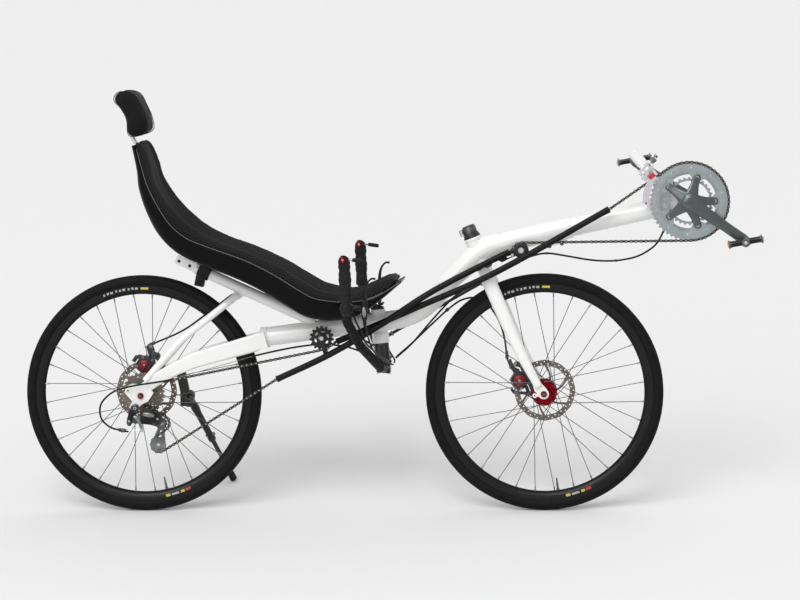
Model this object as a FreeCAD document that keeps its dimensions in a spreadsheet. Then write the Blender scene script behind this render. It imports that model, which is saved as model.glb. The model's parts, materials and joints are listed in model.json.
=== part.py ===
import FreeCAD, Part
import Sketcher
import math, os

# Recumbent bicycle with two 559 mm wheels, under-seat steering and a side stand.
# Everything is built upright in the bicycle's own frame (mm): X forward, Y to the
# left side, Z up, rear tyre contact under the rear axle at X = 0.  One last
# placement leans the whole machine over onto its side stand.

V = FreeCAD.Vector
doc = FreeCAD.newDocument("recumbent_bicycle")
sheet = doc.addObject("Spreadsheet::Sheet", "Sizes")


class Q:
    """A length that knows its number and the sheet expression it comes from."""
    def __init__(self, v, e):
        self.v, self.e = float(v), e
    def _mix(self, o, op, rev=False):
        ov, oe = (o.v, o.e) if isinstance(o, Q) else (float(o), repr(float(o)))
        a, b = ((ov, oe), (self.v, self.e)) if rev else ((self.v, self.e), (ov, oe))
        val = {"+": a[0] + b[0], "-": a[0] - b[0], "*": a[0] * b[0], "/": a[0] / b[0] if b[0] else 0.0}[op]
        return Q(val, "(%s %s %s)" % (a[1], op, b[1]))
    def __add__(self, o): return self._mix(o, "+")
    def __radd__(self, o): return self._mix(o, "+", True)
    def __sub__(self, o): return self._mix(o, "-")
    def __rsub__(self, o): return self._mix(o, "-", True)
    def __mul__(self, o): return self._mix(o, "*")
    def __rmul__(self, o): return self._mix(o, "*", True)
    def __truediv__(self, o): return self._mix(o, "/")
    def __neg__(self): return Q(-self.v, "(0 - %s)" % self.e)
    def __float__(self): return self.v


# alias, value (mm or degrees)
SIZES = [
    ("wheel_radius", 310.0), ("tyre_half", 15.5), ("tyre_wall", 3.0),
    ("rim_top_radius", 285.0), ("rim_inner_radius", 260.0), ("rim_half_width", 11.5),
    ("wheelbase", 1050.0), ("spoke_radius", 1.0), ("rotor_radius", 80.0), ("rotor_thickness", 1.8),
    ("front_flange_radius", 33.0), ("rear_flange_radius", 31.0),
    ("front_dropout_width", 100.0), ("rear_dropout_width", 135.0),
    ("front_hub_barrel", 15.0), ("rear_hub_barrel", 17.0), ("axle_radius", 6.0),
    ("main_tube_radius", 25.0), ("sleeve_radius", 27.0), ("boom_radius", 24.6),
    ("head_tube_radius", 22.0), ("head_tube_length", 79.0), ("steerer_radius", 14.3),
    ("pivot_tube_radius", 19.0), ("pivot_tube_length", 88.0), ("pivot_shaft_radius", 14.0),
    ("bracket_shell_radius", 22.0), ("bracket_shell_width", 68.0), ("crank_axle_radius", 12.0),
    ("crank_length", 172.5), ("chain_pitch", 12.7), ("big_ring_teeth", 50.0),
    ("bolt_circle", 130.0), ("pedal_axle_radius", 6.0),
    ("tube_wall", 2.0), ("beam_radius", 14.5), ("derailleur_post_radius", 14.3),
    ("bar_radius", 11.1), ("grip_radius", 16.2), ("tie_rod_radius", 4.0),
    ("chain_tube_radius", 7.0), ("chain_tube_bore", 5.6), ("housing_radius", 2.5),
    ("idler_teeth", 15.0), ("return_idler_radius", 21.0),
    ("stand_leg_radius", 11.0), ("stand_tip_radius", 6.0), ("stand_foot_radius", 9.5),
    ("seat_half_width", 150.0), ("pad_gap", 1.0), ("shell_thickness", 5.0),
    ("run_clearance", 0.1),
]
for n_row, (alias, value) in enumerate(SIZES, start=1):
    sheet.set("A%d" % n_row, alias)
    sheet.set("B%d" % n_row, repr(value))
    sheet.setAlias("B%d" % n_row, alias)
doc.recompute()
D = {alias: Q(value, "Sizes." + alias) for alias, value in SIZES}

# ---------------------------------------------------------------- places (X, Z)
R = D["wheel_radius"].v
WB = D["wheelbase"].v
LEAN = 11.3                        # degrees, onto the side stand
REAR = (0.0, R)                    # rear axle
FRONT = (WB, R)                    # front axle
CRANK = (1428.0, 808.0)            # crank axle
CRANK_ANGLE = -35.2                # right arm, degrees above the forward direction
HEAD_TOP = (866.0, 712.0)          # steering axis, upper end of the head tube
HEAD_TILT = 21.0                   # steering axis from the upright
PIVOT_TOP = (617.0, 528.0)         # handlebar pivot axis, upper end of its tube
PIVOT_TILT = 5.0
CHAIN_Y = -54.0                    # chain line


def down(tilt):
    a = math.radians(tilt)
    return V(math.sin(a), 0, -math.cos(a))


HEAD_DIR, PIVOT_DIR = down(HEAD_TILT), down(PIVOT_TILT)
HEAD0, PIVOT0 = V(HEAD_TOP[0], 0, HEAD_TOP[1]), V(PIVOT_TOP[0], 0, PIVOT_TOP[1])


def along(base, direction, s, y=0.0):
    p = base + direction * s
    return V(p.x, p.y + y, p.z)


# ---------------------------------------------------------------- helpers
def aim(direction, at=V(0, 0, 0)):
    """Placement that turns local +Z to a direction and moves the origin to a point."""
    return FreeCAD.Placement(at, FreeCAD.Rotation(V(0, 0, 1), direction))


def bind(obj, **sizes):
    for prop, q in sizes.items():
        if isinstance(q, Q):
            setattr(obj, prop, q.v)
            obj.setExpression(prop, q.e)
        else:
            setattr(obj, prop, q)
    return obj


def cyl(a, b, radius):
    """Part::Cylinder from point a to point b."""
    a, b = V(*a), V(*b)
    o = bind(doc.addObject("Part::Cylinder", "cylinder"), Radius=radius, Height=(b - a).Length)
    o.Placement = aim(b - a, a)
    return o


def cone(a, b, r1, r2):
    a, b = V(*a), V(*b)
    o = bind(doc.addObject("Part::Cone", "cone"), Radius1=r1, Radius2=r2, Height=(b - a).Length)
    o.Placement = aim(b - a, a)
    return o


def box(lo, hi, turn=0.0, about=None):
    """Part::Box between two corners, turned about the Y direction by degrees."""
    o = bind(doc.addObject("Part::Box", "block"), Length=hi[0] - lo[0], Width=hi[1] - lo[1], Height=hi[2] - lo[2])
    c = V(*about) if about else (V(*lo) + V(*hi)) * 0.5
    rot = FreeCAD.Rotation(V(0, 1, 0), -turn)
    o.Placement = FreeCAD.Placement(c, rot).multiply(FreeCAD.Placement(V(*lo) - c, FreeCAD.Rotation()))
    return o


def plate(points, y0, y1):
    """Flat plate: an outline in X, Z pushed from y0 to y1."""
    o = doc.addObject("Part::Feature", "plate")
    w = Part.makePolygon([V(x, y0, z) for x, z in points] + [V(points[0][0], y0, points[0][1])])
    o.Shape = Part.Face(w).extrude(V(0, y1 - y0, 0))
    return o


def sphere(c, radius):
    o = bind(doc.addObject("Part::Sphere", "ball"), Radius=radius)
    o.Placement.Base = V(*c)
    return o


def bend_path(pts, radii):
    """Straight runs joined by tangent arcs; radii has one entry per inner point."""
    P = [V(*p) for p in pts]
    edges, last = [], P[0]
    for i in range(1, len(P) - 1):
        a, b = (P[i] - P[i - 1]), (P[i + 1] - P[i])
        la, lb = a.Length, b.Length
        a.normalize(); b.normalize()
        turn = a.getAngle(b)
        r = radii[i - 1]
        if turn < 1e-3 or r <= 0:
            if (P[i] - last).Length > 1e-6:
                edges.append(Part.LineSegment(last, P[i]).toShape())
            last = P[i]
            continue
        t = r * math.tan(turn / 2)
        cap = 0.48 * min(la, lb)
        if t > cap:
            t, r = cap, cap / math.tan(turn / 2)
        p1, p2 = P[i] - a * t, P[i] + b * t
        mid = (b - a); mid.normalize()
        centre = P[i] + mid * (r / math.cos(turn / 2))
        m = centre - mid * r
        if (p1 - last).Length > 1e-6:
            edges.append(Part.LineSegment(last, p1).toShape())
        edges.append(Part.Arc(p1, m, p2).toShape())
        last = p2
    edges.append(Part.LineSegment(last, P[-1]).toShape())
    return Part.Wire(edges)


def pipe(name, pts, radii, radius, bore=None):
    """Part::Sweep of a circle along straight runs and tangent arcs."""
    wire = bend_path(pts, radii)
    line = doc.addObject("Part::Feature", name + "_line")
    line.Shape = wire
    t = V(*pts[1]) - V(*pts[0])
    out = []
    for r in ([radius] if bore is None else [radius, bore]):
        c = bind(doc.addObject("Part::Circle", name + "_section"), Radius=r)
        c.Placement = aim(t, V(*pts[0]))
        s = doc.addObject("Part::Sweep", name)
        s.Sections = [c]
        s.Spine = (line, ["Edge%d" % (k + 1) for k in range(len(wire.Edges))])
        s.Solid, s.Frenet, s.Transition = True, False, "Right corner"
        out.append(s)
    doc.recompute()
    want = math.pi * float(radius) ** 2 * wire.Length
    got = out[0].Shape.Volume
    if abs(got - want) > 0.01 * want:
        raise RuntimeError("%s: swept volume %.0f, section x length %.0f" % (name, got, want))
    if bore is None:
        return out[0]
    return cut(out[0], [out[1]])


def fuse(parts):
    if len(parts) == 1:
        return parts[0]
    o = doc.addObject("Part::MultiFuse", "joined")
    o.Shapes = parts
    return o


def cut(base, tools):
    o = doc.addObject("Part::Cut", "hollowed")
    o.Base, o.Tool = base, fuse(tools)
    return o


def solid(shape, name="formed"):
    o = doc.addObject("Part::Feature", name)
    o.Shape = shape
    return o


def mirror(o):
    m = doc.addObject("Part::Mirroring", "mirrored")
    m.Source, m.Normal, m.Base = o, V(0, 1, 0), V(0, 0, 0)
    return m


def group(parts):
    """Like pieces that don't touch share a node."""
    o = doc.addObject("Part::Compound", "set")
    o.Links = parts
    return o


def origin_plane(body, role):
    return [f for f in body.Origin.OriginFeatures if f.Role == role][0]


def outline(body, name, role, pts, arcs=None):
    """Closed sketch outline; every corner is tied to the sheet where it has an alias.
    arcs: edge index -> (centre x, centre y, counter-clockwise)."""
    arcs = arcs or {}
    sk = body.newObject("Sketcher::SketchObject", name)
    sk.AttachmentSupport = [(origin_plane(body, role), "")]
    sk.MapMode = "FlatFace"
    P = [(float(a), float(b)) for a, b in pts]
    n = len(P)
    for i in range(n):
        a, b = P[i], P[(i + 1) % n]
        if i in arcs:
            cx, cy, ccw = arcs[i]
            r = math.hypot(a[0] - cx, a[1] - cy)
            t0, t1 = math.atan2(a[1] - cy, a[0] - cx), math.atan2(b[1] - cy, b[0] - cx)
            if not ccw:
                t0, t1 = t1, t0
            if t1 <= t0:
                t1 += 2 * math.pi
            sk.addGeometry(Part.ArcOfCircle(Part.Circle(V(cx, cy, 0), V(0, 0, 1), r), t0, t1), False)
        else:
            sk.addGeometry(Part.LineSegment(V(a[0], a[1], 0), V(b[0], b[1], 0)), False)

    def end(i, which):
        return 3 - which if (i in arcs and not arcs[i][2]) else which
    for i in range(n):
        sk.addConstraint(Sketcher.Constraint("Coincident", i, end(i, 2), (i + 1) % n, end((i + 1) % n, 1)))
    for i in range(n):
        for kind, e, v in (("DistanceX", pts[i][0], P[i][0]), ("DistanceY", pts[i][1], P[i][1])):
            k = sk.addConstraint(Sketcher.Constraint(kind, -1, 1, i, end(i, 1), v))
            if isinstance(e, Q):
                sk.setExpression("Constraints[%d]" % k, e.e)
        if i in arcs:
            r = math.hypot(P[i][0] - arcs[i][0], P[i][1] - arcs[i][1])
            sk.addConstraint(Sketcher.Constraint("Radius", i, r))
    return sk


def turned(name, pts, arcs=None):
    """PartDesign body turned about the axle direction.  pts are (radius, y)."""
    body = doc.addObject("PartDesign::Body", name)
    sk = outline(body, name + "_profile", "XY_Plane", pts, arcs)
    rev = body.newObject("PartDesign::Revolution", name + "_turned")
    rev.Profile, rev.ReferenceAxis, rev.Angle = sk, (sk, ["V_Axis"]), 360.0
    return body


def pushed(name, pts, y0, y1, arcs=None, holes=()):
    """PartDesign body padded sideways from an X, Z outline, with round holes pocketed.
    The sketch lies on XZ, whose normal is -Y."""
    body = doc.addObject("PartDesign::Body", name)
    sk = outline(body, name + "_profile", "XZ_Plane", pts, arcs)
    sk.AttachmentOffset = FreeCAD.Placement(V(0, 0, -y0), FreeCAD.Rotation())
    pad = body.newObject("PartDesign::Pad", name + "_pad")
    pad.Profile = sk
    pad.Length = abs(y1 - y0)
    pad.Reversed = y1 > y0
    for k, (x, z, r) in enumerate(holes):
        hs = body.newObject("Sketcher::SketchObject", name + "_hole%d" % k)
        hs.AttachmentSupport = [(origin_plane(body, "XZ_Plane"), "")]
        hs.MapMode = "FlatFace"
        hs.AttachmentOffset = FreeCAD.Placement(V(0, 0, -y0), FreeCAD.Rotation())
        hs.addGeometry(Part.Circle(V(x, z, 0), V(0, 0, 1), float(r)), False)
        c = hs.addConstraint(Sketcher.Constraint("Radius", 0, float(r)))
        if isinstance(r, Q):
            hs.setExpression("Constraints[%d]" % c, r.e)
        hs.addConstraint(Sketcher.Constraint("DistanceX", -1, 1, 0, 3, x))
        hs.addConstraint(Sketcher.Constraint("DistanceY", -1, 1, 0, 3, z))
        pk = body.newObject("PartDesign::Pocket", name + "_pocket%d" % k)
        pk.Profile, pk.Type, pk.Midplane, pk.Length = hs, 0, True, 4 * abs(y1 - y0) + 20
    return body


def moved(o, x, z, y=0.0):
    """Shift a whole piece in the bicycle's frame."""
    o.Placement = FreeCAD.Placement(V(x, y, z), FreeCAD.Rotation()).multiply(o.Placement)
    return o


NODES = {}


def node(name, obj):
    obj.Label = name
    NODES[name] = obj
    return obj


# ================================================================ wheels
# Turned about Y; profiles are (radius, y).
top, rc, rt, tw = D["rim_top_radius"] + 0.3, D["wheel_radius"] - D["tyre_half"], D["tyre_half"], D["tyre_wall"]


def tyre(name):
    drop = rc.v - top.v
    yo = math.sqrt(rt.v ** 2 - drop ** 2)
    ri = rt.v - tw.v
    yi = math.sqrt(ri ** 2 - drop ** 2)
    return turned(name, [(top, -yo), (top, yo), (top, yi), (top, -yi)],
                  {0: (rc.v, 0.0, True), 2: (rc.v, 0.0, False)})


def rim(name):
    hw, lo, hi = D["rim_half_width"], D["rim_inner_radius"], D["rim_top_radius"]
    w = 2.4
    return turned(name, [(hi, hw), (lo + 9, hw), (lo, hw - 5.5), (lo, -hw + 5.5), (lo + 9, -hw), (hi, -hw),
                         (hi, -hw + w), (lo + 10.5, -hw + w), (lo + w, -hw + 7), (lo + w, hw - 7),
                         (lo + 10.5, hw - w), (hi, hw - w)])


def hub(name, flange_y, flange_r, barrel, half, rotor_y):
    """Hub shell: end boss, flange, barrel, flange, disc seat.  The disc is on the left (+y)."""
    b = D["axle_radius"] + D["run_clearance"]
    yr, yl = flange_y
    return turned(name, [(b, -half), (b, rotor_y - 0.1), (22.0, rotor_y - 0.1), (22.0, yl + 6), (barrel + 4, yl + 5),
                         (barrel + 4, yl + 2.2), (flange_r, yl + 1.4), (flange_r, yl - 1.4), (barrel + 2, yl - 2.6),
                         (barrel, yl - 8), (barrel, yr + 8), (barrel + 2, yr + 2.6), (flange_r, yr + 1.4),
                         (flange_r, yr - 1.4), (barrel + 2, yr - 2.2), (barrel - 1, max(yr - 6, 1.2 - half)), (barrel - 3, -half)])


def spokes(flange_y, flange_r, rim_y=3.0):
    """32 spokes laced three-cross: eight pulling and eight trailing on each flange."""
    out = []
    rh = flange_r - 4.0
    rr = D["rim_inner_radius"].v + 0.6
    for side, fy in enumerate(flange_y):
        sgn = -1 if side == 0 else 1
        for k in range(16):
            hole = math.radians(22.5 * k + (11.25 if side else 0.0))
            lead = 1 if k % 2 else -1
            tip = hole + lead * math.radians(66.0)
            tip = math.radians(22.5) * round((math.degrees(tip) - (5.6 if side else -5.6)) / 22.5) + math.radians(5.6 if side else -5.6)
            yo = fy + (2.6 if lead > 0 else -2.6)
            a = (rh * math.cos(hole), yo, rh * math.sin(hole))
            b = (rr * math.cos(tip), sgn * rim_y, rr * math.sin(tip))
            c = cyl(a, b, D["spoke_radius"])
            out.append(c)
    return out


def rotor(name, y):
    """Brake disc: outer braking ring, six swept arms and a centre ring."""
    r, t = D["rotor_radius"], D["rotor_thickness"]
    ring = cut(cyl((0, y, 0), (0, y + t.v, 0), r), [cyl((0, y - 1, 0), (0, y + t.v + 1, 0), r - 15)])
    core = cut(cyl((0, y, 0), (0, y + t.v, 0), 27.0), [cyl((0, y - 1, 0), (0, y + t.v + 1, 0), 17.5)])
    arms = []
    for k in range(6):
        a0, a1 = math.radians(60 * k), math.radians(60 * k + 26)
        p, q = (24 * math.cos(a0), 24 * math.sin(a0)), (67.5 * math.cos(a1), 67.5 * math.sin(a1))
        dx, dz = q[0] - p[0], q[1] - p[1]
        n = math.hypot(dx, dz)
        ox, oz = -dz / n * 3.2, dx / n * 3.2
        arms.append(plate([(p[0] + ox, p[1] + oz), (q[0] + ox, q[1] + oz), (q[0] - ox, q[1] - oz), (p[0] - ox, p[1] - oz)], y, y + t.v))
    return fuse([ring, core] + arms)


F_FL, R_FL = (-34.0, 22.0), (-12.0, 30.0)          # flange planes, right and left
F_ROT, R_ROT = 38.0, 50.0                          # disc planes
for tag, (cx, cz), fl, fr, barrel, half, ry in (
        ("front", FRONT, F_FL, 33.0, 14.0, 47.0, F_ROT),
        ("rear", REAR, R_FL, 31.0, 16.0, 16.5, R_ROT)):
    node(tag + "_tyre", moved(tyre(tag + "_tyre"), cx, cz))
    node(tag + "_rim", moved(rim(tag + "_rim"), cx, cz))
    node(tag + "_hub", moved(hub(tag + "_hub", fl, fr, barrel, half, ry), cx, cz))
    node(tag + "_spokes", moved(group(spokes(fl, fr)), cx, cz))
    node(tag + "_rotor", moved(rotor(tag + "_rotor", ry), cx, cz))

# axles with their quick-release ends: the nut is on the right, the lever on the left
ax = D["axle_radius"]


def axle(half, out, cx, cz, lever_deg):
    a = math.radians(lever_deg)
    tipx, tipz = 62 * math.cos(a), 62 * math.sin(a)
    return moved(fuse([cyl((0, -half, 0), (0, half, 0), ax), cyl((0, -out - 0.5, 0), (0, out + 0.5, 0), 2.5),
                       cyl((0, -out - 10, 0), (0, -out, 0), 8.5), cyl((0, out, 0), (0, out + 12, 0), 9.0),
                       cyl((0, out + 8, 0), (tipx, out + 24, tipz), 4.0)]), cx, cz)


node("front_axle", axle(50.0, 57.2, *FRONT, lever_deg=118))
node("rear_axle", axle(67.5, 74.7, *REAR, lever_deg=205))

# cassette on its free-wheeling carrier: nine cogs, chain on the smallest
COGS = [28, 24, 21, 19, 17, 15, 13, 12, 11]
COG_PITCH = 4.35
cog_y0 = CHAIN_Y + COG_PITCH * (len(COGS) - 1)


def pitch_radius(teeth):
    return D["chain_pitch"].v / (2 * math.sin(math.pi / teeth))


cogs = []
for k, teeth in enumerate(COGS):
    y = cog_y0 - COG_PITCH * k
    cogs.append(cyl((0, y - 0.9, 0), (0, y + 0.9, 0), pitch_radius(teeth) - (4.6 if teeth == 11 else 1.0)))
carrier = cyl((0, CHAIN_Y - 5.0, 0), (0, -17.2, 0), 16.5)
bore = cyl((0, -80, 0), (0, 0, 0), D["axle_radius"] + D["run_clearance"])
node("cassette", moved(cut(fuse([carrier] + cogs), [bore]), *REAR))

# ================================================================ main frame
mt, hr = D["main_tube_radius"], D["head_tube_radius"]
slope = 0.13
tube_pts = [(312.0, 0, 457 + slope * (312.0 - 328)), (726.0, 0, 508.8), (812.0, 0, 609.3)]
wall = D["tube_wall"]
bore_pts = [(306.0, 0, 457 + slope * (306.0 - 328)), (726.0, 0, 508.8), (820.0, 0, 618.6)]
main_tube = cut(pipe("main_tube", tube_pts, [205.0], mt), [pipe("main_bore", bore_pts, [205.0], mt - wall)])
head_lo = along(HEAD0, HEAD_DIR, D["head_tube_length"].v)
head_tube = cyl(tuple(HEAD0 - HEAD_DIR * 2), tuple(head_lo), hr)
neck = cyl(tuple(HEAD0 - HEAD_DIR * 12), tuple(HEAD0), hr - 3)
boom_dir = V(math.cos(math.radians(12.3)), 0, math.sin(math.radians(12.3)))
boom_at = lambda x: (x, 0, CRANK[1] - 2.0 - (CRANK[0] - x) * math.tan(math.radians(12.3)))
sleeve = cut(cyl(boom_at(950.0), boom_at(1122.0), D["sleeve_radius"]), [cyl(boom_at(940.0), boom_at(1140.0), D["boom_radius"] + 0.1)])
pivot_lo = along(PIVOT0, PIVOT_DIR, D["pivot_tube_length"].v)
pivot_tube = cyl(tuple(PIVOT0), tuple(pivot_lo), D["pivot_tube_radius"])
pivot_collar = cyl(tuple(along(PIVOT0, PIVOT_DIR, D["pivot_tube_length"].v - 26)), tuple(pivot_lo), D["pivot_tube_radius"] + 3)
clamp_lug = box((1052, -8, 694), (1112, 8, 712), 12.3)
# hydroformed neck: the main tube swells into the boom sleeve round the head tube
# x, z, run direction x, z, half height, half width
NECK = [(780.0, 571.9, 0.650, 0.760, 25.3, 25.2), (815.0, 611.5, 0.665, 0.747, 26.4, 25.6), (853.0, 648.0, 0.72, 0.69, 29.0, 26.2),
        (888.0, 680.0, 0.87, 0.49, 31.0, 27.0), (930.0, 696.0, 0.955, 0.295, 28.5, 27.4), (968.0, 705.7, 0.977, 0.213, 27.2, 27.2)]


def oval_loft(stations, less=0.0):
    wires = []
    for x, z, tx, tz, high, wide in stations:
        t = V(tx, 0, tz); t.normalize()
        e = Part.Ellipse(V(0, 0, 0), high - less, wide - less) if high > wide else Part.Ellipse(V(0, 0, 0), wide - less, wide - less - 0.001)
        w = e.toShape()
        u = V(-t.z, 0, t.x)
        w.Placement = FreeCAD.Placement(V(x, 0, z), FreeCAD.Rotation(u, t.cross(u), t, "ZXY"))
        wires.append(Part.Wire([w]))
    return solid(Part.makeLoft(wires, True, False), "neck_form")


neck_outer = oval_loft(NECK)
neck_inner = oval_loft([(770.0, 560.2, 0.650, 0.760, 25.3, 25.2)] + NECK[1:-1] + [(976.0, 707.4, 0.977, 0.213, 27.2, 27.2)], 1.5)
fairing = cut(neck_outer, [neck_inner])
frame_solid = fuse([main_tube, fairing, head_tube, neck, sleeve, pivot_tube, pivot_collar, clamp_lug])
bores = [cyl(tuple(HEAD0 - HEAD_DIR * 40), tuple(head_lo + HEAD_DIR * 40), D["steerer_radius"] + D["run_clearance"] * 0.5),
         cyl(tuple(PIVOT0 - PIVOT_DIR * 40), tuple(pivot_lo + PIVOT_DIR * 20), D["pivot_shaft_radius"] + D["run_clearance"] * 0.5),
         cyl(boom_at(1008.0), boom_at(1140.0), D["boom_radius"] + 0.1)]
node("main_frame", cut(frame_solid, bores))

# boom with the crank shell and the derailleur post
boom = cyl(boom_at(1012.0), boom_at(1420.0), D["boom_radius"])
shell = cyl((CRANK[0], -34, CRANK[1]), (CRANK[0], 34, CRANK[1]), D["bracket_shell_radius"])
post = cyl((1281, 0, 935), (1388, 0, 804), D["derailleur_post_radius"])
shell_bore = cyl((CRANK[0], -80, CRANK[1]), (CRANK[0], 80, CRANK[1]), D["crank_axle_radius"] + D["run_clearance"] * 0.5)
boom_bore = cyl(boom_at(1000.0), boom_at(1394.0), D["boom_radius"] - wall)
post_bore = cyl((1284.0, 0, 931.3), (1374.0, 0, 821.1), D["derailleur_post_radius"] - wall)
node("boom", cut(fuse([boom, shell, post]), [shell_bore, boom_bore, post_bore]))

# seat beam: from the main tube back and up under the seat
beam_a, beam_b = (452.0, 0, 495.0), (140.0, 0, 638.2)
bx, bz = beam_b[0] - beam_a[0], beam_b[2] - beam_a[2]
beam = cyl(beam_a, beam_b, D["beam_radius"])
beam_tail = box((86, -12, 637), (152, 12, 659), -24.7)
tail_holes = [cyl((98.0, -30, 657.0), (98.0, 30, 657.0), 2.6), cyl((126.0, -30, 644.2), (126.0, 30, 644.2), 2.6)]
main_clear = cyl((280.0, 0, 457 + slope * (280.0 - 328)), (645.0, 0, 457 + slope * (645.0 - 328)), mt + 0.05)
beam_bore = cyl((462.0, 0, 490.4), (166.0, 0, 626.3), D["beam_radius"] - wall)
node("seat_beam", cut(fuse([beam, beam_tail]), tail_holes + [main_clear, beam_bore]))


# ================================================================ rear triangle
def blade(stations):
    """Loft of rounded rectangles; stations are (x, y, z, width in y, height across)."""
    wires = []
    for i, (x, y, z, w, h) in enumerate(stations):
        a = stations[max(i - 1, 0)]
        b = stations[min(i + 1, len(stations) - 1)]
        t = V(b[0] - a[0], b[1] - a[1], b[2] - a[2]); t.normalize()
        side = V(0, 1, 0) - t * t.y; side.normalize()
        up = t.cross(side); up.normalize()
        c, r = V(x, y, z), min(w, h) * 0.42
        pts = []
        for sx, sy, ax_, ay in ((1, 1, 1, 0), (-1, 1, 0, 1), (-1, -1, -1, 0), (1, -1, 0, -1)):
            k = V(0, 0, 0)
            corner = c + side * (sx * (w / 2 - r)) + up * (sy * (h / 2 - r))
            pts.append((corner, sx, sy))
        edges = []
        n = len(pts)
        for j in range(n):
            (cc, sx, sy), (nc, nx, ny) = pts[j], pts[(j + 1) % n]
            # arc at this corner, then the straight to the next
            if j % 2 == 0:
                p1, p2 = cc + side * (sx * r), cc + up * (sy * r)
                q1 = nc + up * (ny * r)
            else:
                p1, p2 = cc + up * (sy * r), cc + side * (sx * r)
                q1 = nc + side * (nx * r)
            m = cc + (side * sx + up * sy) * (r / math.sqrt(2))
            edges.append(Part.Arc(p1, m, p2).toShape())
            edges.append(Part.LineSegment(p2, q1).toShape())
        wires.append(Part.Wire(edges))
    return solid(Part.makeLoft(wires, True, True), "blade")


def stay_points(y_sign, table):
    return [(x, y_sign * y, z, w, h) for x, y, z, w, h in table]


# x, y, z, width, height
CHAINSTAY = [(318.0, 25.0, 449.0, 18.0, 46.0), (296.0, 29.0, 443.0, 15.0, 46.0), (140.0, 46.0, 400.0, 14.0, 41.0),
             (92.0, 55.0, 379.5, 13.0, 35.0), (50.0, 63.5, 357.5, 12.0, 33.0), (8.0, 71.0, 328.0, 7.0, 30.0)]
DROPOUT = [(-38, 334), (-22, 342), (18, 338), (34, 318), (20, 296), (2, 287), (-12, 270), (-24, 268), (-30, 280), (-22, 296), (-42, 318)]
yoke = box((300, -34, 424), (326, 34, 470), 14.0)
wheel_gap = cyl((0, -24, R), (0, 24, R), 316.5)
collar = cone((312, 0, 454.9), (328, 0, 457.0), 27.0, 25.5)
half = D["rear_dropout_width"] / 2
right = [blade(stay_points(-1, CHAINSTAY)), plate(DROPOUT, -half.v - 7, -half.v)]
left = [blade(stay_points(1, CHAINSTAY)), plate(DROPOUT[:5] + [(2, 290), (-30, 292), (-42, 318)], half.v, half.v + 7)]
axle_gap = cyl((0, -90, R), (0, 90, R), ax + 0.1)
main_end = cyl(tuple(V(312.0, 0, 454.92)), tuple(V(400.0, 0, 466.36)), mt + 0.05)
eyelets = [cyl((-33, -90, 324), (-33, 90, 324), 2.6)]
node("chainstays", cut(fuse([yoke, collar] + right + left), [axle_gap, main_end, wheel_gap] + eyelets))

# seat stays: joined under the beam, then one each side of the tyre to the dropouts
STAY = [(250.0, 12.0, 567.0), (222.0, 33.0, 545.0), (107.0, 50.0, 455.0), (57.0, 58.0, 400.0), (12.0, 68.0, 348.0)]
legs = [pipe("seat_stay_r", [(x, -y, z) for x, y, z in STAY], [14.0, 200.0, 160.0], 9.5),
        pipe("seat_stay_l", [(x, y, z) for x, y, z in STAY], [14.0, 200.0, 160.0], 9.5)]
bridge = cyl((250, -12, 567), (250, 12, 567), 9.5)
riser = cyl((246, 0, 564), (272, 0, 583), 12.0)
beam_clear = cyl(beam_a, beam_b, D["beam_radius"] + 0.05)
stay_feet = [blade([(28.0, s * 64.0, 366.0, 9.0, 20.0), (6.0, s * 70.6, 342.5, 7.0, 22.0)]) for s in (-1, 1)]
drop_clear = [plate(DROPOUT, -half.v - 7.05, -half.v + 0.05), plate(DROPOUT[:5] + [(2, 290), (-30, 292), (-42, 318)], half.v - 0.05, half.v + 7.05)]
stay_cs = [blade([(x, s * y, z, w + 0.1, h + 0.1) for x, y, z, w, h in CHAINSTAY]) for s in (-1, 1)]
node("seat_stays", cut(fuse(legs + [bridge, riser]), [beam_clear] + drop_clear + stay_cs))

# ================================================================ seat
# x, z of the shell's underside along its middle, and its half width there
SEAT = [(-12, 962, 105), (2, 900, 125), (8, 852, 138), (28, 791, 148), (60, 731, 152), (108, 684, 152), (180, 649, 150),
        (262, 616, 150), (332, 581, 152), (390, 545, 155), (440, 518, 156), (497, 508, 154), (540, 511, 148),
        (580, 525, 138), (625, 554, 124), (688, 610, 96)]
# depth of the bucket's sides and height of the pad's side swell at each station
DEPTH = [6, 13, 23, 33, 40, 45, 49, 52, 52, 52, 52, 50, 46, 38, 21, 6]
SWELL = [42, 52, 60, 70, 80, 80, 76, 76, 78, 80, 79, 74, 68, 59, 46, 26]


def seat_frames():
    out = []
    for i, (x, z, hw) in enumerate(SEAT):
        a, b = SEAT[max(i - 1, 0)], SEAT[min(i + 1, len(SEAT) - 1)]
        t = V(b[0] - a[0], 0, b[1] - a[1]); t.normalize()
        up = V(-t.z, 0, t.x)          # away from the underside
        out.append((V(x, 0, z), up, hw))
    return out


def seat_section(c, up, hw, rows):
    """rows: (fraction of the half width, height above the underside)."""
    pts = [c + V(0, f * hw, 0) + up * h_ for f, h_ in rows]
    return Part.makePolygon(pts + [pts[0]])


def seat_loft(rows_at, ends=()):
    wires = []
    frames = seat_frames()
    for i, (c, up, hw) in enumerate(frames):
        wires.append(seat_section(c, up, hw, rows_at(i)))
    for k, (step, rows) in enumerate(ends):
        c, up, hw = frames[0 if k == 0 else -1]
        t = V(up.z, 0, -up.x) * step
        w = seat_section(c + t, up, hw * 0.93, rows)
        wires.insert(0, w) if k == 0 else wires.append(w)
    return Part.makeLoft(wires, True, True)


def shell_rows(i):
    """Shallow bucket: flat floor, sides rising to a rim, less deep at both ends."""
    d = DEPTH[i]
    o = [(-1.0, d), (-0.93, 0.34 * d), (-0.72, -0.5), (0.0, 0.0), (0.72, -0.5), (0.93, 0.34 * d), (1.0, d)]
    i_ = [(0.965, d), (0.895, 0.34 * d + 4), (0.70, 4.7), (0.0, 5.0), (-0.70, 4.7), (-0.895, 0.34 * d + 4), (-0.965, d)]
    return o + i_


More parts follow.
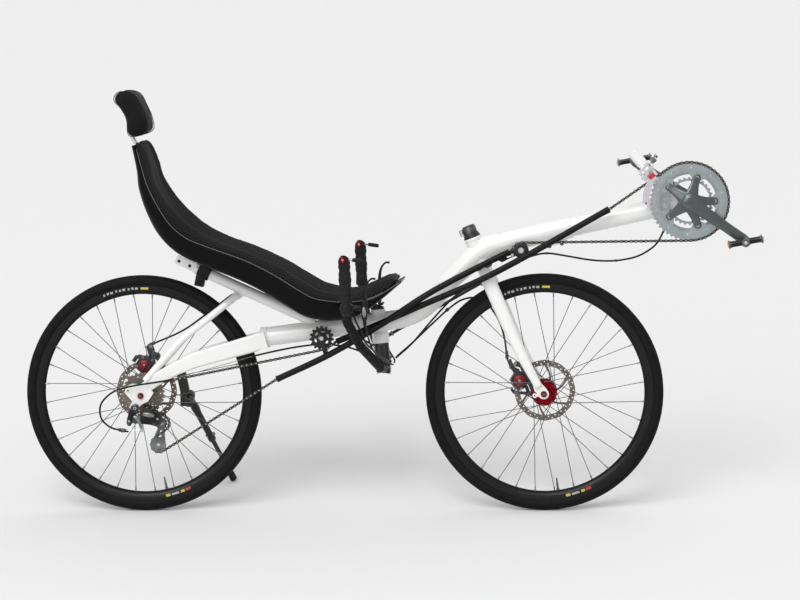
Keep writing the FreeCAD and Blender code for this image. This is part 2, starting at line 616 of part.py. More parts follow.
def pad_rows(i):
    d, top = DEPTH[i], SWELL[i]
    lo = [(0.955, d + 1), (0.88, 0.34 * d + 5.8), (0.69, 6.1), (0.0, 6.3), (-0.69, 6.1), (-0.88, 0.34 * d + 5.8), (-0.955, d + 1)]
    hi = [(-0.97, d + 0.45 * (top - d)), (-0.86, top), (-0.62, top - 12), (0.0, 0.42 * top + 13), (0.62, top - 12), (0.86, top), (0.97, d + 0.45 * (top - d))]
    return lo + hi


node("seat_shell", solid(seat_loft(shell_rows)))
nose = [(f, 15 + (h_ - 15) * 0.55) if h_ > 15 else (f, h_ + 4) for f, h_ in pad_rows(0)]
STRAP = [(-22.5, 986.5), (-15.5, 975.0), (-6.9, 962.9), (6.9, 902.0), (10.8, 902.9), (-3.0, 963.8), (-11.9, 976.6), (-18.6, 986.5)]
strap_slot = plate([(-21.0, 990.0), (-7.4, 962.0), (6.0, 899.0), (12.8, 899.0), (-1.2, 964.6), (-10.5, 990.0)], -13.0, 13.0)
node("seat_pad", cut(solid(seat_loft(pad_rows, [(-10.0, nose)])), [strap_slot]))

# headrest: padded block on a curved strap
HEAD_REST = [(-58, 1092), (-45, 1102), (-8, 1096), (12, 1062), (25, 1030), (28, 1000), (8, 987), (-22, 987), (-28, 1030), (-44, 1060), (-60, 1078)]
node("headrest_pad", plate(HEAD_REST, -75, 75))
node("headrest_bracket", pushed("headrest_strap", STRAP, 12.0, -12.0))

# seat clamps
rear_clamp = fuse([box((146, -26, 644), (186, 26, 652), -24.7), cyl((156, 0, 630.9), (178, 0, 620.8), 18.5), box((152, -10, 588), (176, 10, 622), -14)])
node("seat_rear_clamp", cut(rear_clamp, [cyl(beam_a, beam_b, D["beam_radius"] + 0.05), cyl((140.0, 0, 638.2), (120, 0, 647.4), 16.5)]))
node("seat_front_bracket", fuse([cyl((617, 0, 529.0), (616, 0, 536), 16.0), box((600, -24, 534), (634, 24, 540), 25)]))

# ================================================================ drive
tube_r, tube_b = D["chain_tube_radius"], D["chain_tube_bore"]
IDLER, RETURN = (473.0, 457.0), (993.0, 683.0)
POWER = [(512.0, -47.0, 447.5), (594.0, -47.0, 481.0), (728.0, -50.0, 539.0), (910.0, -65.0, 619.0), (1221.0, -52.0, 789.0)]
BACK = [(962.0, -47.5, 679.0), (905.0, -52.0, 652.0), (755.0, -60.5, 574.0), (640.0, -62.5, 500.0), (495.0, -62.5, 416.0), (356.0, -61.0, 351.0)]
node("power_chain_tube", pipe("power_tube", POWER, [900, 900, 900], tube_r, tube_b))
node("return_chain_tube", pipe("return_tube", BACK, [300, 700, 700, 700], tube_r, tube_b))


def tangent(c1, r1, s1, c2, r2, s2):
    """Belt tangent between two wheels; s is +1 where the belt turns counter-clockwise (X to Z)."""
    dx, dz = c2[0] - c1[0], c2[1] - c1[1]
    d = math.hypot(dx, dz)
    a = math.atan2(dz, dx)
    # the normal offset of the line is -s*r on each wheel
    k = (s1 * r1 - s2 * r2) / d
    b = a + math.asin(max(-1, min(1, k)))
    nx, nz = math.sin(b), -math.cos(b)
    return ((c1[0] + s1 * r1 * nx, c1[1] + s1 * r1 * nz), (c2[0] + s2 * r2 * nx, c2[1] + s2 * r2 * nz))


def chain_run(stops, width=5.4, tall=8.0):
    """Chain as one closed band: straight runs and arcs round the wheels.
    stops: (x, z, y, radius, sense); radius 0 is a free end."""
    pieces = []
    pts = []
    for i in range(len(stops) - 1):
        a, b = stops[i], stops[i + 1]
        p, q = tangent((a[0], a[1]), a[3], a[4], (b[0], b[1]), b[3], b[4])
        P, Qv = V(p[0], a[2], p[1]), V(q[0], b[2], q[1])
        pts.append((P, Qv))
        t = Qv - P
        L = t.Length
        t.normalize()
        side = V(0, 1, 0) - t * t.y; side.normalize()
        up = t.cross(side)
        c = [P + side * (u * width / 2) + up * (w * tall / 2) for u, w in ((1, 1), (-1, 1), (-1, -1), (1, -1))]
        pieces.append(Part.Face(Part.makePolygon(c + [c[0]])).extrude(t * L))
    for i in range(1, len(stops) - 1):
        x, z, y, r, s = stops[i]
        p, q = pts[i - 1][1], pts[i][0]
        a0, a1 = math.atan2(p.z - z, p.x - x), math.atan2(q.z - z, q.x - x)
        if s > 0:
            while a1 < a0: a1 += 2 * math.pi
        else:
            while a1 > a0: a1 -= 2 * math.pi
        am = (a0 + a1) / 2
        def pt(rad, ang):
            return V(x + rad * math.cos(ang), y - width / 2, z + rad * math.sin(ang))
        ri, ro = r - tall / 2, r + tall / 2
        e = [Part.Arc(pt(ro, a0), pt(ro, am), pt(ro, a1)).toShape(), Part.LineSegment(pt(ro, a1), pt(ri, a1)).toShape(),
             Part.Arc(pt(ri, a1), pt(ri, am), pt(ri, a0)).toShape(), Part.LineSegment(pt(ri, a0), pt(ro, a0)).toShape()]
        pieces.append(Part.Face(Part.Wire(e)).extrude(V(0, width, 0)))
    s = pieces[0]
    return s.multiFuse(pieces[1:])


ring_r, cog_r, idler_r = pitch_radius(50), pitch_radius(11), pitch_radius(15)
RING_Y = -52.0
GUIDE, TENSION = (52.0, 236.0), (44.0, 180.0)          # derailleur pulleys
PULLEY_R = 20.5
# rear half: return tube mouth -> tension pulley -> guide pulley -> small cog -> idler -> power tube mouth
rear_stops = [(352.0, 349.0, -61.0, 0.0, 1), (TENSION[0], TENSION[1], CHAIN_Y, PULLEY_R, -1), (GUIDE[0], GUIDE[1], CHAIN_Y, PULLEY_R, 1),
              (0.0, R, CHAIN_Y, cog_r, -1), (IDLER[0], IDLER[1], -47.5, idler_r, 1), (508.5, 446.0, -47.0, 0.0, 1)]
front_stops = [(1224.5, 790.8, -52.0, 0.0, 1), (CRANK[0], CRANK[1], RING_Y, ring_r, -1), (RETURN[0], RETURN[1], -46.0, 20.0, 1), (965.5, 680.7, -47.3, 0.0, 1)]
node("chain", group([solid(chain_run(rear_stops)), solid(chain_run(front_stops))]))

# power idler: toothed wheel on a bolt from the main tube, with the bracket that carries the tubes
idler_bolt = cyl((IDLER[0], -20, IDLER[1] + 2), (IDLER[0], -56, IDLER[1]), 4.0)
node("power_idler", fuse([cut(cyl((IDLER[0], -48.5, IDLER[1]), (IDLER[0], -46.5, IDLER[1]), idler_r - 4.6), [cyl((IDLER[0], -60, IDLER[1]), (IDLER[0], -30, IDLER[1]), 4.3)]),
                          cut(cyl((IDLER[0], -50.8, IDLER[1]), (IDLER[0], -43.2, IDLER[1]), 12.0), [cyl((IDLER[0], -60, IDLER[1]), (IDLER[0], -30, IDLER[1]), 4.3)])]))
node("return_idler", cut(cyl((RETURN[0], -50.0, RETURN[1]), (RETURN[0], -42.0, RETURN[1]), 15.6), [cyl((RETURN[0], -70, RETURN[1]), (RETURN[0], -30, RETURN[1]), 4.3)]))
main_skin = cyl((400.0, 0, 457 + slope * (400.0 - 328)), (560.0, 0, 457 + slope * (560.0 - 328)), mt + 0.05)
idler_arm = fuse([cyl((IDLER[0], -18, IDLER[1]), (IDLER[0], -42.6, IDLER[1]), 7.0), cyl((IDLER[0], -40, IDLER[1]), (IDLER[0], -56.5, IDLER[1]), 4.2),
                  cyl((IDLER[0], -51.5, IDLER[1]), (IDLER[0], -55.5, IDLER[1]), 9.0),
                  box((IDLER[0] - 4, -55.5, IDLER[1] - 48), (IDLER[0] + 12, -52.5, IDLER[1] + 4), -8)])
ret_skin = cyl((520.0, -62.5, 430.5), (452.0, -62.3, 395.9), tube_r + 0.4)
power_bracket = cut(idler_arm, [main_skin, ret_skin])
ret_arm = fuse([cyl((RETURN[0], -52.5, RETURN[1]), (RETURN[0], -24, RETURN[1]), 4.2), box((975, -33, 676), (1010, -22, 700), 12.3),
                cyl((RETURN[0], -41.5, RETURN[1]), (RETURN[0], -32, RETURN[1]), 9.0), cyl((RETURN[0], -53.5, RETURN[1]), (RETURN[0], -50.5, RETURN[1]), 8.0),
                box((936, -39.0, 664), (998, -35.5, 684), 20)])
return_bracket = cut(ret_arm, [cyl(boom_at(860.0), boom_at(1150.0), D["sleeve_radius"] + 0.05)])
node("idler_brackets", group([power_bracket, return_bracket]))

# cranks: right arm carries the spider and rings; the axle goes through the boom's shell
ca = math.radians(CRANK_ANGLE)
cdx, cdz = math.cos(ca), math.sin(ca)
cl = D["crank_length"].v
rings = []
for teeth, y in ((50, RING_Y), (39, RING_Y + 6.5), (30, RING_Y + 13.0)):
    pr = pitch_radius(teeth) - (4.6 if teeth == 50 else 1.0)
    inner = 58.0 if teeth > 30 else 33.0
    rings.append(cut(cyl((CRANK[0], y - 1.0, CRANK[1]), (CRANK[0], y + 1.0, CRANK[1]), pr), [cyl((CRANK[0], y - 3, CRANK[1]), (CRANK[0], y + 3, CRANK[1]), inner)]))
bolts = []
for k in range(5):
    a = ca + math.radians(36 + 72 * k)
    bx_, bz_ = CRANK[0] + 65 * math.cos(a), CRANK[1] + 65 * math.sin(a)
    bolts.append(cyl((bx_, RING_Y - 6, bz_), (bx_, RING_Y + 8, bz_), 5.0))
    b2 = (CRANK[0] + 37 * math.cos(a), CRANK[1] + 37 * math.sin(a))
    bolts.append(cyl((b2[0], RING_Y + 5, b2[1]), (b2[0], RING_Y + 14.2, b2[1]), 4.0))
    tab = plate([(CRANK[0] + 34 * math.cos(a) - 5 * math.sin(a), CRANK[1] + 34 * math.sin(a) + 5 * math.cos(a)), (CRANK[0] + 62 * math.cos(a) - 5 * math.sin(a), CRANK[1] + 62 * math.sin(a) + 5 * math.cos(a)),
                 (CRANK[0] + 62 * math.cos(a) + 5 * math.sin(a), CRANK[1] + 62 * math.sin(a) - 5 * math.cos(a)), (CRANK[0] + 34 * math.cos(a) + 5 * math.sin(a), CRANK[1] + 34 * math.sin(a) - 5 * math.cos(a))], RING_Y + 5.5, RING_Y + 7.5)
    bolts.append(tab)
rings_all = fuse(rings + bolts)
spider_arms = []
for k in range(5):
    a = ca + math.radians(36 + 72 * k)
    px_, pz_ = math.cos(a), math.sin(a)
    n_ = (-pz_, px_)
    spider_arms.append(plate([(CRANK[0] + px_ * 8 + n_[0] * 13, CRANK[1] + pz_ * 8 + n_[1] * 13), (CRANK[0] + px_ * 72 + n_[0] * 8, CRANK[1] + pz_ * 72 + n_[1] * 8),
                              (CRANK[0] + px_ * 72 - n_[0] * 8, CRANK[1] + pz_ * 72 - n_[1] * 8), (CRANK[0] + px_ * 8 - n_[0] * 13, CRANK[1] + pz_ * 8 - n_[1] * 13)], RING_Y - 5.0, RING_Y - 1.1))


def arm(sgn, y_in, y_out, hub_r):
    ex, ez = CRANK[0] + sgn * cdx * cl, CRANK[1] + sgn * cdz * cl
    n_ = (-sgn * cdz, sgn * cdx)
    s = plate([(CRANK[0] + n_[0] * 17, CRANK[1] + n_[1] * 17), (ex + n_[0] * 12, ez + n_[1] * 12), (ex - n_[0] * 12, ez - n_[1] * 12), (CRANK[0] - n_[0] * 17, CRANK[1] - n_[1] * 17)], y_in, y_out)
    eye = cyl((ex, y_in, ez), (ex, y_out, ez), 14.0)
    boss = cyl((CRANK[0], y_in, CRANK[1]), (CRANK[0], y_out, CRANK[1]), hub_r)
    return [s, eye, boss], (ex, ez)


ra, (rex, rez) = arm(1, -80.0, -66.0, 21.0)
la, (lex, lez) = arm(-1, 62.0, 76.0, 19.0)
hub_boss = cyl((CRANK[0], -67.0, CRANK[1]), (CRANK[0], -35.5, CRANK[1]), 20.0)
spindle = cyl((CRANK[0], -72, CRANK[1]), (CRANK[0], 72, CRANK[1]), D["crank_axle_radius"])
right_pin = cyl((rex, -74, rez), (rex, -180, rez), D["pedal_axle_radius"])
left_pin = cyl((lex, 70, lez), (lex, 180, lez), D["pedal_axle_radius"])
node("chainrings", cut(rings_all, [cyl((CRANK[0], -80, CRANK[1]), (CRANK[0], -30, CRANK[1]), 20.1)] + [plate([(CRANK[0] - 200, CRANK[1] - 200), (CRANK[0] + 200, CRANK[1] - 200), (CRANK[0] + 200, CRANK[1] + 200), (CRANK[0] - 200, CRANK[1] + 200)], RING_Y - 9, RING_Y - 1.05)]))
node("crank_right", fuse(ra + spider_arms + [hub_boss, spindle, right_pin]))
left_boss = cyl((CRANK[0], 36.5, CRANK[1]), (CRANK[0], 64, CRANK[1]), 18.0)
node("crank_left", cut(fuse(la + [left_boss, left_pin]), [cyl((CRANK[0], -80, CRANK[1]), (CRANK[0], 72.05, CRANK[1]), D["crank_axle_radius"] + 0.02)]))


def pedal(px, pz, sgn):
    """Cage pedal: barrel between two end plates, joined by front and rear plates."""
    y0, y1 = 86.0 * sgn, 176.0 * sgn
    w0, w1 = sorted((98 * sgn, 170 * sgn))
    barrel_ = cyl((px, y0, pz), (px, y1, pz), 12.0)
    plates = [box((px - 47, w0, pz - 9), (px - 42, w1, pz + 9)), box((px + 42, w0, pz - 9), (px + 47, w1, pz + 9)),
              box((px - 46, w0, pz - 9), (px + 46, w0 + 5, pz + 9)), box((px - 46, w1 - 5, pz - 9), (px + 46, w1, pz + 9))]
    return cut(fuse([barrel_] + plates), [cyl((px, 0, pz), (px, 300 * sgn, pz), D["pedal_axle_radius"] + D["run_clearance"])])


node("pedal_right", pedal(rex, rez, -1))
node("pedal_left", pedal(lex, lez, 1))

# front derailleur on its post and rear derailleur on the dropout
fd_at = (1318.0, 890.0)
fd_dir = V(107.0, 0, -131.0); fd_dir.normalize()
fa, fb = V(1318, 0, 890) - fd_dir * 9, V(1318, 0, 890) + fd_dir * 9
post_skin = cyl((1281, 0, 935), (1388, 0, 804), D["derailleur_post_radius"] + 0.05)
fd_band = cyl(tuple(fa), tuple(fb), 19.0)
fd_arm = fuse([box((1308, -40, 872), (1338, -14, 894), -50), box((1312, -46.0, 850), (1330, -36, 884), -20)])
fd_cage_in = plate([(1312, 882), (1334, 888), (1331, 846), (1323, 806), (1314, 806), (1316, 840)], -44.5, -42.5)
fd_cage_out = plate([(1312, 882), (1334, 888), (1331, 846), (1323, 806), (1314, 806), (1316, 840)], -60.5, -58.5)
fd_bridge = plate([(1312, 882), (1334, 888), (1334, 880), (1312, 873)], -60.5, -42.5)
node("front_derailleur", cut(fuse([fd_band, fd_arm, fd_cage_in, fd_cage_out, fd_bridge]), [post_skin]))

rd_body = fuse([cyl((-13, -74.9, 279), (-13, -92, 279), 8.5), box((-30, -98, 236), (-6, -76, 284), 12), box((0, -98, 238), (56, -74, 270), 12),
                box((-20, -96, 242), (10, -78, 262), 0), cyl((-40, -88, 222), (-22, -88, 240), 5.0),
                cyl((GUIDE[0], -96, GUIDE[1]), (GUIDE[0], -62.5, GUIDE[1]), 9.0)])
cage = [(GUIDE[0] - 13, GUIDE[1] + 8), (GUIDE[0] + 13, GUIDE[1] + 8), (TENSION[0] + 14, TENSION[1] - 6), (TENSION[0] + 6, TENSION[1] - 15), (TENSION[0] - 8, TENSION[1] - 14), (TENSION[0] - 14, TENSION[1])]
cage_out = plate(cage, -62.5, -60.5)
cage_in = plate(cage, -47.5, -45.5)
pulleys = [cyl((GUIDE[0], -57.0, GUIDE[1]), (GUIDE[0], -51.0, GUIDE[1]), 15.6), cyl((TENSION[0], -57.0, TENSION[1]), (TENSION[0], -51.0, TENSION[1]), 15.6)]
pins = [cyl((GUIDE[0], -62, GUIDE[1]), (GUIDE[0], -46, GUIDE[1]), 3.0), cyl((TENSION[0], -62, TENSION[1]), (TENSION[0], -46, TENSION[1]), 3.0)]
node("rear_derailleur", fuse([rd_body, cage_out, cage_in] + pulleys + pins))

# ================================================================ fork
fork_crown = V(HEAD0.x, 0, HEAD0.z) + HEAD_DIR * 108
# x, y, z, half depth, half width
ARM_Y = 72.0
BLADE = [(901.0, 35.0, 620.0, 19.0, 13.5), (931.0, 41.0, 551.0, 18.5, 13.5), (982.0, 53.0, 436.0, 15.0, 12.0), (1036.0, 59.0, 331.0, 10.5, 9.0)]


def round_blade(sgn):
    wires = []
    for i, (x, y, z, deep, wide) in enumerate(BLADE):
        a, b = BLADE[max(i - 1, 0)], BLADE[min(i + 1, len(BLADE) - 1)]
        t = V(b[0] - a[0], sgn * (b[1] - a[1]), b[2] - a[2]); t.normalize()
        u = V(0, 1, 0).cross(t); u.normalize()
        e = Part.Ellipse(V(0, 0, 0), deep, wide).toShape()
        e.Placement = FreeCAD.Placement(V(x, sgn * y, z), FreeCAD.Rotation(u, t.cross(u), t, "ZXY"))
        wires.append(Part.Wire([e]))
    return solid(Part.makeLoft(wires, True, False), "fork_blade")


steerer = cyl(tuple(HEAD0 - HEAD_DIR * 30), tuple(HEAD0 + HEAD_DIR * 110), D["steerer_radius"])
crown = fuse([cyl(tuple(HEAD0 + HEAD_DIR * (D["head_tube_length"].v + 1.0)), tuple(HEAD0 + HEAD_DIR * 108), 19.0),
              cyl(tuple(V(HEAD0.x, -36, HEAD0.z) + HEAD_DIR * 96), tuple(V(HEAD0.x, 36, HEAD0.z) + HEAD_DIR * 96), 15.0)])
TAB = [(1030, 345), (1042, 340), (1058, 322), (1062, 306), (1052, 297), (1040, 300), (1026, 318), (1020, 338)]
tabs = [plate(TAB, -57, -50), plate(TAB, 50, 57)]
fork_arm = fuse([box((872, 34, 604), (892, 64, 614), 0)])
arm_eye = V(HEAD0.x, ARM_Y, HEAD0.z) + HEAD_DIR * 96
steer_arm = fuse([cyl(tuple(V(HEAD0.x, 30, HEAD0.z) + HEAD_DIR * 96), tuple(arm_eye), 6.5), cyl(tuple(arm_eye - HEAD_DIR * 7), tuple(arm_eye + HEAD_DIR * 8), 9.0)])
node("fork", cut(fuse([steerer, crown, round_blade(1), round_blade(-1), steer_arm] + tabs), [cyl((WB, -90, R), (WB, 90, R), ax + 0.05), cyl((WB - 21, -90, R + 2), (WB - 21, 90, R + 2), 2.6),
            cyl(tuple(HEAD0 - HEAD_DIR * 26), tuple(HEAD0 + HEAD_DIR * 96), D["steerer_radius"] - wall)]))
cap_lo, cap_hi = HEAD0 - HEAD_DIR * 13.5, HEAD0 - HEAD_DIR * 34
node("steerer_clamp", cut(fuse([cyl(tuple(cap_lo), tuple(cap_hi), 18.0), box((836, -9, 722), (852, 9, 742), 21)]), [cyl(tuple(cap_lo + HEAD_DIR * 5), tuple(HEAD0 - HEAD_DIR * 30.1), D["steerer_radius"] + 0.02)]))

# disc calipers: body over the disc, adjuster, mounting arm
def caliper(cx, cz, y, turn, axle_at):
    b = box((cx - 20, y - 11, cz - 22), (cx + 20, y + 21, cz + 22), turn)
    knob = cyl((cx, y - 12.5, cz), (cx, y - 8, cz), 15.0)
    horn = box((cx - 26, y - 8, cz + 8), (cx - 12, y + 8, cz + 42), turn)
    return [b, knob, horn]


fc = caliper(988.0, 336.0, F_ROT + 1.0, 60, FRONT)
disc_f = cyl((WB, F_ROT - 1.2, R), (WB, F_ROT + 3.0, R), 81.5)
fork_skin = [solid(round_blade(1).Shape.copy())]
node("front_caliper", cut(fuse(fc), [disc_f, round_blade(1)]))
rcl = caliper(-14.0, 378.0, R_ROT + 1.0, -35, REAR)
disc_r = cyl((0, R_ROT - 1.2, R), (0, R_ROT + 3.0, R), 81.5)
stay_l2 = pipe("stay_copy", [(x, y, z) for x, y, z in STAY], [14.0, 200.0, 160.0], 9.6)
node("rear_caliper", cut(fuse(rcl[:2]), [disc_r, stay_l2, stay_cs[1]] + [plate(DROPOUT[:5] + [(2, 290), (-30, 292), (-42, 318)], half.v - 0.05, half.v + 7.05)]))

# ================================================================ handlebar
bar_c = along(PIVOT0, PIVOT_DIR, 150.0)
stem = fuse([cyl(tuple(along(PIVOT0, PIVOT_DIR, 2.0)), tuple(along(PIVOT0, PIVOT_DIR, 92.0)), D["pivot_shaft_radius"]),
             cyl(tuple(along(PIVOT0, PIVOT_DIR, 90.0)), tuple(along(PIVOT0, PIVOT_DIR, 134.0)), 19.0),
             box((bar_c.x - 18, -22, bar_c.z - 17), (bar_c.x + 20, 22, bar_c.z + 18), -5)])
BAR = [(bar_c.x, 0, bar_c.z), (bar_c.x - 2, 70, bar_c.z + 2), (586.0, 215, 452.0), (557.0, 278, 520.0), (552.0, 285, 672.0)]
bar_pts = [(x, -y, z) for x, y, z in reversed(BAR)] + BAR[1:]
node("handlebar", pipe("bar", bar_pts, [60, 60, 60, 30, 60, 60, 60], D["bar_radius"]))
GRIP_LOW, GRIP_TOP = (557.0, 278.0, 520.0), (552.0, 285.0, 672.0)
gd = V(*GRIP_TOP) - V(*GRIP_LOW); gd.normalize()


bar_skin = pipe("bar_skin", bar_pts, [60, 60, 60, 30, 60, 60, 60], D["bar_radius"] + 0.02)


def grip(s):
    a, b = V(GRIP_LOW[0], GRIP_LOW[1] * s, GRIP_LOW[2]), V(GRIP_TOP[0], GRIP_TOP[1] * s, GRIP_TOP[2])
    d = (b - a); d.normalize()
    g = cyl(tuple(a + d * 50), tuple(b - d * 0.0), D["grip_radius"])
    return cut(g, [cyl(tuple(a), tuple(b + d * 5), D["bar_radius"] + 0.02)])


def shifter(s):
    a, b = V(GRIP_LOW[0], GRIP_LOW[1] * s, GRIP_LOW[2]), V(GRIP_TOP[0], GRIP_TOP[1] * s, GRIP_TOP[2])
    d = (b - a); d.normalize()
    e = b + d * 0.3
    return fuse([cyl(tuple(e), tuple(e + d * 16), 13.0), cyl(tuple(e + d * 9), tuple(e + d * 9 + V(46, 0, -7)), 4.0)])


def lever(s):
    a, b = V(GRIP_LOW[0], GRIP_LOW[1] * s, GRIP_LOW[2]), V(GRIP_TOP[0], GRIP_TOP[1] * s, GRIP_TOP[2])
    d = (b - a); d.normalize()
    c = a + d * 34
    ring_ = cyl(tuple(a + d * 22), tuple(a + d * 44), 16.0)
    arm_ = box((c.x + 8, min(s * 271, s * 288), c.z - 10), (c.x + 44, max(s * 271, s * 288), c.z + 10), 0)
    body_ = box((c.x + 36, min(s * 270, s * 289), c.z - 36), (c.x + 55, max(s * 270, s * 289), c.z + 16), 3)
    bl = cyl((c.x + 45, s * 280, c.z + 12), (c.x + 49, s * 280, c.z + 52), 4.0)
    bl2 = cyl((c.x + 49, s * 280, c.z + 52), (c.x + 62, s * 280, c.z + 74), 4.0)
    hook = cyl((c.x + 62, s * 280, c.z + 74), (c.x + 73, s * 280, c.z + 76), 4.0)
    return cut(fuse([ring_, arm_, body_, bl, bl2, hook]), [cyl(tuple(a - d * 20), tuple(b), D["bar_radius"] + 0.02), bar_skin])


for tag, s in (("left", 1), ("right", -1)):
    node("grip_" + tag, grip(s))
    node("brake_lever_" + tag, lever(s))

node("bar_end_shifters", group([shifter(1), shifter(-1)]))

# steering arm on the stem and the rod to the fork
arm_z = along(PIVOT0, PIVOT_DIR, 100.0)
bar_arm = fuse([cyl((arm_z.x, 12, arm_z.z), (arm_z.x, ARM_Y, arm_z.z), 6.0), cyl(tuple(V(arm_z.x, ARM_Y, arm_z.z) + PIVOT_DIR * 8), tuple(V(arm_z.x, ARM_Y, arm_z.z) - PIVOT_DIR * 7), 9.0)])
node("handlebar_stem", cut(fuse([stem, bar_arm]), [bar_skin]))
rod_a = V(arm_z.x, ARM_Y, arm_z.z) - PIVOT_DIR * 16
rod_b = V(HEAD0.x, ARM_Y, HEAD0.z) + HEAD_DIR * 117
rod_pin = V(PIVOT_DIR.x, 0.06, PIVOT_DIR.z); rod_pin.normalize()
rod = fuse([cyl(tuple(rod_a), tuple(rod_b), D["tie_rod_radius"]), cyl(tuple(rod_a - rod_pin * 6), tuple(rod_a + rod_pin * 6), 8.0), cyl(tuple(rod_b - HEAD_DIR * 6), tuple(rod_b + HEAD_DIR * 6), 8.0)])
node("tie_rod", rod)

# ================================================================ side stand
K0 = V(108.0, 88.0, 290.0)
FOOT = V(208.0, 232.0, 50.62)
kd = FOOT - K0; kd.normalize()
K_AXIS = V(0.005, 0.829, 0.560); K_AXIS.normalize()
leg1 = K0 + kd * 150
node("stand_mount", cut(fuse([box((82, 54, 300), (108, 82, 384), 14), box((88, 51, 264), (110, 66, 312), 0), cyl(tuple(K0 - K_AXIS * 26), tuple(K0 - K_AXIS * 12.5), 15.0)]), [stay_cs[1], cyl(tuple(K0 - K_AXIS * 12.4), tuple(K0 + K_AXIS * 30), 17.0)]))
node("stand_leg", fuse([cyl(tuple(K0 - K_AXIS * 12), tuple(K0 + K_AXIS * 12), 15.0), cone(tuple(K0), tuple(leg1), 11.0, 9.5), cyl(tuple(leg1 - kd * 6), tuple(FOOT - kd * 10), D["stand_tip_radius"])]))
node("stand_foot", cut(cyl(tuple(FOOT - kd * 22), tuple(FOOT), D["stand_foot_radius"]), [cyl(tuple(FOOT - kd * 30), tuple(FOOT - kd * 10), D["stand_tip_radius"] + 0.02)]))

# ================================================================ cables
hz = D["housing_radius"]
CABLES = {
    # along the left of the main tube, up under the seat beam and down the left seat stay to the disc brake
    "rear_brake_cable": [(650.0, 26.0, 399.0), (612.0, 34.0, 422.0), (560.0, 36.0, 456.0), (480.0, 34.0, 466.0), (400.0, 32.0, 464.0), (330.0, 32.0, 478.0), (288.0, 32.0, 536.0), (240.0, 40.0, 575.0), (168.0, 62.0, 518.0), (98.0, 72.0, 466.0), (24.0, 66.0, 436.0), (-22.0, 52.0, 420.0)],
    # under the main tube to a stop at the chainstay yoke
    "shift_cable_rear": [(653.5, -26.0, 393.4), (606.0, -26.0, 404.0), (548.0, -18.0, 430.0), (476.0, -16.0, 440.0), (404.0, -22.0, 432.0), (344.0, -32.0, 421.0), (290.0, -40.0, 409.0)],
    # up the right of the main tube behind the chain tubes, then a free loop under the boom to the derailleur
    "front_derailleur_cable": [(664.0, -18.0, 402.0), (706.0, -26.0, 438.0), (768.0, -36.0, 512.0), (832.0, -50.0, 578.5), (910.0, -57.0, 612.8), (1005.0, -53.0, 664.5), (1055.0, -47.0, 678.0), (1110.0, -41.0, 668.0), (1179.0, -36.0, 655.0), (1238.0, -31.0, 653.0), (1298.0, -24.0, 664.0), (1344.0, -12.0, 694.0), (1362.0, -2.0, 730.0)],
    # under the main tube to a clip behind the fork
    "front_brake_cable_rear": [(664.0, 16.0, 402.0), (706.0, 20.0, 438.0), (756.0, 20.0, 486.0), (796.0, 18.0, 523.0)],
    # from the clip, round the left of the tyre to the front disc brake
    "front_brake_cable_front": [(798.0, 18.2, 524.8), (832.0, 26.0, 550.0), (868.0, 44.0, 556.0), (902.0, 68.0, 536.0), (932.0, 80.0, 490.0), (946.0, 76.0, 440.0), (950.0, 62.0, 400.0)],
}
for name, pts in CABLES.items():
    radii = []
    for i in range(1, len(pts) - 1):
        a, b = V(*pts[i]) - V(*pts[i - 1]), V(*pts[i + 1]) - V(*pts[i])
        radii.append(0.45 * min(a.Length, b.Length) / math.tan(a.getAngle(b) / 2))
    print("%-24s bend radii %s" % (name, [round(r) for r in radii]))
    if name != "shift_cable_rear":
        node(name, pipe(name, pts, radii, hz))
    else:
        forward_housing = pipe(name, pts, radii, hz)

# rear shift cable: bare wire under the right chainstay, then the loop of housing into the derailleur
SHIFT_LOOP = [(84.0, -82.0, 353.0), (40.0, -85.0, 346.0), (-20.0, -88.0, 338.0), (-72.0, -89.0, 324.0), (-106.0, -90.0, 290.0), (-104.0, -90.0, 250.0), (-76.0, -89.0, 226.0), (-42.0, -88.0, 221.0)]
radii = [0.45 * min((V(*SHIFT_LOOP[i]) - V(*SHIFT_LOOP[i - 1])).Length, (V(*SHIFT_LOOP[i + 1]) - V(*SHIFT_LOOP[i])).Length)
         / math.tan((V(*SHIFT_LOOP[i]) - V(*SHIFT_LOOP[i - 1])).getAngle(V(*SHIFT_LOOP[i + 1]) - V(*SHIFT_LOOP[i])) / 2) for i in range(1, len(SHIFT_LOOP) - 1)]
bare = cyl((292.0, -39.6, 409.4), (82.0, -82.2, 353.3), 0.9)
node("shift_cable_rear", fuse([forward_housing, bare, pipe("shift_loop", SHIFT_LOOP, radii, hz)]))
# housings held along the handlebar: two from the brake levers, two from the bar-end shifters
sets = []
for s_ in (-1, 1):
    brake = [(602.0, 279.0 * s_, 521.0), (607.0, 264.0 * s_, 486.0), (616.0, 205.0 * s_, 440.0), (637.0, 126.0 * s_, 406.0), (656.0, 62.0 * s_, 389.5), (657.0, 30.0 * s_, 386.0)]
    shift_ = [(564.5, 269.0 * s_, 566.0), (577.0, 258.0 * s_, 520.0), (592.0, 232.0 * s_, 486.0), (596.5, 197.0 * s_, 459.0), (627.0, 121.0 * s_, 418.0), (643.0, 64.0 * s_, 400.0), (646.0, 30.0 * s_, 394.5)]
    for pts in (brake, shift_):
        rr_ = [0.45 * min((V(*pts[i]) - V(*pts[i - 1])).Length, (V(*pts[i + 1]) - V(*pts[i])).Length)
               / math.tan((V(*pts[i]) - V(*pts[i - 1])).getAngle(V(*pts[i + 1]) - V(*pts[i])) / 2) for i in range(1, len(pts) - 1)]
        sets.append(pipe("bar_housing", pts, rr_, hz))
node("bar_cables", group(sets))

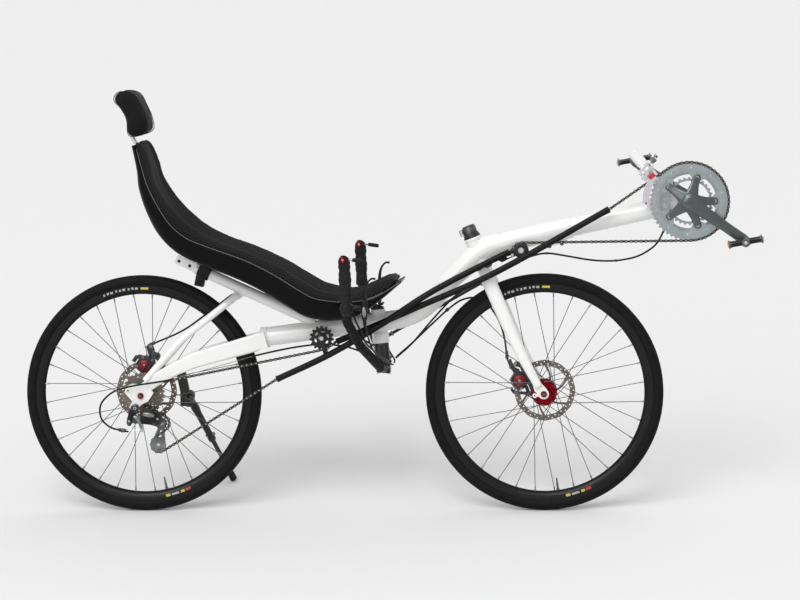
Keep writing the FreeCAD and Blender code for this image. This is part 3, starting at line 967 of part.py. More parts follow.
# ================================================================ lean, centre and write
doc.recompute()
lean = FreeCAD.Placement(V(0, 0, rt.v), FreeCAD.Rotation(V(1, 0, 0), -LEAN), V(0, 0, 0))
lean = FreeCAD.Placement(V(0, 0, rt.v), FreeCAD.Rotation(V(1, 0, 0), -LEAN)).multiply(FreeCAD.Placement(V(0, 0, -rt.v), FreeCAD.Rotation()))


def world(shape, pl):
    s = shape.copy()
    s.Placement = pl.multiply(s.Placement)
    return s


lo, hi = [1e9] * 3, [-1e9] * 3
for name in ("rear_tyre", "pedal_right", "pedal_left", "grip_left", "grip_right", "crank_right", "headrest_pad", "seat_shell",
             "bar_end_shifters", "stand_foot", "front_tyre", "chain", "brake_lever_right", "handlebar"):
    bb = world(NODES[name].Shape, lean).optimalBoundingBox(False)
    for k, (a, b) in enumerate(((bb.XMin, bb.XMax), (bb.YMin, bb.YMax), (bb.ZMin, bb.ZMax))):
        lo[k], hi[k] = min(lo[k], a), max(hi[k], b)
shift = V(-(lo[0] + hi[0]) / 2, -(lo[1] + hi[1]) / 2, 0)
STANCE = FreeCAD.Placement(shift, FreeCAD.Rotation()).multiply(lean)
print("foot bottom", world(NODES["stand_foot"].Shape, lean).optimalBoundingBox(False).ZMin)
print("bbox", [round(v, 2) for v in lo], [round(v, 2) for v in hi], "shift", shift)
for name, obj in NODES.items():
    obj.Placement = STANCE.multiply(obj.Placement)
doc.recompute()

bad = [o.Label for o in doc.Objects if "Invalid" in o.State or "Error" in o.State]
if bad:
    raise RuntimeError("failed objects: %s" % bad)
for name, obj in NODES.items():
    if obj.Shape.isNull() or not obj.Shape.isValid():
        raise RuntimeError("bad shape: " + name)
    if obj.Shape.Volume <= 0:
        raise RuntimeError("no volume: " + name)

os.makedirs("parts", exist_ok=True)
for name, obj in NODES.items():
    obj.Shape.exportStep("parts/%s.step" % name)
    print("%-24s solids %3d  volume %9.0f" % (name, len(obj.Shape.Solids), obj.Shape.Volume))
print(len(NODES), "nodes")
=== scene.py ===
# Looks of the recumbent bicycle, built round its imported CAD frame.
# Pieces are drawn upright in the bicycle's own frame (X forward, Y left, Z up, rear contact
# under X = 0) and then leaned over onto the side stand with one matrix.
import json
import math
import bpy, bmesh
from mathutils import Matrix, Vector


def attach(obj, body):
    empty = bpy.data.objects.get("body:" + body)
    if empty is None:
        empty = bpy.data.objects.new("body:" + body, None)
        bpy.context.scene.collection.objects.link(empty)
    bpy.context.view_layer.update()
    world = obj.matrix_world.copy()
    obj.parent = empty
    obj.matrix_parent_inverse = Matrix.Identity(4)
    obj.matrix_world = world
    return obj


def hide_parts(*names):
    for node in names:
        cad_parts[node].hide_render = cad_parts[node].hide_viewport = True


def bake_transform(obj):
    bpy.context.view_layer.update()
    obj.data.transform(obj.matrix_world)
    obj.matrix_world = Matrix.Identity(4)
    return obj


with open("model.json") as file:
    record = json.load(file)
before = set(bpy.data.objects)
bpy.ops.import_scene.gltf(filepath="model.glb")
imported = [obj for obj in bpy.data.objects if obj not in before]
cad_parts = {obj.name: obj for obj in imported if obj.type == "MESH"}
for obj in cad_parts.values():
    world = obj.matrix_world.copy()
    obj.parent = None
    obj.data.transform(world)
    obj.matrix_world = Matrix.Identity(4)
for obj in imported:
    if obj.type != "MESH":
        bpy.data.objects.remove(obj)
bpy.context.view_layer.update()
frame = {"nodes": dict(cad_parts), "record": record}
NODES = frame["nodes"]
JOINT = {j["name"]: j for j in frame["record"]["behaviour"]["joints"]}
MM = 0.001

# ---------------------------------------------------------------- the lean
LEAN = math.radians(11.3)
lean = Matrix.Translation((0, 0, 0.0155)) @ Matrix.Rotation(-LEAN, 4, "X") @ Matrix.Translation((0, 0, -0.0155))
hub_at = Vector(JOINT["rear_wheel_spin"]["pos_m"])
PLACE = Matrix.Translation(hub_at - lean @ Vector((0, 0, 0.310))) @ lean

REAR, FRONT = (0.0, 310.0), (1050.0, 310.0)
CRANK = (1428.0, 808.0)


def P(x, y, z):
    return Vector((x, y, z)) * MM


def down(deg):
    a = math.radians(deg)
    return Vector((math.sin(a), 0, -math.cos(a)))


HEAD_DIR, PIVOT_DIR = down(21.0), down(5.0)
HEAD0, PIVOT0 = Vector((866.0, 0, 712.0)), Vector((617.0, 0, 528.0))


# ---------------------------------------------------------------- mesh helpers
def new_mesh(name, verts, faces, uvs=None):
    me = bpy.data.meshes.new(name)
    me.from_pydata([tuple(v) for v in verts], [], faces)
    if uvs is not None:
        lay = me.uv_layers.new(name="UVMap")
        for poly in me.polygons:
            for li, vi in zip(poly.loop_indices, poly.vertices):
                lay.data[li].uv = uvs[vi] if not callable(uvs) else uvs(li, vi)
    me.validate()
    return me


def lathe(profile, centre=(0, 0, 0), axis=(0, 1, 0), segs=64, close=True, wrap_uv=True):
    """Turned solid: profile of (radius, height along axis) in mm; closed ring profile when close."""
    ax = Vector(axis).normalized()
    u = Vector((1, 0, 0)) if abs(ax.x) < 0.9 else Vector((0, 0, 1))
    u = (u - ax * u.dot(ax)).normalized()
    w = ax.cross(u)
    c = Vector(centre)
    n = len(profile)
    verts, faces, luv = [], [], []
    arc = [0.0]
    for i in range(1, n + 1):
        a, b = profile[i - 1], profile[i % n]
        arc.append(arc[-1] + math.hypot(b[0] - a[0], b[1] - a[1]))
    for s in range(segs):
        t = 2 * math.pi * s / segs
        d = u * math.cos(t) + w * math.sin(t)
        for r, h in profile:
            verts.append((c + d * r + ax * h) * MM)
    last = n if close else n - 1
    rmax = max(p[0] for p in profile)
    for s in range(segs):
        s2 = (s + 1) % segs
        for i in range(last):
            j = (i + 1) % n
            a, b, c_, d_ = s * n + i, s * n + j, s2 * n + j, s2 * n + i
            if profile[i][0] < 1e-6 and profile[j][0] < 1e-6:
                continue
            faces.append((a, d_, c_, b))
            u0, u1 = s / segs * 2 * math.pi * rmax * MM, (s + 1) / segs * 2 * math.pi * rmax * MM
            v0, v1 = arc[i] * MM, arc[i + 1] * MM
            luv += [(u0, v0), (u1, v0), (u1, v1), (u0, v1)]
    me = bpy.data.meshes.new("lathe")
    me.from_pydata([tuple(v) for v in verts], [], faces)
    lay = me.uv_layers.new(name="UVMap")
    for k, uv in enumerate(luv):
        lay.data[k].uv = uv
    bm = bmesh.new(); bm.from_mesh(me)
    bmesh.ops.remove_doubles(bm, verts=bm.verts, dist=1e-7)
    bmesh.ops.recalc_face_normals(bm, faces=bm.faces)
    bm.to_mesh(me); bm.free()
    return me


def catmull(pts, per=8, closed=False):
    """Smooth line through the points (centripetal form)."""
    p = [Vector(q) for q in pts]
    n = len(p)
    out = []
    rng = range(n if closed else n - 1)
    for i in rng:
        p1, p2 = p[i], p[(i + 1) % n]
        p0 = p[(i - 1) % n] if (closed or i > 0) else p1 * 2 - p2
        p3 = p[(i + 2) % n] if (closed or i + 2 < n) else p2 * 2 - p1
        t0 = 0.0
        t1 = t0 + max((p1 - p0).length, 1e-9) ** 0.5
        t2 = t1 + max((p2 - p1).length, 1e-9) ** 0.5
        t3 = t2 + max((p3 - p2).length, 1e-9) ** 0.5
        for k in range(per):
            t = t1 + (t2 - t1) * k / per
            a1 = p0 * ((t1 - t) / (t1 - t0)) + p1 * ((t - t0) / (t1 - t0))
            a2 = p1 * ((t2 - t) / (t2 - t1)) + p2 * ((t - t1) / (t2 - t1))
            a3 = p2 * ((t3 - t) / (t3 - t2)) + p3 * ((t - t2) / (t3 - t2))
            b1 = a1 * ((t2 - t) / (t2 - t0)) + a2 * ((t - t0) / (t2 - t0))
            b2 = a2 * ((t3 - t) / (t3 - t1)) + a3 * ((t - t1) / (t3 - t1))
            out.append(b1 * ((t2 - t) / (t2 - t1)) + b2 * ((t - t1) / (t2 - t1)))
    if not closed:
        out.append(p[-1])
    return out


def frames_along(pts, closed=False):
    n = len(pts)
    tang = []
    for i in range(n):
        a = pts[(i - 1) % n] if (closed or i > 0) else pts[i]
        b = pts[(i + 1) % n] if (closed or i < n - 1) else pts[i]
        tang.append((b - a).normalized())
    u = Vector((0, 1, 0)) if abs(tang[0].y) < 0.9 else Vector((0, 0, 1))
    u = (u - tang[0] * u.dot(tang[0])).normalized()
    out = []
    for i in range(n):
        if i:
            q = tang[i - 1].rotation_difference(tang[i])
            u = q @ u
            u = (u - tang[i] * u.dot(tang[i])).normalized()
        out.append((tang[i], u, tang[i].cross(u)))
    return out


def tube(pts, radius, sides=16, cap=True, closed=False, section=None):
    """Sweep of a round (or given) section along points in mm. radius: number or one per point."""
    pts = [Vector(q) for q in pts]
    fr = frames_along(pts, closed)
    n = len(pts)
    sec = section or [(math.cos(2 * math.pi * k / sides), math.sin(2 * math.pi * k / sides)) for k in range(sides)]
    m = len(sec)
    verts, faces, luv = [], [], []
    run = 0.0
    runs = [0.0]
    for i in range(1, n + 1):
        run += (pts[i % n] - pts[i - 1]).length
        runs.append(run)
    for i in range(n):
        r = radius[i] if isinstance(radius, (list, tuple)) else radius
        ra, rb = r if isinstance(r, (list, tuple)) else (r, r)
        t, u, w = fr[i]
        for a, b in sec:
            verts.append((pts[i] + u * (a * ra) + w * (b * rb)) * MM)
    for i in range(n if closed else n - 1):
        i2 = (i + 1) % n
        for k in range(m):
            k2 = (k + 1) % m
            faces.append((i * m + k, i * m + k2, i2 * m + k2, i2 * m + k))
            r = radius[i] if isinstance(radius, (list, tuple)) else radius
            r = max(r) if isinstance(r, (list, tuple)) else r
            v0, v1 = k / m * 2 * math.pi * r * MM, (k + 1) / m * 2 * math.pi * r * MM
            u0, u1 = runs[i] * MM, runs[i + 1] * MM
            luv += [(u0, v0), (u0, v1), (u1, v1), (u1, v0)]
    if cap and not closed:
        for i, rev in ((0, True), (n - 1, False)):
            ring = [i * m + k for k in range(m)]
            faces.append(tuple(reversed(ring)) if rev else tuple(ring))
            luv += [(0, 0)] * m
    me = bpy.data.meshes.new("tube")
    me.from_pydata([tuple(v) for v in verts], [], faces)
    lay = me.uv_layers.new(name="UVMap")
    for k, uv in enumerate(luv):
        lay.data[k].uv = uv
    bm = bmesh.new(); bm.from_mesh(me)
    bmesh.ops.recalc_face_normals(bm, faces=bm.faces)
    bm.to_mesh(me); bm.free()
    return me


def plate(outlines, y0, y1, bevel=0.4, plane=None, steps=1):
    """Flat part cut from sheet: first outline is the edge, the rest are holes; (x, z) in mm, from y0 to y1."""
    cu = bpy.data.curves.new("plate", "CURVE")
    cu.dimensions = "2D"
    cu.fill_mode = "BOTH"
    t = abs(y1 - y0) / 2.0
    b = min(bevel, t * 0.9)
    cu.extrude = (t - b) * MM
    cu.bevel_depth = b * MM
    cu.bevel_resolution = steps - 1
    cu.offset = -b * MM
    for line in outlines:
        sp = cu.splines.new("POLY")
        sp.points.add(len(line) - 1)
        for q, (x, z) in zip(sp.points, line):
            q.co = (x * MM, z * MM, 0, 1)
        sp.use_cyclic_u = True
    ob = bpy.data.objects.new("plate", cu)
    bpy.context.scene.collection.objects.link(ob)
    dg = bpy.context.evaluated_depsgraph_get()
    dg.update()
    me = bpy.data.meshes.new_from_object(ob.evaluated_get(dg))
    bpy.data.objects.remove(ob)
    m = plane if plane is not None else Matrix(((1, 0, 0, 0), (0, 0, -1, (y0 + y1) / 2 * MM), (0, 1, 0, 0), (0, 0, 0, 1)))
    me.transform(m)
    return me


def rbox(lo, hi, turn=0.0, bevel=1.5, seg=2, frame_=None):
    """Box with rounded edges; turned about Y by turn degrees round its centre."""
    lo, hi = Vector(lo), Vector(hi)
    c, d = (lo + hi) / 2, (hi - lo)
    bm = bmesh.new()
    bmesh.ops.create_cube(bm, size=1.0)
    bmesh.ops.scale(bm, vec=[abs(v) * MM for v in d], verts=bm.verts)
    bmesh.ops.bevel(bm, geom=bm.edges[:], offset=min(bevel, min(abs(v) for v in d) * 0.45) * MM, segments=seg, profile=0.6, affect="EDGES")
    me = bpy.data.meshes.new("rbox")
    bm.to_mesh(me); bm.free()
    m = frame_ if frame_ is not None else Matrix.Rotation(math.radians(-turn), 4, "Y")
    me.transform(Matrix.Translation(c * MM) @ m)
    return me


def rod(a, b, r, r2=None, sides=24, bevel=0.8):
    """Straight round bar between two points with eased ends."""
    a, b = Vector(a), Vector(b)
    L = (b - a).length
    r2 = r if r2 is None else r2
    e = min(bevel, r * 0.4, L * 0.3)
    e2 = min(bevel, r2 * 0.4, L * 0.3)
    prof = [(0, 0), (r - e, 0), (r - e * 0.3, e * 0.3), (r, e), (r2, L - e2), (r2 - e2 * 0.3, L - e2 * 0.3), (r2 - e2, L), (0, L)]
    return lathe(prof, a, b - a, sides, close=False)


def bolt(at, direction, r, h, socket=True, sides=20):
    """Cap screw head standing on a surface, with its hexagon socket."""
    d = Vector(direction).normalized()
    if not socket:
        return lathe([(0, 0), (r, 0), (r, h * 0.6), (r * 0.8, h * 0.92), (r * 0.4, h), (0, h)], at, d, sides, close=False)
    return lathe([(0, 0), (r, 0), (r, h * 0.75), (r * 0.88, h), (r * 0.55, h), (r * 0.5, h * 0.35), (0, h * 0.35)], at, d, sides, close=False)


def nut(at, direction, r, h):
    d = Vector(direction).normalized()
    return lathe([(0, 0), (r, 0), (r, h * 0.85), (r * 0.9, h), (r * 0.5, h), (r * 0.5, h * 0.6), (0, h * 0.6)], at, d, 6, close=False)


def merge(meshes):
    """One mesh from several; face materials kept by number."""
    bm = bmesh.new()
    for me in meshes:
        bm.from_mesh(me)
    out = bpy.data.meshes.new("merged")
    bm.to_mesh(out); bm.free()
    return out


def at_mat(me, k):
    """Marks all of a mesh's faces with material number k."""
    me.polygons.foreach_set("material_index", [k] * len(me.polygons))
    # indexes survive only if slots exist when merged
    while len(me.materials) <= k:
        me.materials.append(None)
    return me


def spun(me, n, centre, axis=(0, 1, 0), phase=0.0):
    """n copies of a mesh round an axis through centre (mm)."""
    out = []
    c = Vector(centre) * MM
    for k in range(n):
        q = me.copy()
        q.transform(Matrix.Translation(c) @ Matrix.Rotation(phase + 2 * math.pi * k / n, 4, Vector(axis)) @ Matrix.Translation(-c))
        out.append(q)
    return out


def circle(cx, cz, r, n=24, phase=0.0):
    return [(cx + r * math.cos(phase + 2 * math.pi * k / n), cz + r * math.sin(phase + 2 * math.pi * k / n)) for k in range(n)]


def slot_hole(cx, cz, ang, length, w, n=6):
    """Rounded slot outline centred at (cx, cz), long axis at angle ang."""
    out = []
    for s, base in ((1, -90), (-1, 90)):
        ex, ez = cx + s * math.cos(ang) * (length / 2 - w / 2), cz + s * math.sin(ang) * (length / 2 - w / 2)
        for k in range(n + 1):
            t = ang + math.radians(base + 180.0 * k / n)
            out.append((ex + w / 2 * math.cos(t), ez + w / 2 * math.sin(t)))
    return out


def piece(name, meshes, body, mats, replaces=(), smooth=35.0, subsurf=0):
    """Adds a finished piece: merges its meshes, leans it with the bicycle and rides it on its body."""
    me = meshes if isinstance(meshes, bpy.types.Mesh) else (meshes[0] if len(meshes) == 1 else merge(meshes))
    me = me.copy()
    me.name = name
    me.materials.clear()
    for m in (mats if isinstance(mats, (list, tuple)) else [mats]):
        me.materials.append(m)
    me.transform(PLACE)
    for p in me.polygons:
        p.use_smooth = True
    if smooth < 180:
        me.set_sharp_from_angle(angle=math.radians(smooth))
    ob = bpy.data.objects.new(name, me)
    bpy.context.scene.collection.objects.link(ob)
    if subsurf:
        md = ob.modifiers.new("sub", "SUBSURF")
        md.levels = md.render_levels = subsurf
    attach(ob, body)
    if replaces:
        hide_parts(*replaces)
    return ob


# ---------------------------------------------------------------- materials
def mat(name, color, rough=0.4, metal=0.0, grain=0.0, grain_scale=800.0, vary=0.08, vary_scale=18.0,
        coat=0.0, rough_vary=0.12, scratch=0.0, wear=None, sheen=0.0, spec=0.5, dust=0.0):
    """Painted, plated or moulded surface: colour drift, uneven gloss, fine grain and rubbed marks."""
    m = bpy.data.materials.new(name)
    m.use_nodes = True
    nt = m.node_tree
    b = nt.nodes["Principled BSDF"]
    L = nt.links.new
    tc = nt.nodes.new("ShaderNodeTexCoord")
    b.inputs["Metallic"].default_value = metal
    b.inputs["Coat Weight"].default_value = coat
    b.inputs["Coat Roughness"].default_value = 0.06
    b.inputs["Specular IOR Level"].default_value = spec
    if sheen:
        b.inputs["Sheen Weight"].default_value = sheen
        b.inputs["Sheen Roughness"].default_value = 0.5
    n1 = nt.nodes.new("ShaderNodeTexNoise")
    n1.inputs["Scale"].default_value = vary_scale
    n1.inputs["Detail"].default_value = 5.0
    L(tc.outputs["Object"], n1.inputs["Vector"])
    ramp = nt.nodes.new("ShaderNodeValToRGB")
    ramp.color_ramp.elements[0].position, ramp.color_ramp.elements[1].position = 0.3, 0.7
    lo = [max(0.0, c * (1 - vary)) for c in color]
    hi = [min(1.0, c * (1 + vary)) for c in color]
    ramp.color_ramp.elements[0].color = (*lo, 1)
    ramp.color_ramp.elements[1].color = (*hi, 1)
    L(n1.outputs["Fac"], ramp.inputs["Fac"])
    col = ramp.outputs["Color"]
    n2 = nt.nodes.new("ShaderNodeTexNoise")
    n2.inputs["Scale"].default_value = vary_scale * 6
    n2.inputs["Detail"].default_value = 6.0
    L(tc.outputs["Object"], n2.inputs["Vector"])
    mr = nt.nodes.new("ShaderNodeMapRange")
    mr.inputs["From Min"].default_value, mr.inputs["From Max"].default_value = 0.3, 0.7
    mr.inputs["To Min"].default_value, mr.inputs["To Max"].default_value = max(0.02, rough - rough_vary * rough), min(1.0, rough + rough_vary)
    L(n2.outputs["Fac"], mr.inputs["Value"])
    rough_out = mr.outputs["Result"]
    if wear is not None or dust:
        geo = nt.nodes.new("ShaderNodeNewGeometry")
        wr = nt.nodes.new("ShaderNodeMapRange")
        wr.inputs["From Min"].default_value, wr.inputs["From Max"].default_value = 0.53, 0.60
        L(geo.outputs["Pointiness"], wr.inputs["Value"])
        mul = nt.nodes.new("ShaderNodeMath"); mul.operation = "MULTIPLY"
        L(wr.outputs["Result"], mul.inputs[0]); L(n2.outputs["Fac"], mul.inputs[1])
        mix = nt.nodes.new("ShaderNodeMix"); mix.data_type = "RGBA"
        L(mul.outputs[0], mix.inputs["Factor"])
        L(col, mix.inputs["A"])
        mix.inputs["B"].default_value = (*(wear or (0.4, 0.4, 0.4)), 1)
        col = mix.outputs["Result"]
    L(col, b.inputs["Base Color"])
    L(rough_out, b.inputs["Roughness"])
    if grain or scratch:
        n3 = nt.nodes.new("ShaderNodeTexNoise")
        n3.inputs["Scale"].default_value = grain_scale
        n3.inputs["Detail"].default_value = 3.0
        if scratch:
            mp = nt.nodes.new("ShaderNodeMapping")
            mp.inputs["Scale"].default_value = (0.06, 1.0, 1.0)
            L(tc.outputs["Object"], mp.inputs["Vector"])
            L(mp.outputs["Vector"], n3.inputs["Vector"])
        else:
            L(tc.outputs["Object"], n3.inputs["Vector"])
        bp = nt.nodes.new("ShaderNodeBump")
        bp.inputs["Strength"].default_value = grain or scratch
        bp.inputs["Distance"].default_value = 0.0004
        L(n3.outputs["Fac"], bp.inputs["Height"])
        L(bp.outputs["Normal"], b.inputs["Normal"])
    return m


M = {}
M["paint"] = mat("white_paint", (0.80, 0.80, 0.79), rough=0.22, coat=0.6, vary=0.02, vary_scale=6, grain=0.04, grain_scale=260, rough_vary=0.06)
M["black_paint"] = mat("black_paint", (0.006, 0.006, 0.0064), rough=0.34, coat=0.04, spec=0.22, vary=0.2, grain=0.08, grain_scale=900, wear=(0.16, 0.16, 0.17))
M["black_plastic"] = mat("black_plastic", (0.006, 0.006, 0.0064), rough=0.42, spec=0.22, vary=0.25, grain=0.18, grain_scale=1500)
M["shell"] = mat("seat_shell_black", (0.0026, 0.0026, 0.003), rough=0.30, vary=0.2, coat=0.02, grain=0.06, grain_scale=700, spec=0.08)
M["rubber"] = mat("grip_rubber", (0.009, 0.0085, 0.009), rough=0.72, vary=0.2, grain=0.5, grain_scale=1300, spec=0.25)
M["cable"] = mat("cable_housing", (0.006, 0.006, 0.0066), rough=0.38, spec=0.22, vary=0.15, grain=0.05, grain_scale=1200)
M["chain_tube"] = mat("chain_tube_black", (0.0045, 0.0045, 0.005), rough=0.36, spec=0.16, vary=0.2, grain=0.06, grain_scale=500)
M["steel"] = mat("bright_steel", (0.62, 0.62, 0.63), rough=0.24, metal=1.0, vary=0.06, scratch=0.15, grain_scale=900)
M["dark_steel"] = mat("dark_steel", (0.16, 0.155, 0.15), rough=0.36, metal=1.0, vary=0.18, scratch=0.15, grain_scale=900)
M["alloy"] = mat("satin_alloy", (0.60, 0.615, 0.63), rough=0.30, metal=1.0, vary=0.05, scratch=0.12, grain_scale=1100)
M["polished"] = mat("polished_alloy", (0.80, 0.80, 0.81), rough=0.12, metal=1.0, vary=0.03, scratch=0.05, grain_scale=800)
M["grey_alloy"] = mat("dark_grey_alloy", (0.19, 0.205, 0.215), rough=0.34, metal=0.85, vary=0.08, scratch=0.08, grain_scale=900, wear=(0.5, 0.5, 0.5))
M["black_alloy"] = mat("black_anodised", (0.014, 0.014, 0.0155), rough=0.30, metal=0.75, vary=0.15, scratch=0.08, grain_scale=900, wear=(0.3, 0.3, 0.3))
M["red_alloy"] = mat("red_anodised", (0.19, 0.004, 0.010), rough=0.20, metal=1.0, vary=0.12, scratch=0.06, grain_scale=900)
M["red_plastic"] = mat("red_plastic", (0.50, 0.012, 0.02), rough=0.30, vary=0.1, grain=0.08, grain_scale=1200, coat=0.3)
M["amber"] = mat("amber_reflector", (0.85, 0.28, 0.02), rough=0.18, vary=0.08, grain=0.5, grain_scale=420, coat=0.8)
M["chain"] = mat("chain_steel", (0.052, 0.045, 0.040), rough=0.42, metal=0.9, vary=0.2, vary_scale=60, scratch=0.1)
M["rotor"] = mat("brake_disc_steel", (0.200, 0.178, 0.158), rough=0.34, metal=1.0, vary=0.08, scratch=0.25, grain_scale=600)
M["cog"] = mat("nickel_cogs", (0.20, 0.178, 0.150), rough=0.28, metal=1.0, vary=0.12, scratch=0.12, grain_scale=700)

# the node finishes as they come from the model; detailed pieces replace many of these
USE = {"paint": ["main_frame", "boom", "seat_beam", "chainstays", "seat_stays", "fork"],
       "shell": ["seat_shell"], "alloy": ["headrest_bracket", "bar_end_shifters"], "black_paint": ["seat_rear_clamp", "seat_front_bracket", "idler_brackets", "stand_mount", "stand_leg", "steerer_clamp", "handlebar_stem", "tie_rod", "rear_caliper", "front_caliper", "handlebar", "pedal_right", "pedal_left"],
       "chain_tube": ["power_chain_tube", "return_chain_tube"], "chain": ["chain"], "polished": ["front_derailleur"], "grey_alloy": ["rear_derailleur", "crank_right", "crank_left", "brake_lever_left", "brake_lever_right"],
       "steel": ["rear_axle", "front_axle", "front_spokes", "rear_spokes"], "cable": ["rear_brake_cable", "shift_cable_rear", "front_derailleur_cable", "front_brake_cable_rear", "front_brake_cable_front", "bar_cables"],
       "rubber": ["front_tyre", "rear_tyre", "grip_left", "grip_right", "stand_foot", "seat_pad", "headrest_pad"], "black_alloy": ["front_rim", "rear_rim", "rear_hub"], "red_alloy": ["front_hub"],
       "rotor": ["front_rotor", "rear_rotor"], "cog": ["cassette"], "alloy2": [], "black_plastic": ["power_idler", "return_idler"]}
for key, names in USE.items():
    for n_ in names:
        ob = NODES[n_]
        ob.data.materials.clear()
        ob.data.materials.append(M[key])
NODES["chainrings"].data.materials.clear(); NODES["chainrings"].data.materials.append(M["alloy"])

# ---------------------------------------------------------------- wheels
def tyre_material(name, at):
    """Black rubber: a fine ribbed shoulder, a groove each side of the slick crown, dusty tread."""
    m = bpy.data.materials.new(name)
    m.use_nodes = True
    nt = m.node_tree
    b = nt.nodes["Principled BSDF"]
    L = nt.links.new
    uv = nt.nodes.new("ShaderNodeTexCoord")
    sep = nt.nodes.new("ShaderNodeSeparateXYZ")
    L(uv.outputs["UV"], sep.inputs[0])
    noise = nt.nodes.new("ShaderNodeTexNoise"); noise.inputs["Scale"].default_value = 60; noise.inputs["Detail"].default_value = 6
    L(uv.outputs["Object"], noise.inputs["Vector"])
    ramp = nt.nodes.new("ShaderNodeValToRGB")
    ramp.color_ramp.elements[0].position, ramp.color_ramp.elements[1].position = 0.3, 0.75
    ramp.color_ramp.elements[0].color = (0.004, 0.0038, 0.004, 1)
    ramp.color_ramp.elements[1].color = (0.009, 0.0086, 0.009, 1)
    L(noise.outputs["Fac"], ramp.inputs["Fac"])
    L(ramp.outputs["Color"], b.inputs["Base Color"])
    b.inputs["Specular IOR Level"].default_value = 0.11
    mr = nt.nodes.new("ShaderNodeMapRange")
    mr.inputs["To Min"].default_value, mr.inputs["To Max"].default_value = 0.48, 0.74
    L(noise.outputs["Fac"], mr.inputs["Value"]); L(mr.outputs["Result"], b.inputs["Roughness"])
    # fine slanted ribs
    wave = nt.nodes.new("ShaderNodeMath"); wave.operation = "MULTIPLY_ADD"
    L(sep.outputs["X"], wave.inputs[0]); wave.inputs[1].default_value = 1400.0
    sl = nt.nodes.new("ShaderNodeMath"); sl.operation = "MULTIPLY"; sl.inputs[1].default_value = 900.0
    L(sep.outputs["Y"], sl.inputs[0]); L(sl.outputs[0], wave.inputs[2])
    sn = nt.nodes.new("ShaderNodeMath"); sn.operation = "SINE"; L(wave.outputs[0], sn.inputs[0])
    n2 = nt.nodes.new("ShaderNodeTexNoise"); n2.inputs["Scale"].default_value = 1800
    L(uv.outputs["Object"], n2.inputs["Vector"])
    add = nt.nodes.new("ShaderNodeMath"); add.operation = "MULTIPLY_ADD"; add.inputs[1].default_value = 0.5
    L(n2.outputs["Fac"], add.inputs[0]); L(sn.outputs[0], add.inputs[2])
    bump = nt.nodes.new("ShaderNodeBump"); bump.inputs["Strength"].default_value = 0.25; bump.inputs["Distance"].default_value = 0.0003
    L(add.outputs[0], bump.inputs["Height"]); L(bump.outputs["Normal"], b.inputs["Normal"])
    return m


M["tyre"] = tyre_material("tyre_rubber", REAR)
M["mark_yellow"] = mat("mark_yellow", (0.48, 0.42, 0.05), rough=0.4, vary=0.1)
M["mark_white"] = mat("mark_grey", (0.36, 0.36, 0.36), rough=0.4, vary=0.1)
M["mark_red"] = mat("mark_red", (0.45, 0.03, 0.03), rough=0.4, vary=0.1)
M["nipple"] = mat("nipple_brass", (0.25, 0.25, 0.25), rough=0.3, metal=1.0, vary=0.1)
M["spoke"] = mat("spoke_steel", (0.12, 0.12, 0.125), rough=0.35, metal=1.0, vary=0.08, scratch=0.1)


def tyre_profile():
    """Round casing with a groove on each side of the tread and a rim-protector bead line."""
    half = []
    R0, rc, hw = 310.0, 294.6, 15.5
    for k in range(0, 25):
        t = math.radians(90 - k * 6.0)            # from the crown to the bead
        r = rc + 15.4 * math.sin(t)
        y = hw * math.cos(t)
        if k in (8, 9):
            r -= 0.5 * math.sin(t); y -= 0.5 * math.cos(t)
        if r < 283.5:
            break
        half.append((r, y))
    half.append((283.2, 11.6)); half.append((281.0, 9.9))
    inner = [(284.0, 8.0), (295.0, 12.0), (304.5, 6.5), (306.5, 0.0)]
    left = half
    right_ = [(r, -y) for r, y in half]
    prof = list(reversed(right_)) + left[1:] + inner + [(r, -y) for r, y in reversed(inner[:-1])]
    return prof


def rim_profile():
    h = [(285.0, 11.5), (284.6, 11.5), (271.5, 11.5), (270.6, 11.1), (267.0, 9.9), (262.2, 5.0), (260.2, 2.2), (260.0, 0.0)]
    out = h + [(r, -y) for r, y in reversed(h[:-1])]
    well = [(285.0, -10.0), (283.6, -9.6), (281.6, -9.9), (279.0, -8.0), (277.6, -4.5), (277.2, 0.0)]
    return out + well + [(r, -y) for r, y in reversed(well[:-1])]


def side_patch(cx, cz, r0, r1, y, a0, a1, n=14, rise=0.25, y1=None):
    """Thin coloured patch on a wheel's side, between two radii and two angles (degrees)."""
    v, f = [], []
    y1 = y if y1 is None else y1
    for k in range(n + 1):
        t = math.radians(a0 + (a1 - a0) * k / n)
        for r, yy in ((r0, y), (r1, y1)):
            v.append(P(cx + r * math.cos(t), yy + math.copysign(rise, yy), cz + r * math.sin(t)))
    for k in range(n):
        f.append((2 * k, 2 * k + 1, 2 * k + 3, 2 * k + 2))
    return new_mesh("patch", v, f)


def lacing(flange_y, flange_r, rim_y=3.0):
    rows = []
    rh = flange_r - 4.0
    rr = 260.6
    for side, fy in enumerate(flange_y):
        sgn = -1 if side == 0 else 1
        for k in range(16):
            hole = math.radians(22.5 * k + (11.25 if side else 0.0))
            lead = 1 if k % 2 else -1
            tip = hole + lead * math.radians(66.0)
            tip = math.radians(22.5) * round((math.degrees(tip) - (5.6 if side else -5.6)) / 22.5) + math.radians(5.6 if side else -5.6)
            yo = fy + (2.6 if lead > 0 else -2.6)
            rows.append((Vector((rh * math.cos(hole), yo, rh * math.sin(hole))), Vector((rr * math.cos(tip), sgn * rim_y, rr * math.sin(tip))), fy, lead))
    return rows


def disc_outline(r, wave, n, phase=0.0, lobes=12):
    return [((r + wave * math.cos(lobes * (2 * math.pi * k / n) + phase)) * math.cos(2 * math.pi * k / n),
             (r + wave * math.cos(lobes * (2 * math.pi * k / n) + phase)) * math.sin(2 * math.pi * k / n)) for k in range(n)]


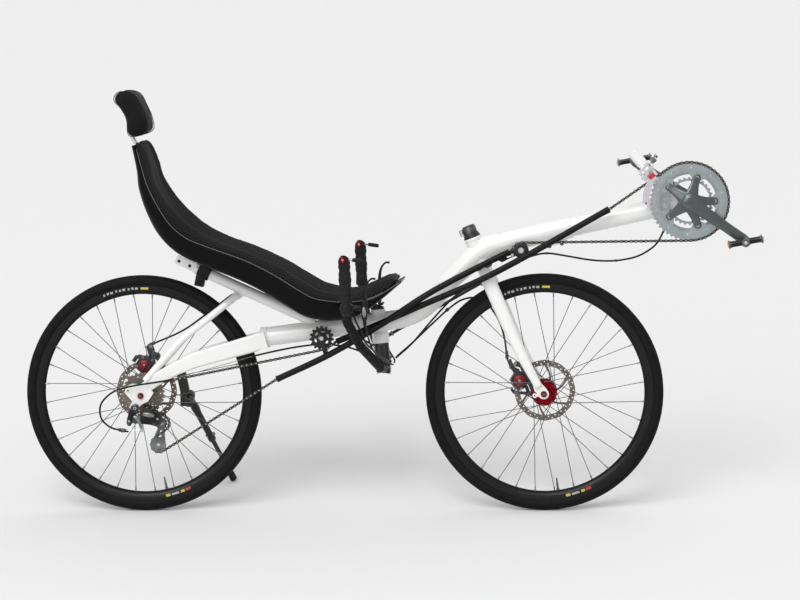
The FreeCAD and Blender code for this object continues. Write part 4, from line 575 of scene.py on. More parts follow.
def brake_disc(cx, cz, y):
    """Steel disc: scalloped braking ring with two rows of holes, six swept arms, six-bolt centre."""
    t = 1.8
    ring = [disc_outline(79.4, 0.5, 144, 0.0, 12), list(reversed(disc_outline(65.2, 0.5, 96, 0.6, 12)))]
    holes = []
    for k in range(24):
        a = math.radians(15 * k)
        holes.append([(75.2 * math.cos(a) + 1.9 * math.cos(q), 75.2 * math.sin(a) + 1.9 * math.sin(q)) for q in [2 * math.pi * j / 10 for j in range(10)]])
        a += math.radians(7.5)
        holes.append([(69.6 * math.cos(a) + 1.9 * math.cos(q), 69.6 * math.sin(a) + 1.9 * math.sin(q)) for q in [2 * math.pi * j / 10 for j in range(10)]])
    out = [plate(ring + holes, y, y + t, 0.2)]
    core = [disc_outline(26.5, 1.2, 72, 0.0, 6), circle(0, 0, 17.6, 40)]
    for k in range(6):
        a = math.radians(60 * k + 30)
        core.append(circle(22 * math.cos(a), 22 * math.sin(a), 2.6, 12))
    out.append(plate(core, y, y + t, 0.2))
    for k in range(6):
        a0, a1, a2 = math.radians(60 * k - 6), math.radians(60 * k + 12), math.radians(60 * k + 28)
        mid = [(24 * math.cos(a0), 24 * math.sin(a0)), (44 * math.cos(a1) , 44 * math.sin(a1)), (66.6 * math.cos(a2), 66.6 * math.sin(a2))]
        line = catmull([Vector((x, 0, z)) for x, z in mid], 6)
        l, r_ = [], []
        for i, q in enumerate(line):
            d = (line[min(i + 1, len(line) - 1)] - line[max(i - 1, 0)]).normalized()
            n_ = Vector((-d.z, 0, d.x))
            w = 3.6 - 1.2 * math.sin(math.pi * i / (len(line) - 1))
            l.append(((q + n_ * w).x, (q + n_ * w).z)); r_.append(((q - n_ * w).x, (q - n_ * w).z))
        out.append(plate([l + list(reversed(r_))], y + 0.02, y + t - 0.02, 0.2))
    for k in range(6):
        a = math.radians(60 * k + 30)
        out.append(bolt((22 * math.cos(a), y + t, 22 * math.sin(a)), (0, 1, 0), 3.6, 2.2, True, 14))
    for me in out:
        me.transform(Matrix.Translation(P(cx, 0, cz)))
    return out


def hub_shell(flange_y, flange_r, barrel, half, rotor_y, holes=True):
    yr, yl = flange_y
    b = 6.6
    prof = [(b, -half), (b, rotor_y - 0.3), (21.5, rotor_y - 0.3), (22.0, rotor_y - 0.8), (22.0, yl + 8), (21.0, yl + 6.5), (barrel + 5, yl + 4.2),
            (flange_r - 8, yl + 2.2), (flange_r - 0.8, yl + 1.5), (flange_r, yl + 0.6), (flange_r, yl - 0.6), (flange_r - 0.8, yl - 1.5), (flange_r - 8, yl - 2.0), (barrel + 4, yl - 4.5), (barrel, yl - 9),
            (barrel - 1.2, (yl + yr) / 2), (barrel, yr + 9), (barrel + 4, yr + 4.5), (flange_r - 8, yr + 2.0), (flange_r - 0.8, yr + 1.5), (flange_r, yr + 0.6), (flange_r, yr - 0.6),
            (flange_r - 0.8, yr - 1.5), (flange_r - 8, yr - 2.2), (barrel + 1, max(yr - 3.4, 0.6 - half)), (barrel - 1, max(yr - 6, 1.0 - half)), (barrel - 3, -half)]
    return lathe(prof, (0, 0, 0), (0, 1, 0), 72)


WHEELS = (("front", "front_wheel", FRONT, (-34.0, 22.0), 33.0, 15.0, 47.0, 38.0, -82.4, M["red_alloy"], "hub_red"),
          ("rear", "rear_wheel", REAR, (-12.0, 30.0), 31.0, 16.0, 16.4, 50.0, -77.5, M["black_alloy"], "hub_dark"))
for tag, body, (cx, cz), fl, fr, barrel, half, ry, valve_deg, hub_mat, hub_slot in WHEELS:
    piece(tag + "_tyre_casing", lathe(tyre_profile(), (cx, 0, cz), (0, 1, 0), 192), body, M["tyre"], (tag + "_tyre",), smooth=50)
    # rim with its valve
    rim_ = [lathe(rim_profile(), (cx, 0, cz), (0, 1, 0), 192)]
    va = math.radians(valve_deg)
    vd = Vector((math.cos(va), 0, math.sin(va)))
    base_ = Vector((cx, 0, cz))
    valve = [rod(base_ + vd * 262, base_ + vd * 240, 3.0, 2.9, 14), rod(base_ + vd * 240, base_ + vd * 228, 2.2, 2.0, 12), lathe([(0, 0), (4.6, 0), (4.6, 3.2), (0, 3.2)], base_ + vd * 256, vd, 6, close=False)]
    piece(tag + "_rim_hoop", rim_, body, M["black_alloy"], (tag + "_rim",), smooth=28)
    piece(tag + "_valve", valve, body, M["dark_steel"], ())
    # generic colour marks on the rim's sides, where the photograph has its stickers
    for s in (-1, 1):
        marks = []
        y_s, y_d = s * 11.55, s * 9.9
        piece("%s_mark_yellow_%s" % (tag, "r" if s < 0 else "l"), [side_patch(cx, cz, 273.0, 278.6, y_s, 86.6, 90.8, 8), side_patch(cx, cz, 273.0, 279.5, y_s, -78.5, -76.0, 8), side_patch(cx, cz, 273.0, 279.5, y_s, -70.0, -67.8, 8)], body, M["mark_yellow"], ())
        piece("%s_mark_grey_%s" % (tag, "r" if s < 0 else "l"), [side_patch(cx, cz, 273.0 + 0.8 * (k % 2), 279.4 - 0.9 * ((k + 1) % 2), y_s, 92.4 + 2.3 * k, 93.9 + 2.3 * k - 0.3 * (k % 3), 4) for k in range(9)] + [side_patch(cx, cz, 273.5, 279.0, y_s, -75.2, -71.0, 10)], body, M["mark_white"], ())
        piece("%s_mark_red_%s" % (tag, "r" if s < 0 else "l"), [side_patch(cx, cz, 273.0, 279.5, y_s, -67.2, -64.2, 10)], body, M["mark_red"], ())
    # spokes with bent heads and nipples
    sp, ni = [], []
    for a, b_, fy, lead in lacing(fl, fr):
        c = base_
        out_y = Vector((0, 1 if lead > 0 else -1, 0))
        d = (b_ - a).normalized()
        head = a - out_y * 3.6
        path = [c + head, c + a + (head - a) * 0.15, c + a + d * 2.0, c + b_ - d * 3]
        sp.append(tube([path[0], path[1], path[2], path[3]], 1.0, 8))
        ni.append(rod(c + b_ - d * 11, c + b_ + d * 1.5, 1.9, 2.1, 8, 0.4))
    piece(tag + "_spoke_set", sp, body, M["spoke"], (tag + "_spokes",), smooth=50)
    piece(tag + "_nipples", ni, body, M["nipple"], ())
    shell_ = [hub_shell(fl, fr, barrel, half, ry)]
    for me in shell_:
        me.transform(Matrix.Translation(P(cx, 0, cz)))
    piece(tag + "_hub_shell", shell_, body, hub_mat, (tag + "_hub",), smooth=30)
    piece(tag + "_disc", brake_disc(cx, cz, ry), body, M["rotor"], (tag + "_rotor",), smooth=30)

# ---------------------------------------------------------------- drive
CHAIN_Y, RING_Y = -54.0, -52.0
IDLER, RETURN = (473.0, 457.0), (993.0, 683.0)
GUIDE, TENSION, PULLEY_R = (52.0, 236.0), (44.0, 180.0), 20.5
POWER = [(512.0, -47.0, 447.5), (594.0, -47.0, 481.0), (728.0, -50.0, 539.0), (910.0, -65.0, 619.0), (1221.0, -52.0, 789.0)]
BACK = [(962.0, -47.5, 679.0), (905.0, -52.0, 652.0), (755.0, -60.5, 574.0), (640.0, -62.5, 500.0), (495.0, -62.5, 416.0), (356.0, -61.0, 351.0)]
ANG = math.radians(-35.2)

M["ring"] = mat("ring_satin_alloy", (0.36, 0.40, 0.415), rough=0.30, metal=0.9, vary=0.05, scratch=0.10, grain_scale=1000)
M["crank"] = mat("crank_dark_grey", (0.085, 0.098, 0.098), rough=0.26, metal=0.75, vary=0.08, coat=0.35, scratch=0.05, grain_scale=900, wear=(0.35, 0.36, 0.36))
M["stay_dark"] = mat("moulded_black", (0.013, 0.013, 0.014), rough=0.45, vary=0.25, grain=0.2, grain_scale=1400, spec=0.3)
M["pins"] = mat("chain_pins", (0.40, 0.38, 0.34), rough=0.3, metal=1.0, vary=0.1)


def pitch_r(t):
    return 12.7 / (2 * math.sin(math.pi / t))


def teeth_line(t, phase=0.0, tip=1.7, root=-3.2, skip=0):
    """Sprocket edge: rounded valleys at the pitch circle, blunt teeth between them."""
    r = pitch_r(t)
    out = []
    for k in range(t):
        a = phase + 2 * math.pi * (k + 0.5) / t
        s = 2 * math.pi / t
        for f, h in ((-0.5, root), (-0.36, root + 0.7), (-0.24, -0.4), (-0.10, tip), (0.10, tip), (0.24, -0.4), (0.36, root + 0.7)):
            rr = r + h
            out.append((rr * math.cos(a + f * s), rr * math.sin(a + f * s)))
    return out


def shifted(line, c, turn=0.0):
    ca_, sa_ = math.cos(turn), math.sin(turn)
    return [(c[0] + x * ca_ - z * sa_, c[1] + x * sa_ + z * ca_) for x, z in line]


def chainring(t, y, inner, tabs, lobes, thick=2.0):
    edge = teeth_line(t, ANG)
    n = 180
    inn = []
    for k in range(n):
        a = 2 * math.pi * k / n
        d = min(abs(((a - (ANG + math.radians(36 + 72 * q)) + math.pi) % (2 * math.pi)) - math.pi) for q in range(5))
        w = max(0.0, 1 - (d / math.radians(lobes)) ** 2)
        w = w * w * (3 - 2 * w)
        inn.append((inner - (inner - tabs) * w) * 1.0)
    hole = [(r * math.cos(2 * math.pi * k / n), r * math.sin(2 * math.pi * k / n)) for k, r in enumerate(inn)]
    outs = [shifted(edge, CRANK), shifted(list(reversed(hole)), CRANK)]
    if t == 50:
        for q in range(5):
            a = ANG + math.radians(36 + 72 * q)
            outs.append(circle(CRANK[0] + 65 * math.cos(a), CRANK[1] + 65 * math.sin(a), 4.2, 16))
    return plate(outs, y - thick / 2, y + thick / 2, 0.35)


rings_ = [chainring(50, RING_Y, 75.0, 56.5, 21), chainring(39, RING_Y + 6.5, 69.5, 57.5, 17), chainring(30, RING_Y + 13.0, 52.5, 33.5, 13)]
# raised band pressed into the big ring's outer face
rings_.append(lathe([(92.5, -0.9), (92.9, -1.5), (90.8, -1.7), (80.0, -1.7), (78.2, -1.5), (77.8, -0.9)], (CRANK[0], RING_Y, CRANK[1]), (0, 1, 0), 120))
piece("chainrings_plates", rings_, "crankset", M["ring"], ("chainrings",), smooth=30)
bits = []
for q in range(5):
    a = ANG + math.radians(36 + 72 * q)
    bx_, bz_ = CRANK[0] + 65 * math.cos(a), CRANK[1] + 65 * math.sin(a)
    bits.append(bolt((bx_, RING_Y - 4.6, bz_), (0, -1, 0), 4.6, 2.4, True, 18))
    bits.append(rod((bx_, RING_Y - 4.6, bz_), (bx_, RING_Y + 8.4, bz_), 4.6, sides=18))
    bx_, bz_ = CRANK[0] + 37 * math.cos(a), CRANK[1] + 37 * math.sin(a)
    bits.append(rod((bx_, RING_Y + 4.5, bz_), (bx_, RING_Y + 14.6, bz_), 4.2, sides=14))
for q in range(10):
    a = ANG + math.radians(14 + 36 * q)
    bits.append(rod((CRANK[0] + 86 * math.cos(a), RING_Y - 2.2, CRANK[1] + 86 * math.sin(a)), (CRANK[0] + 86 * math.cos(a), RING_Y + 2.0, CRANK[1] + 86 * math.sin(a)), 1.7, sides=10))
piece("chainring_bolts", bits, "crankset", M["steel"], (), smooth=30)


def sweep_y(path, sections, name_, ex=2.6, n=28):
    """Bar swept along points: section half sizes (across in the X-Z plane, along Y) per point, super-elliptic."""
    fr_pts = [Vector(p) for p in path]
    m = len(fr_pts)
    verts, faces, luv = [], [], []
    run = 0.0
    for i in range(m):
        t = (fr_pts[min(i + 1, m - 1)] - fr_pts[max(i - 1, 0)]); t.y = 0; t.normalize()
        across = Vector((-t.z, 0, t.x))
        ha, hy = sections[i]
        for k in range(n):
            q = 2 * math.pi * k / n
            c_, s_ = math.cos(q), math.sin(q)
            u = math.copysign(abs(c_) ** (2 / ex), c_)
            w = math.copysign(abs(s_) ** (2 / ex), s_)
            verts.append((fr_pts[i] + across * (ha * u) + Vector((0, hy * w, 0))) * MM)
    for i in range(m - 1):
        for k in range(n):
            k2 = (k + 1) % n
            faces.append((i * n + k, i * n + k2, (i + 1) * n + k2, (i + 1) * n + k))
    faces.append(tuple(range(n)))
    faces.append(tuple(reversed(range((m - 1) * n, m * n))))
    me = new_mesh(name_, verts, faces)
    bm = bmesh.new(); bm.from_mesh(me)
    bmesh.ops.recalc_face_normals(bm, faces=bm.faces)
    bm.to_mesh(me); bm.free()
    return me


def along_line(a, b, ts):
    a, b = Vector(a), Vector(b)
    return [a + (b - a) * t for t in ts]


ex_, ez_ = CRANK[0] + 172.5 * math.cos(ANG), CRANK[1] + 172.5 * math.sin(ANG)
lx_, lz_ = CRANK[0] - 172.5 * math.cos(ANG), CRANK[1] - 172.5 * math.sin(ANG)
ts = [-0.115, -0.10, -0.06, 0.0, 0.08, 0.18, 0.32, 0.5, 0.7, 0.88, 0.97, 1.03, 1.065, 1.08]
arm_r = sweep_y(along_line((CRANK[0], -72.5, CRANK[1]), (ex_, -73.0, ez_), ts),
                [(4, 3), (14, 6.6), (20.5, 7.8), (22.5, 8.3), (21.0, 8.3), (18.0, 8.0), (15.6, 7.6), (14.2, 7.3), (13.2, 7.0), (13.4, 6.9), (13.8, 6.9), (12.0, 6.6), (7.5, 5.8), (2, 3)], "arm", 2.7, 36)
crank_parts = [arm_r]
for q in range(5):
    a = ANG + math.radians(36 + 72 * q)
    c0 = Vector((CRANK[0], -64.5, CRANK[1])); c1 = Vector((CRANK[0] + 73.5 * math.cos(a), -56.0, CRANK[1] + 73.5 * math.sin(a)))
    st = [0.06, 0.2, 0.4, 0.6, 0.78, 0.9, 0.97, 1.0]
    pts_ = [c0 + (c1 - c0) * t_ for t_ in st]
    for p_ in pts_:
        p_.y = -64.0 + 7.6 * min(1.0, ((p_ - c0).length / 62.0)) ** 1.6
    crank_parts.append(sweep_y(pts_, [(21, 7.0), (19.5, 6.4), (14.5, 4.8), (11.2, 3.2), (10.0, 2.6), (9.6, 2.5), (7.2, 2.4), (3.8, 1.8)], "leg", 3.0, 24))
crank_parts.append(rod((CRANK[0], -70, CRANK[1]), (CRANK[0], -36.0, CRANK[1]), 20.0, 19.4, 48, 1.2))
crank_parts.append(lathe([(0, 0), (0, -2.0), (7.0, -1.7), (13.0, -0.6), (17.0, 1.6), (17.0, 4.0), (0, 4.0)][1:], (CRANK[0], -80.0, CRANK[1]), (0, 1, 0), 48, close=False))
crank_parts.append(rod((ex_, -80.2, ez_), (ex_, -65.8, ez_), 11.5, sides=32))
piece("crank_right_arm", crank_parts, "crankset", M["crank"], ("crank_right",), smooth=45)
arm_l = sweep_y(along_line((CRANK[0], 68.5, CRANK[1]), (lx_, 69.0, lz_), ts),
                [(4, 3), (13, 6.4), (18.5, 7.4), (20.0, 7.8), (18.6, 7.8), (16.6, 7.5), (15.0, 7.3), (14.0, 7.1), (13.2, 7.0), (13.4, 6.9), (13.8, 6.9), (12.0, 6.6), (7.5, 5.8), (2, 3)], "arm", 2.7, 36)
piece("crank_left_arm", [arm_l, rod((CRANK[0], 37, CRANK[1]), (CRANK[0], 70, CRANK[1]), 18, 18.5, 40), rod((lx_, 61.8, lz_), (lx_, 76.2, lz_), 11.5, sides=32)], "crankset", M["crank"], ("crank_left",), smooth=45)
axle_bits = [rod((CRANK[0], -77.6, CRANK[1]), (CRANK[0], 77.0, CRANK[1]), 12.0, sides=40),
             lathe([(0, 0), (10, 0), (10, 1.6), (7, 2.4), (4.6, 2.4), (4.2, 0.8), (0, 0.8)], (CRANK[0], 76.6, CRANK[1]), (0, 1, 0), 32, close=False),
             rod((ex_, -66, ez_), (ex_, -180, ez_), 4.4, sides=20), rod((ex_, -80, ez_), (ex_, -84, ez_), 8.4, sides=6, bevel=0.4),
             rod((lx_, 66, lz_), (lx_, 180, lz_), 4.4, sides=20), rod((lx_, 76, lz_), (lx_, 80, lz_), 8.4, sides=6, bevel=0.4)]
for s_, (px_, pz_) in ((-1, (lx_, lz_)), (1, (lx_, lz_))):
    pass
for dz_ in (-6.5, 6.5):
    n_v = Vector((-math.sin(ANG), 0, math.cos(ANG)))
    axle_bits.append(bolt(Vector((CRANK[0], 55, CRANK[1])) - Vector((math.cos(ANG), 0, math.sin(ANG))) * 0 + n_v * 18.0, n_v, 3.4, 3.0, True, 14))
piece("crank_axle", axle_bits, "crankset", M["steel"], (), smooth=30)
# bottom bracket cups on the boom's shell
cups = []
for s_ in (-1, 1):
    cups.append(lathe([(12.7, 0), (21.5, 0), (22.3, 0.8), (22.3, 1.4), (13.0, 1.4)], (CRANK[0], s_ * 34.1, CRANK[1]), (0, s_, 0), 48))
piece("bracket_cups", cups, "frame", M["black_alloy"], (), smooth=30)


# pedals: barrel, two toothed cage plates, amber reflector front and rear
def pedal_parts(px, pz, sgn, tilt):
    y0, y1 = 98.0 * sgn, 170.0 * sgn
    body_, teeth_, refl, steel_ = [], [], [], []
    T_ = Matrix.Translation(P(px, 0, pz)) @ Matrix.Rotation(math.radians(-tilt), 4, "Y") @ Matrix.Translation(-P(px, 0, pz))
    body_.append(lathe([(4.7, 0), (11, 0), (12, 1), (12, 12), (9, 20), (8.4, 40), (9, 62), (11.5, 70), (11.5, 84), (9.5, 88), (4.7, 88)], (px, 87 * sgn, pz), (0, sgn, 0), 32))
    for s2 in (-1, 1):
        # toothed cage plate across the pedal, front and back
        line = []
        n = 9
        yy0, yy1 = min(y0, y1), max(y0, y1)
        for i in range(n * 4 + 1):
            f = i / (n * 4)
            yy = yy0 + (yy1 - yy0) * f
            zz = 7.4 + (2.2 if (i % 4) in (1, 2) else 0.0)
            line.append((yy, zz))
        low = [(yy, -zz) for yy, zz in reversed(line)]
        outs = [line + low]
        for k in range(4):
            cy = yy0 + (k + 0.5) * (yy1 - yy0) / 4
            outs.append(slot_hole(cy, 0, 0, 11, 6.5))
        m_ = Matrix(((0, 0, 1, (px + s2 * 42.5) * MM), (1, 0, 0, 0), (0, 1, 0, pz * MM), (0, 0, 0, 1)))
        pl = plate(outs, -1.2, 1.2, 0.4, plane=m_)
        body_.append(pl)
        # end webs from the barrel to the cage plate
        for yy in (y0 + sgn * 3.2, y1 - sgn * 3.2):
            body_.append(sweep_y([(px, yy, pz), (px + s2 * 14, yy, pz), (px + s2 * 34, yy, pz), (px + s2 * 43, yy, pz)], [(8.5, 2.8), (5.6, 2.6), (5.6, 2.6), (7.4, 2.8)], "web", 3.0, 16))
        refl.append(rbox((px + s2 * 43.6 if s2 > 0 else px - 47.0, (yy0 + yy1) / 2 - 22, pz - 5.6), (px + 47.0 if s2 > 0 else px - 43.6, (yy0 + yy1) / 2 + 22, pz + 5.6), 0, 0.8, 2))
        for yy in (yy0 + 12, yy1 - 12):
            steel_.append(bolt((px + s2 * 43.7, yy, pz), (s2, 0, 0), 2.4, 1.6, True, 12))
    for group_ in (body_, refl, steel_):
        for me in group_:
            me.transform(T_)
    return body_, refl, steel_


for tag, bd, px, pz, sgn in (("right", "right_pedal", ex_, ez_, -1), ("left", "left_pedal", lx_, lz_, 1)):
    b_, r_, s_ = pedal_parts(px, pz, sgn, 10.0)
    piece("pedal_%s_cage" % tag, b_, bd, M["black_alloy"], ("pedal_" + tag,), smooth=35)
    piece("pedal_%s_reflectors" % tag, r_, bd, M["amber"], (), smooth=30)
    piece("pedal_%s_screws" % tag, s_, bd, M["steel"], (), smooth=30)


# ---------------------------------------------------------------- chain
def belt(c1, r1, s1, c2, r2, s2):
    dx, dz = c2[0] - c1[0], c2[1] - c1[1]
    d = math.hypot(dx, dz)
    b = math.atan2(dz, dx) + math.asin(max(-1, min(1, (s1 * r1 - s2 * r2) / d)))
    nx, nz = math.sin(b), -math.cos(b)
    return ((c1[0] + s1 * r1 * nx, c1[1] + s1 * r1 * nz), (c2[0] + s2 * r2 * nx, c2[1] + s2 * r2 * nz))


def chain_path(stops):
    """Dense points with a flag telling whether the point lies on a wheel."""
    legs = []
    for i in range(len(stops) - 1):
        a, b = stops[i], stops[i + 1]
        p, q = belt((a[0], a[1]), a[3], a[4], (b[0], b[1]), b[3], b[4])
        legs.append((Vector((p[0], a[2], p[1])), Vector((q[0], b[2], q[1]))))
    out = []
    for i, (p, q) in enumerate(legs):
        n = max(2, int((q - p).length / 1.5))
        for k in range(n):
            out.append((p + (q - p) * (k / n), False))
        if i < len(legs) - 1:
            x, z, y, r, s = stops[i + 1]
            a0 = math.atan2(q.z - z, q.x - x)
            nx_ = legs[i + 1][0]
            a1 = math.atan2(nx_.z - z, nx_.x - x)
            if s > 0:
                while a1 < a0: a1 += 2 * math.pi
            else:
                while a1 > a0: a1 -= 2 * math.pi
            n = max(3, int(abs(a1 - a0) * r / 1.5))
            for k in range(n):
                a = a0 + (a1 - a0) * k / n
                out.append((Vector((x + r * math.cos(a), y, z + r * math.sin(a))), True))
    out.append((legs[-1][1], False))
    return out


def link_plate(L, w0, w1, t):
    """Figure-of-eight side plate, lying in its own X-Z plane, thickness t about y = 0."""
    line = []
    for s, base in ((1, -90), (-1, 90)):
        for k in range(7):
            a = math.radians(base + 180 * k / 6)
            line.append((s * L / 2 + w0 * math.cos(a), w0 * math.sin(a)))
        line.append((0, w1 * (1 if s > 0 else -1)))
    n = len(line)
    verts = [Vector((x, -t / 2, z)) for x, z in line] + [Vector((x, t / 2, z)) for x, z in line]
    faces = [tuple(range(n)), tuple(reversed(range(n, 2 * n)))] + [(k, n + k, n + (k + 1) % n, (k + 1) % n) for k in range(n)]
    return verts, faces


def chain_links(stops, on_wheel_pins=False):
    path = chain_path(stops)
    pts = [p for p, _ in path]
    run = [0.0]
    for a, b in zip(pts, pts[1:]):
        run.append(run[-1] + (b - a).length)
    total = run[-1]
    n = int(total / 12.7)
    pitch = total / n

    def at(s):
        lo, hi = 0, len(run) - 1
        while hi - lo > 1:
            m_ = (lo + hi) // 2
            if run[m_] <= s: lo = m_
            else: hi = m_
        f = (s - run[lo]) / max(run[hi] - run[lo], 1e-9)
        return pts[lo] + (pts[hi] - pts[lo]) * min(1, max(0, f)), path[lo][1] or path[hi][1]
    plates_v, plates_f, pin_v, pin_f = [], [], [], []
    for i in range(n):
        a, wa = at(i * pitch)
        b, wb = at((i + 1) * pitch)
        t = (b - a).normalized()
        side = Vector((0, 1, 0)) - t * t.y
        side.normalize()
        up_ = t.cross(side)
        mid = (a + b) / 2
        outer = i % 2 == 0
        for s in (-1, 1):
            off = (2.35 if outer else 1.55) * s
            v, f = link_plate((b - a).length, 3.9 if outer else 3.75, 2.5 if outer else 2.3, 0.75)
            base_ = len(plates_v)
            for q in v:
                plates_v.append((mid + t * q.x + side * (q.y + off) + up_ * q.z) * MM)
            plates_f += [tuple(base_ + k for k in face) for face in f]
        for at_end, on in ((a, wa),):
            segs = [(1.85, 2.72, 3.25), (1.85, -3.25, -2.72)] + ([] if on else [(3.6, -1.15, 1.15)])
            for r, h0, h1 in segs:
                m_ = 10
                base_ = len(pin_v)
                for h in (h0, h1):
                    for k in range(m_):
                        q = 2 * math.pi * k / m_
                        pin_v.append((at_end + t * (r * math.cos(q)) + up_ * (r * math.sin(q)) + side * h) * MM)
                pin_f += [(base_ + k, base_ + (k + 1) % m_, base_ + m_ + (k + 1) % m_, base_ + m_ + k) for k in range(m_)]
                pin_f += [tuple(base_ + k for k in reversed(range(m_))), tuple(base_ + m_ + k for k in range(m_))]
    a_, b_ = new_mesh("links", plates_v, plates_f), new_mesh("pins", pin_v, pin_f)
    for me in (a_, b_):
        bm = bmesh.new(); bm.from_mesh(me)
        bmesh.ops.recalc_face_normals(bm, faces=bm.faces)
        bm.to_mesh(me); bm.free()
    return a_, b_


ring_r, cog_r, idler_r = pitch_r(50), pitch_r(11), pitch_r(15)
rear_stops = [(352.0, 349.0, -61.0, 0.0, 1), (TENSION[0], TENSION[1], CHAIN_Y, PULLEY_R, -1), (GUIDE[0], GUIDE[1], CHAIN_Y, PULLEY_R, 1),
              (0.0, 310.0, CHAIN_Y, cog_r, -1), (IDLER[0], IDLER[1], -47.5, idler_r, 1), (508.5, 446.0, -47.0, 0.0, 1)]
front_stops = [(1224.5, 790.8, -52.0, 0.0, 1), (CRANK[0], CRANK[1], RING_Y, ring_r, -1), (RETURN[0], RETURN[1], -46.0, 20.0, 1), (965.5, 680.7, -47.3, 0.0, 1)]
la_, pa_ = chain_links(rear_stops)
lb_, pb_ = chain_links(front_stops)
piece("chain_side_plates", [la_, lb_], "frame", M["chain"], ("chain",), smooth=30)
piece("chain_pins_rollers", [pa_, pb_], "frame", M["pins"], (), smooth=40)


# ---------------------------------------------------------------- cassette
COGS = [28, 24, 21, 19, 17, 15, 13, 12, 11]
cogs_ = []
for k, t in enumerate(COGS):
    y = CHAIN_Y + 4.35 * (8 - k)
    tip = 2.4 if t == 11 else -0.4
    out = [shifted(teeth_line(t, 0.3 * k, tip, -3.9 if t == 11 else -4.6), REAR), list(reversed(circle(REAR[0], REAR[1], 15.0, 40)))]
    if t >= 19:
        for q in range(t // 4):
            a = 2 * math.pi * q / (t // 4) + 0.2 * k
            rr = (pitch_r(t) + 15) / 2 + 1.5
            out.append(circle(REAR[0] + rr * math.cos(a), REAR[1] + rr * math.sin(a), (pitch_r(t) - 24) / 3.2, 12))
    cogs_.append(plate(out, y - 0.85, y + 0.85, 0.2))
piece("cassette_cogs", cogs_, "rear_cassette", M["cog"], ("cassette",), smooth=30)
spac = []
for k in range(8):
    y = CHAIN_Y + 4.35 * k
    spac.append(lathe([(14.5, y + 1.0), (17.2 + 0.35 * k, y + 1.0), (17.6 + 0.35 * k, y + 2.1), (17.2 + 0.35 * k, y + 3.3), (14.5, y + 3.3)], (REAR[0], 0, REAR[1]), (0, 1, 0), 40))
spac.append(lathe([(6.9, -62.0), (11.5, -62.0), (13.4, -61.2), (15.4, -58.4), (15.6, -55.2), (12.0, -54.9), (10.0, -59.0), (6.9, -59.0)], (REAR[0], 0, REAR[1]), (0, 1, 0), 48))
piece("cassette_spacers", spac, "rear_cassette", M["dark_steel"], (), smooth=30)

# ---------------------------------------------------------------- idlers
o = [shifted(teeth_line(15, 0.1, 2.0, -4.0), IDLER), list(reversed(circle(IDLER[0], IDLER[1], 22.0, 48)))]
tooth_ring = plate(o, -48.6, -46.4, 0.3)
inn_ = [circle(IDLER[0], IDLER[1], 22.6, 48)]
for q in range(6):
    a = math.radians(60 * q + 20)
    inn_.append(slot_hole(IDLER[0] + 17.0 * math.cos(a), IDLER[1] + 17.0 * math.sin(a), a + math.pi / 2, 10.5, 5.4))
inn_.append(list(reversed(circle(IDLER[0], IDLER[1], 9.4, 36))))
piece("power_idler_ring", [tooth_ring, plate(inn_, -49.6, -45.4, 0.5), lathe([(9.0, -3.6), (12.0, -3.6), (12.0, -2.4), (11.2, -1.8), (11.2, 1.8), (12.0, 2.4), (12.0, 3.6), (9.0, 3.6)], (IDLER[0], -47.0, IDLER[1]), (0, 1, 0), 40)],
      "chain_idler", M["stay_dark"], ("power_idler",), smooth=35)
piece("power_idler_bearing", [lathe([(4.4, -3.4), (9.2, -3.4), (9.2, 3.4), (4.4, 3.4)], (IDLER[0], -47.0, IDLER[1]), (0, 1, 0), 36)], "chain_idler", M["steel"], (), smooth=30)
piece("return_idler_wheel", [lathe([(7.6, -5.4), (9.4, -5.8), (18.6, -5.8), (19.6, -5.2), (19.6, -4.4), (16.0, -3.6), (14.2, -1.7), (14.2, 1.7), (16.0, 3.6), (19.6, 4.4), (19.6, 5.2), (18.6, 5.8), (9.4, 5.8), (7.6, 5.4)], (RETURN[0], -46.0, RETURN[1]), (0, 1, 0), 56)],
      "chain_roller", M["stay_dark"], ("return_idler",), smooth=35)
piece("return_idler_bearing", [lathe([(4.4, -5.0), (7.9, -5.0), (7.9, 5.0), (4.4, 5.0)], (RETURN[0], -46.0, RETURN[1]), (0, 1, 0), 36)], "chain_roller", M["steel"], (), smooth=30)
# brackets and the tab that the tubes are clipped to
ib = []
ib.append(rod((IDLER[0], -24, IDLER[1]), (IDLER[0], -42.4, IDLER[1]), 7.0, 9.0, 32))
ib.append(plate([[(466, 462), (472, 467), (480, 465), (483, 458), (484, 440), (491, 418), (490, 409), (483, 408), (478, 413), (474, 430), (468, 444), (465, 455)], circle(484.5, 414.5, 2.8, 16), circle(473, 457, 4.3, 20)], -55.4, -52.6, 0.5))
ib.append(rod((RETURN[0], -32.5, RETURN[1]), (RETURN[0], -41.4, RETURN[1]), 7.5, 9.0, 28))
ib.append(rbox((976, -33, 677), (1009, -23.6, 699), 12.3, 2.2, 3))
pl_ = [[(934, 656), (944, 652), (968, 664), (990, 672), (1003, 676), (1005, 688), (997, 694), (984, 690), (958, 676), (938, 666)], circle(993, 683, 4.3, 20), slot_hole(962, 667.5, math.radians(20), 14, 5)]
ib.append(plate(pl_, -39.0, -35.6, 0.6))
ib.append(rbox((944, -46, 664), (953, -37, 676), 22, 1.6, 2))
ib.append(rbox((957, -46, 669), (966, -37, 681), 22, 1.6, 2))
piece("idler_bracket_plates", ib, "frame", M["stay_dark"], ("idler_brackets",), smooth=35)
